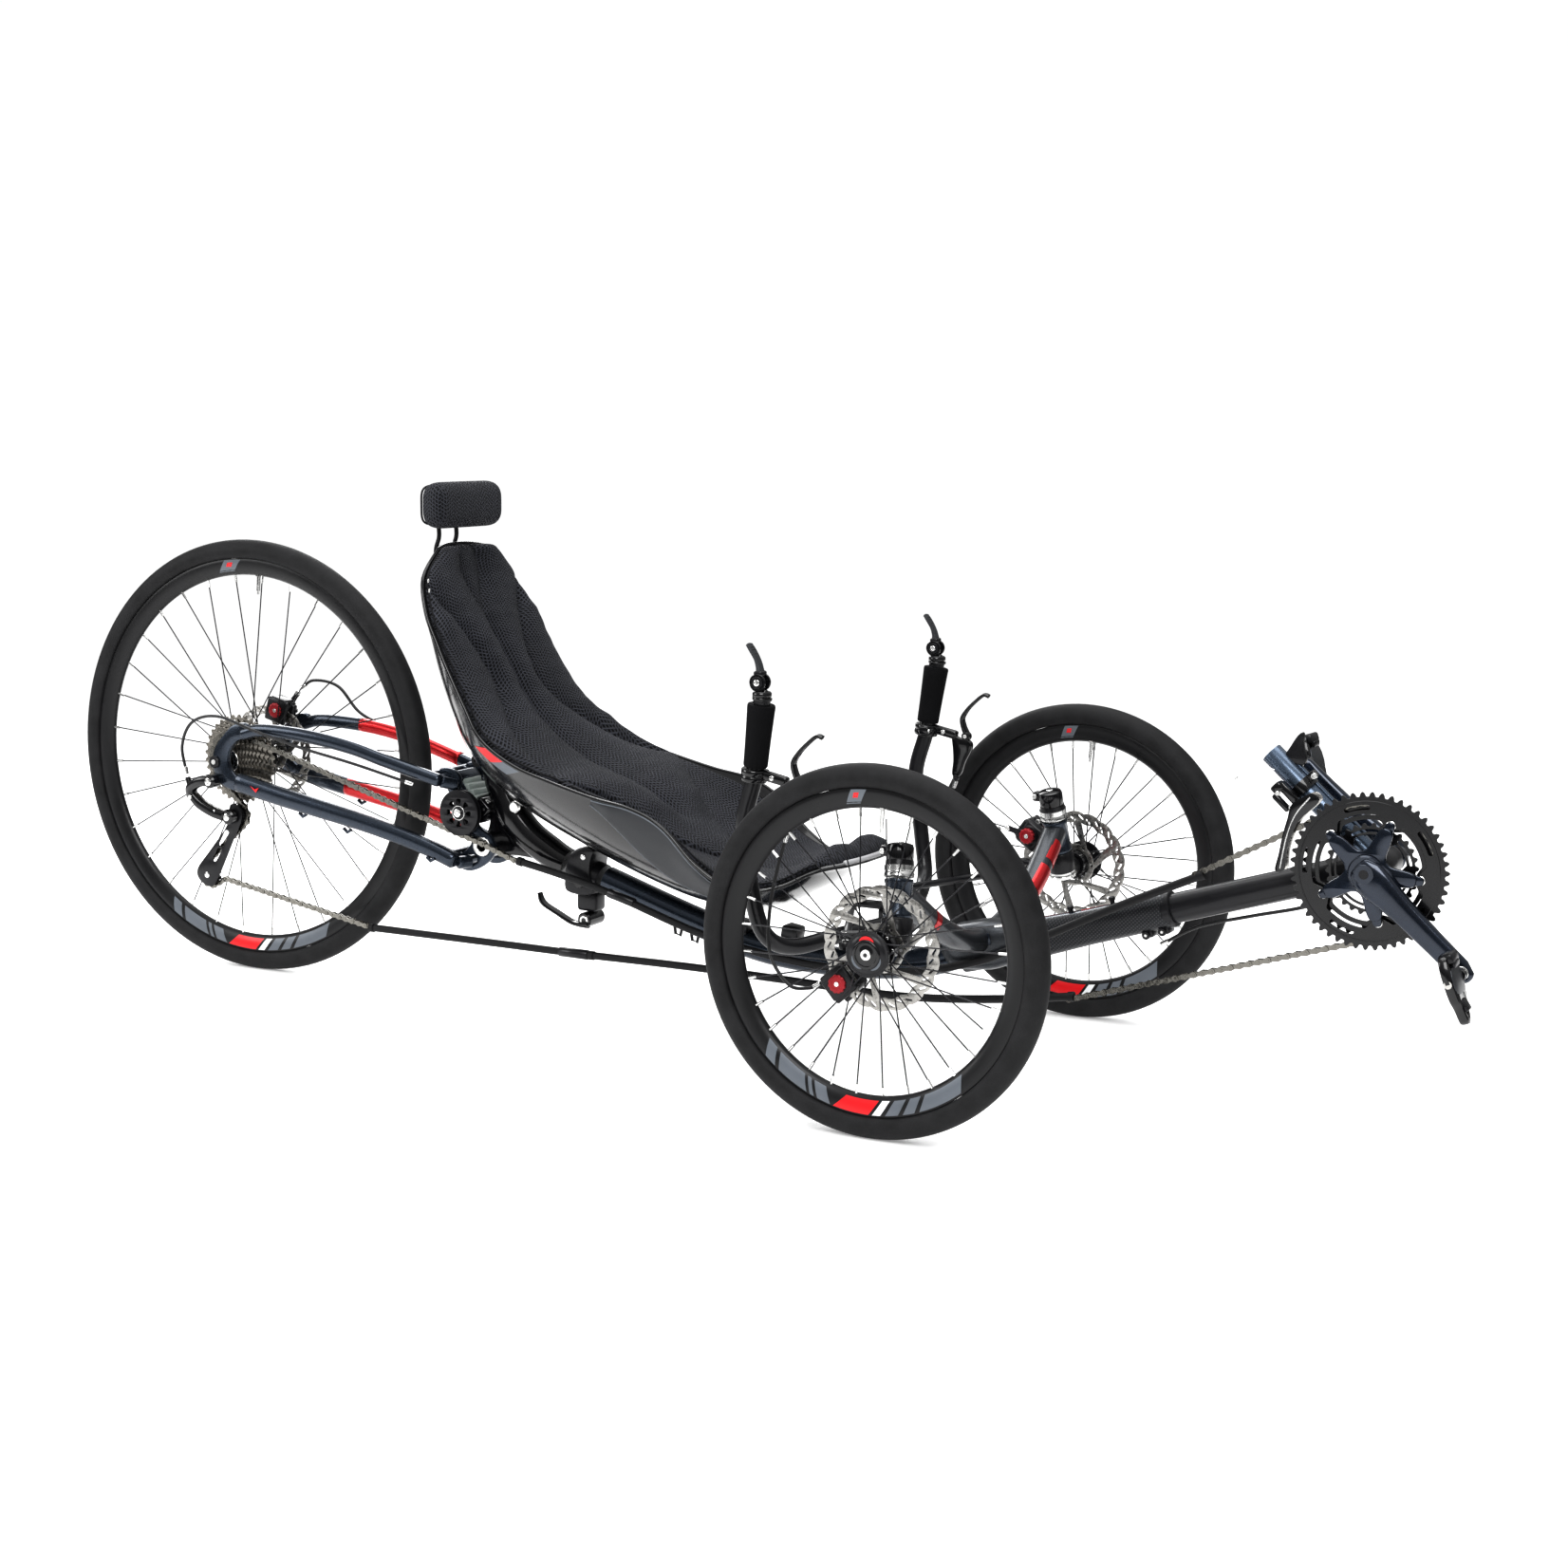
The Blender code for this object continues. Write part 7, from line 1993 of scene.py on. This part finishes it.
def pad_at(t, v, pad, share=1.0):
    """Point on a pad: share 1 is its upper side and 0 its underside."""
    v_from, v_to, edge_line, height = pad
    edge = line_at(edge_line, v)
    side = min(max((edge - abs(t)) / WALL, 0.0), 1.0)
    side = 0.55 + 0.45 * sqrt(1 - (1 - side) ** 2)
    ends = min(1.0, max(0.0, (v - v_from) / 0.3), max(0.0, (v_to - v) / 0.3))
    ends = sqrt(1 - (1 - ends) ** 2)
    wrinkle = 0.0006 * sin(9.0 * v + 5.0 * t) * sin(13.0 * t - 2.0 * v)
    rim = 0.009 * abs(t) ** 4
    top = lifted(pad_point, t, v, height(t, v) + rim + wrinkle)
    foot = seat_at(t, v, PAD_FOOT)
    return foot.lerp(top, side * ends * share)


BACK_PAD = (0.0, 12.0, BACK_EDGE, back_height)
BASE_PAD = (7.6, 15.3, BASE_EDGE, base_height)


def cushion(name, pad, rows, columns, slot):
    v_from, v_to, edge_line, _ = pad
    verts, under, spots = [], [], []
    for r in range(rows):
        s = r / (rows - 1)
        v = v_from + (v_to - v_from) * (0.65 * s + 0.35 * (0.5 - 0.5 * cos(pi * s)))
        half = station(v)[2]
        edge = line_at(edge_line, v)
        for c in range(columns):
            share = 2 * c / (columns - 1) - 1
            t = edge * copysign(1 - (1 - abs(share)) ** 1.3, share)
            verts.append(pad_at(t, v, pad))
            under.append(pad_at(t, v, pad, 0.0))
            spots.append((half * t * 1.12, 0.057 * v))
    count = len(verts)
    faces = grid_faces(rows, columns)
    closing = [tuple(count + i for i in face[::-1]) for face in faces]
    rim = grid_border(rows, columns)
    walls = [(a, b, count + b, count + a) for a, b in zip(rim, rim[1:] + rim[:1])]
    mesh = bpy.data.meshes.new(name)
    mesh.from_pydata([tuple(p) for p in verts + under], [], faces + closing + walls)
    layer = mesh.uv_layers.new(name="cloth")
    spots = spots + [(u + 0.02, w) for u, w in spots]
    for loop in mesh.loops:
        layer.data[loop.index].uv = spots[loop.vertex_index]
    mesh.materials.append(LOOKS["mesh_fabric"])
    mesh.materials.append(LOOKS["mesh_side"])
    for poly in mesh.polygons:
        poly.material_index = 0 if poly.index < len(faces) else 1
    bm = bmesh.new()
    bm.from_mesh(mesh)
    bmesh.ops.remove_doubles(bm, verts=bm.verts, dist=SAME_CLOTH_POINT)
    bmesh.ops.recalc_face_normals(bm, faces=bm.faces)
    bm.to_mesh(mesh)
    bm.free()
    mesh.shade_smooth()
    obj = place(f"look_{name}", mesh, "frame", ("seat_cushion",) if slot is None else (), slot)


def stitching():
    """Seam threads and piping along the pads, and a small white tag at the left edge."""
    shape = Shape()
    for sign in (-1, 1):
        run = [pad_at(sign * line_at(TOP_SEAM, v), v, BACK_PAD) for v in spread(0.25, 2.1, 40)]
        sweep(shape, run, 0.0008, "piping", 6)
        run = [pad_at(sign * min(line_at(BACK_SEAM, v), line_at(BACK_EDGE, v) - 0.02), v, BACK_PAD)
               for v in spread(1.3, 7.9, 120)]
        sweep(shape, run, 0.0008, "piping", 6)
        for pad, v0, v1 in ((BACK_PAD, 0.3, 11.6), (BASE_PAD, 8.3, 15.0)):
            run = [pad_at(sign * (line_at(pad[2], v) - 0.01), v, pad) for v in spread(v0, v1, 160)]
            sweep(shape, run, 0.0014, "piping", 8, round_end=0.001)
    sweep(shape, [pad_at(0.0, v, BACK_PAD) for v in spread(2.2, 9.6, 110)], 0.0008, "piping", 6)
    sweep(shape, [pad_at(0.0, v, BASE_PAD) for v in spread(12.2, 14.8, 50)], 0.0008, "piping", 6)
    for k in range(2):
        corner = pad_at(-0.935, 1.2 + 0.28 * k, BACK_PAD)
        chunk(shape, corner, (0.0012, 0.003, 0.01), "tag", turn_y(0.1), 0.0003, 1)
    obj = piece("look_cushion_trim", shape, "frame")


# upper and lower edge of the flank pad, as shares of the half width
FLANK_TOP = [(8.9, 0.995), (10.5, 1.0), (12.0, 0.99), (12.9, 0.9)]
FLANK_LOW = [(8.9, 0.985), (9.6, 0.87), (10.2, 0.74), (10.9, 0.6), (11.8, 0.58), (12.9, 0.88)]


def bolster(name, sign):
    """Leaf-shaped pad on the shell's flank with a thin piping round it."""
    shape = Shape()
    rows = spread(8.95, 12.85, 49)
    cols = spread(0.0, 1.0, 17)

    def leaf(s, v):
        low, top = line_at(FLANK_LOW, v), line_at(FLANK_TOP, v)
        return sign * (low + (top - low) * s)

    outer, inner = [], []
    for v in rows:
        ends = min(1.0, (v - 8.95) / 0.5, (12.85 - v) / 0.4)
        for s in cols:
            dome = (1 - abs(2 * s - 1) ** 4) * ends
            outer.append(seat_at(leaf(s, v), v, -0.0006 - 0.0055 * dome))
            inner.append(seat_at(leaf(s, v), v, -0.0002))
    count = len(outer)
    faces = grid_faces(len(rows), len(cols))
    shape.add(outer + inner, faces + [tuple(count + i for i in f[::-1]) for f in faces], "pad_grey")
    edge = [seat_at(leaf(0.0, v), v, -0.0012) for v in rows]
    edge += [seat_at(leaf(1.0, v), v, -0.0012) for v in rows[::-1][1:]]
    sweep(shape, edge, 0.0009, "decal_grey", 8)
    obj = piece(f"look_{name}", shape, "frame")


def seat():
    seat_shell()
    cushion("seat_cushion", BACK_PAD, 190, 121, None)
    cushion("cushion_base", BASE_PAD, 120, 97, "seat_cushion")
    stitching()
    bolster("bolster_right", -1)
    bolster("bolster_left", 1)


def headrest():
    shape = Shape()
    for sign in (-1, 1):
        wire = smooth([at(-0.888, sign * 0.022, 0.63), at(-0.8895, sign * 0.022, 0.655),
                       at(-0.89, sign * 0.022, 0.685), at(-0.884, sign * 0.022, 0.705),
                       at(-0.885, sign * 0.022, 0.725), at(-0.886, sign * 0.022, 0.743)], 6)
        sweep(shape, wire, 0.0032, "satin_black", 16)
    rod(shape, at(-0.888, -0.03, 0.645), at(-0.888, 0.03, 0.645), 0.006, "satin_black", 24)
    rod(shape, at(-0.886, -0.03, 0.743), at(-0.886, 0.03, 0.743), 0.0042, "satin_black", 24)
    for sign in (-1, 1):
        bolt(shape, at(-0.888, sign * 0.03, 0.645), (0, sign, 0), 0.0045, 0.0024)
        chunk(shape, at(-0.889, sign * 0.022, 0.645), (0.015, 0.01, 0.015), "satin_black",
              edge=0.003, segments=3)
    piece("look_headrest_posts", shape, "headrest_posts", "headrest_posts", sharp=45)
    pillow()


def pillow():
    """Stuffed headrest: a rounded block blown up as cloth, then capped to its case."""
    centre = at(-0.856, 0, 0.753)
    size = Vector((0.046, 0.166, 0.068))
    bm = bmesh.new()
    bmesh.ops.create_cube(bm, size=1.0, matrix=Matrix.Diagonal((*size, 1.0)))
    bmesh.ops.bevel(bm, geom=list(bm.edges), offset=0.0215, segments=7, affect="EDGES", profile=0.5)
    mesh = bpy.data.meshes.new("headrest_pad")
    bm.to_mesh(mesh)
    bm.free()
    obj = bpy.data.objects.new("look_headrest_pad", mesh)
    bpy.context.scene.collection.objects.link(obj)
    obj.location = centre
    remesh = obj.modifiers.new("even", "REMESH")
    remesh.mode = "VOXEL"
    remesh.voxel_size = 0.005
    bake(obj)
    rest = [v.co.copy() for v in obj.data.vertices]
    cloth = obj.modifiers.new("cloth", "CLOTH")
    cloth.settings.use_pressure = True
    cloth.settings.uniform_pressure_force = 4.0
    cloth.settings.effector_weights.gravity = 0.0
    cloth.point_cache.frame_start = 1
    cloth.point_cache.frame_end = 20
    scene = bpy.context.scene
    for number in range(1, 21):
        scene.frame_set(number)
    bake(obj)
    scene.frame_set(1)
    for vert, before in zip(obj.data.vertices, rest):
        move = vert.co - before
        if move.length > 0.005:
            vert.co = before + move.normalized() * 0.005
    limit = size / 2 + Vector((0.002, 0.002, 0.0))
    for vert in obj.data.vertices:
        for axis in range(3):
            vert.co[axis] = min(max(vert.co[axis], -limit[axis]), limit[axis])
    finer = obj.modifiers.new("finer", "SUBSURF")
    finer.levels = 1
    finer.render_levels = 1
    bake(obj)
    obj.data.materials.clear()
    obj.data.materials.append(LOOKS["mesh_fabric"])
    box_map(obj.data)
    obj.data.shade_smooth()
    obj.data.transform(Matrix.Translation(centre))
    obj.location = (0, 0, 0)
    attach(obj, "headrest_pad")
    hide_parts("headrest_pad")
    shape = Shape()
    loop = []
    for k in range(97):
        angle = 2 * pi * k / 96
        c, s = cos(angle), sin(angle)
        y = copysign(abs(c) ** 0.32, c) * (size.y / 2 - 0.004)
        z = copysign(abs(s) ** 0.42, s) * (size.z / 2 - 0.004)
        loop.append(centre + Vector((-0.0185, y * 0.985, z * 0.97)))
    sweep(shape, loop, 0.0016, "piping", 8)
    seam = piece("look_headrest_piping", shape, "headrest_pad")


def bake(obj):
    """Replace an object's mesh with what its modifiers make."""
    depsgraph = bpy.context.evaluated_depsgraph_get()
    mesh = bpy.data.meshes.new_from_object(obj.evaluated_get(depsgraph))
    obj.modifiers.clear()
    obj.data = mesh


def box_map(mesh):
    """Cloth coordinates in metres, from the side each face looks to."""
    layer = mesh.uv_layers.new(name="cloth")
    for poly in mesh.polygons:
        axis = max(range(3), key=lambda i: abs(poly.normal[i]))
        a, b = [i for i in (1, 0, 2) if i != axis]
        for index in poly.loop_indices:
            co = mesh.vertices[mesh.loops[index].vertex_index].co
            layer.data[index].uv = (co[a], co[b])


# ---- cables -------------------------------------------------------------------------------
def cable_line(points):
    return smooth([at(*p) for p in points], 10)


def ferrule(shape, points, end):
    """Metal cap over a cable's end."""
    first, second = (points[0], points[1]) if end == 0 else (points[-1], points[-2])
    way = (second - first).normalized()
    rod(shape, first, first + way * 0.012, 0.0032, "silver", 16)


def cables():
    runs = {
        "cable_front_shift": ("frame", [(0.25, 0.0, 0.205), (0.3, 0.0, 0.234),
                                        (0.37, -0.004, 0.256), (0.44, -0.01, 0.276),
                                        (0.485, -0.012, 0.296)]),
        "cable_rear_shift": ("swingarm", [(-1.338, -0.076, 0.32), (-1.344, -0.078, 0.365),
                                          (-1.315, -0.086, 0.405), (-1.26, -0.09, 0.418),
                                          (-1.19, -0.088, 0.4), (-1.1, -0.088, 0.38),
                                          (-1.0, -0.086, 0.362), (-0.9, -0.076, 0.338)]),
        "cable_rear_brake": ("swingarm", [(-1.219, 0.0631, 0.45), (-1.193, 0.064, 0.464),
                                          (-1.15, 0.07, 0.456), (-1.115, 0.08, 0.415),
                                          (-1.06, 0.09, 0.392), (-0.99, 0.086, 0.376),
                                          (-0.9, 0.076, 0.348)]),
    }
    for name, (body, points) in runs.items():
        shape = Shape()
        line = cable_line(points)
        sweep(shape, line, 0.0023, "cable", 14, round_end=0.001)
        ferrule(shape, line, 0)
        ferrule(shape, line, 1)
        piece(f"look_{name}", shape, body, name)
    front = {
        "cable_brake_right": ([(-0.165, -0.268, 0.356), (-0.176, -0.268, 0.32),
                               (-0.188, -0.27, 0.26), (-0.184, -0.278, 0.2),
                               (-0.15, -0.29, 0.164), (-0.118, -0.2955, 0.164),
                               (-0.1, -0.2974, 0.173)], "right", 21),
        "cable_brake_left": ([(-0.165, 0.268, 0.356), (-0.176, 0.268, 0.324),
                              (-0.178, 0.272, 0.296), (-0.164, 0.282, 0.272),
                              (-0.134, 0.292, 0.27), (-0.105, 0.2974, 0.285)], "left", 18),
    }
    for name, (points, side, split) in front.items():
        line = cable_line(points)
        upper = Shape()
        sweep(upper, line[:split + 1], 0.0023, "cable", 14)
        ferrule(upper, line, 0)
        above = piece(f"look_{name}_upper", upper, None, name)
        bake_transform(above)
        lower = Shape()
        sweep(lower, line[split:], 0.0023, "cable", 14)
        ferrule(lower, line, 1)
        below = piece(f"look_{name}_lower", lower, None, name)
        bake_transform(below)


# ---- floor, light and camera --------------------------------------------------------------
def studio():
    """Pale floor that fades out, an even sky and four soft lamps."""
    bm = bmesh.new()
    bmesh.ops.create_circle(bm, cap_ends=True, segments=96, radius=FLOOR_RADIUS)
    mesh = bpy.data.meshes.new("floor")
    bm.to_mesh(mesh)
    bm.free()
    mat, tree, shader = shader_setup("floor")
    place_on = coords(tree)
    tone = mapped(tree, noise_at(tree, place_on, 0.6), 0.9, 0.93)
    tree.links.new(tone, shader.inputs["Base Color"])
    constants(shader, Roughness=0.55, Emission_Color=(1.0, 1.0, 1.0, 1.0),
              Emission_Strength=FLOOR_GLOW)
    away = tree.nodes.new("ShaderNodeVectorMath")
    away.operation = "LENGTH"
    tree.links.new(place_on, away.inputs[0])
    tree.links.new(mapped(tree, away.outputs["Value"], 1.0, 0.0, *FLOOR_FADE),
                   shader.inputs["Alpha"])
    mesh.materials.append(mat)
    floor = bpy.data.objects.new("floor", mesh)
    bpy.context.scene.collection.objects.link(floor)
    world = bpy.data.worlds.new("studio")
    world.use_nodes = True
    sky = world.node_tree
    seen = sky.nodes.new("ShaderNodeLightPath").outputs["Is Camera Ray"]
    split = sky.nodes.new("ShaderNodeSeparateXYZ")
    sky.links.new(sky.nodes.new("ShaderNodeTexCoord").outputs["Generated"], split.inputs[0])
    dome = sky.nodes.new("ShaderNodeMapRange")
    for key, value in (("From Min", -0.1), ("From Max", 0.85), ("To Min", 0.1), ("To Max", 1.0)):
        dome.inputs[key].default_value = value
    sky.links.new(split.outputs["Z"], dome.inputs["Value"])
    power = sky.nodes.new("ShaderNodeMapRange")
    sky.links.new(dome.outputs["Result"], power.inputs["To Min"])
    power.inputs["To Max"].default_value = SKY_SEEN
    sky.links.new(seen, power.inputs["Value"])
    sky.nodes["Background"].inputs["Color"].default_value = (1.0, 1.0, 1.0, 1.0)
    sky.links.new(power.outputs["Result"], sky.nodes["Background"].inputs["Strength"])
    bpy.context.scene.world = world
    for name, spot, aim, size, energy in LAMPS:
        lamp = bpy.data.lights.new(name, "AREA")
        lamp.size = size
        lamp.energy = energy
        obj = bpy.data.objects.new(name, lamp)
        obj.location = spot
        obj.rotation_euler = (Vector(aim) - Vector(spot)).to_track_quat("-Z", "Y").to_euler()
        bpy.context.scene.collection.objects.link(obj)
    bpy.context.scene.view_settings.view_transform = "Standard"
    bpy.context.scene.view_settings.gamma = VIEW_GAMMA


def camera():
    """Camera where the photograph's was, found from the wheels' outlines."""
    yaw, pitch, roll = CAMERA_YAW, CAMERA_PITCH, CAMERA_ROLL
    forward = Vector((-sin(yaw) * cos(pitch), cos(yaw) * cos(pitch),
                      -sin(pitch)))
    right = Vector((cos(yaw), sin(yaw), 0))
    up = right.cross(forward)
    across = right * cos(roll) + up * sin(roll)
    above = up * cos(roll) - right * sin(roll)
    lens = bpy.data.cameras.new("camera")
    lens.lens = CAMERA_LENS
    lens.sensor_width = SENSOR_WIDTH
    obj = bpy.data.objects.new("camera", lens)
    rotation = Matrix((across, above, -forward)).transposed().to_4x4()
    obj.matrix_world = Matrix.Translation(CAMERA_AT) @ rotation
    bpy.context.scene.collection.objects.link(obj)
    bpy.context.scene.camera = obj


for build in (make_looks, wheels, chainrings, cranks, pedals, cassette, pulleys, drive_line,
              main_frame, boom, front_derailleur, rear_frame, fold_clamp, elastomer, swingarm,
              steering, calipers, rear_derailleur, seat, headrest, cables, studio, camera):
    build()
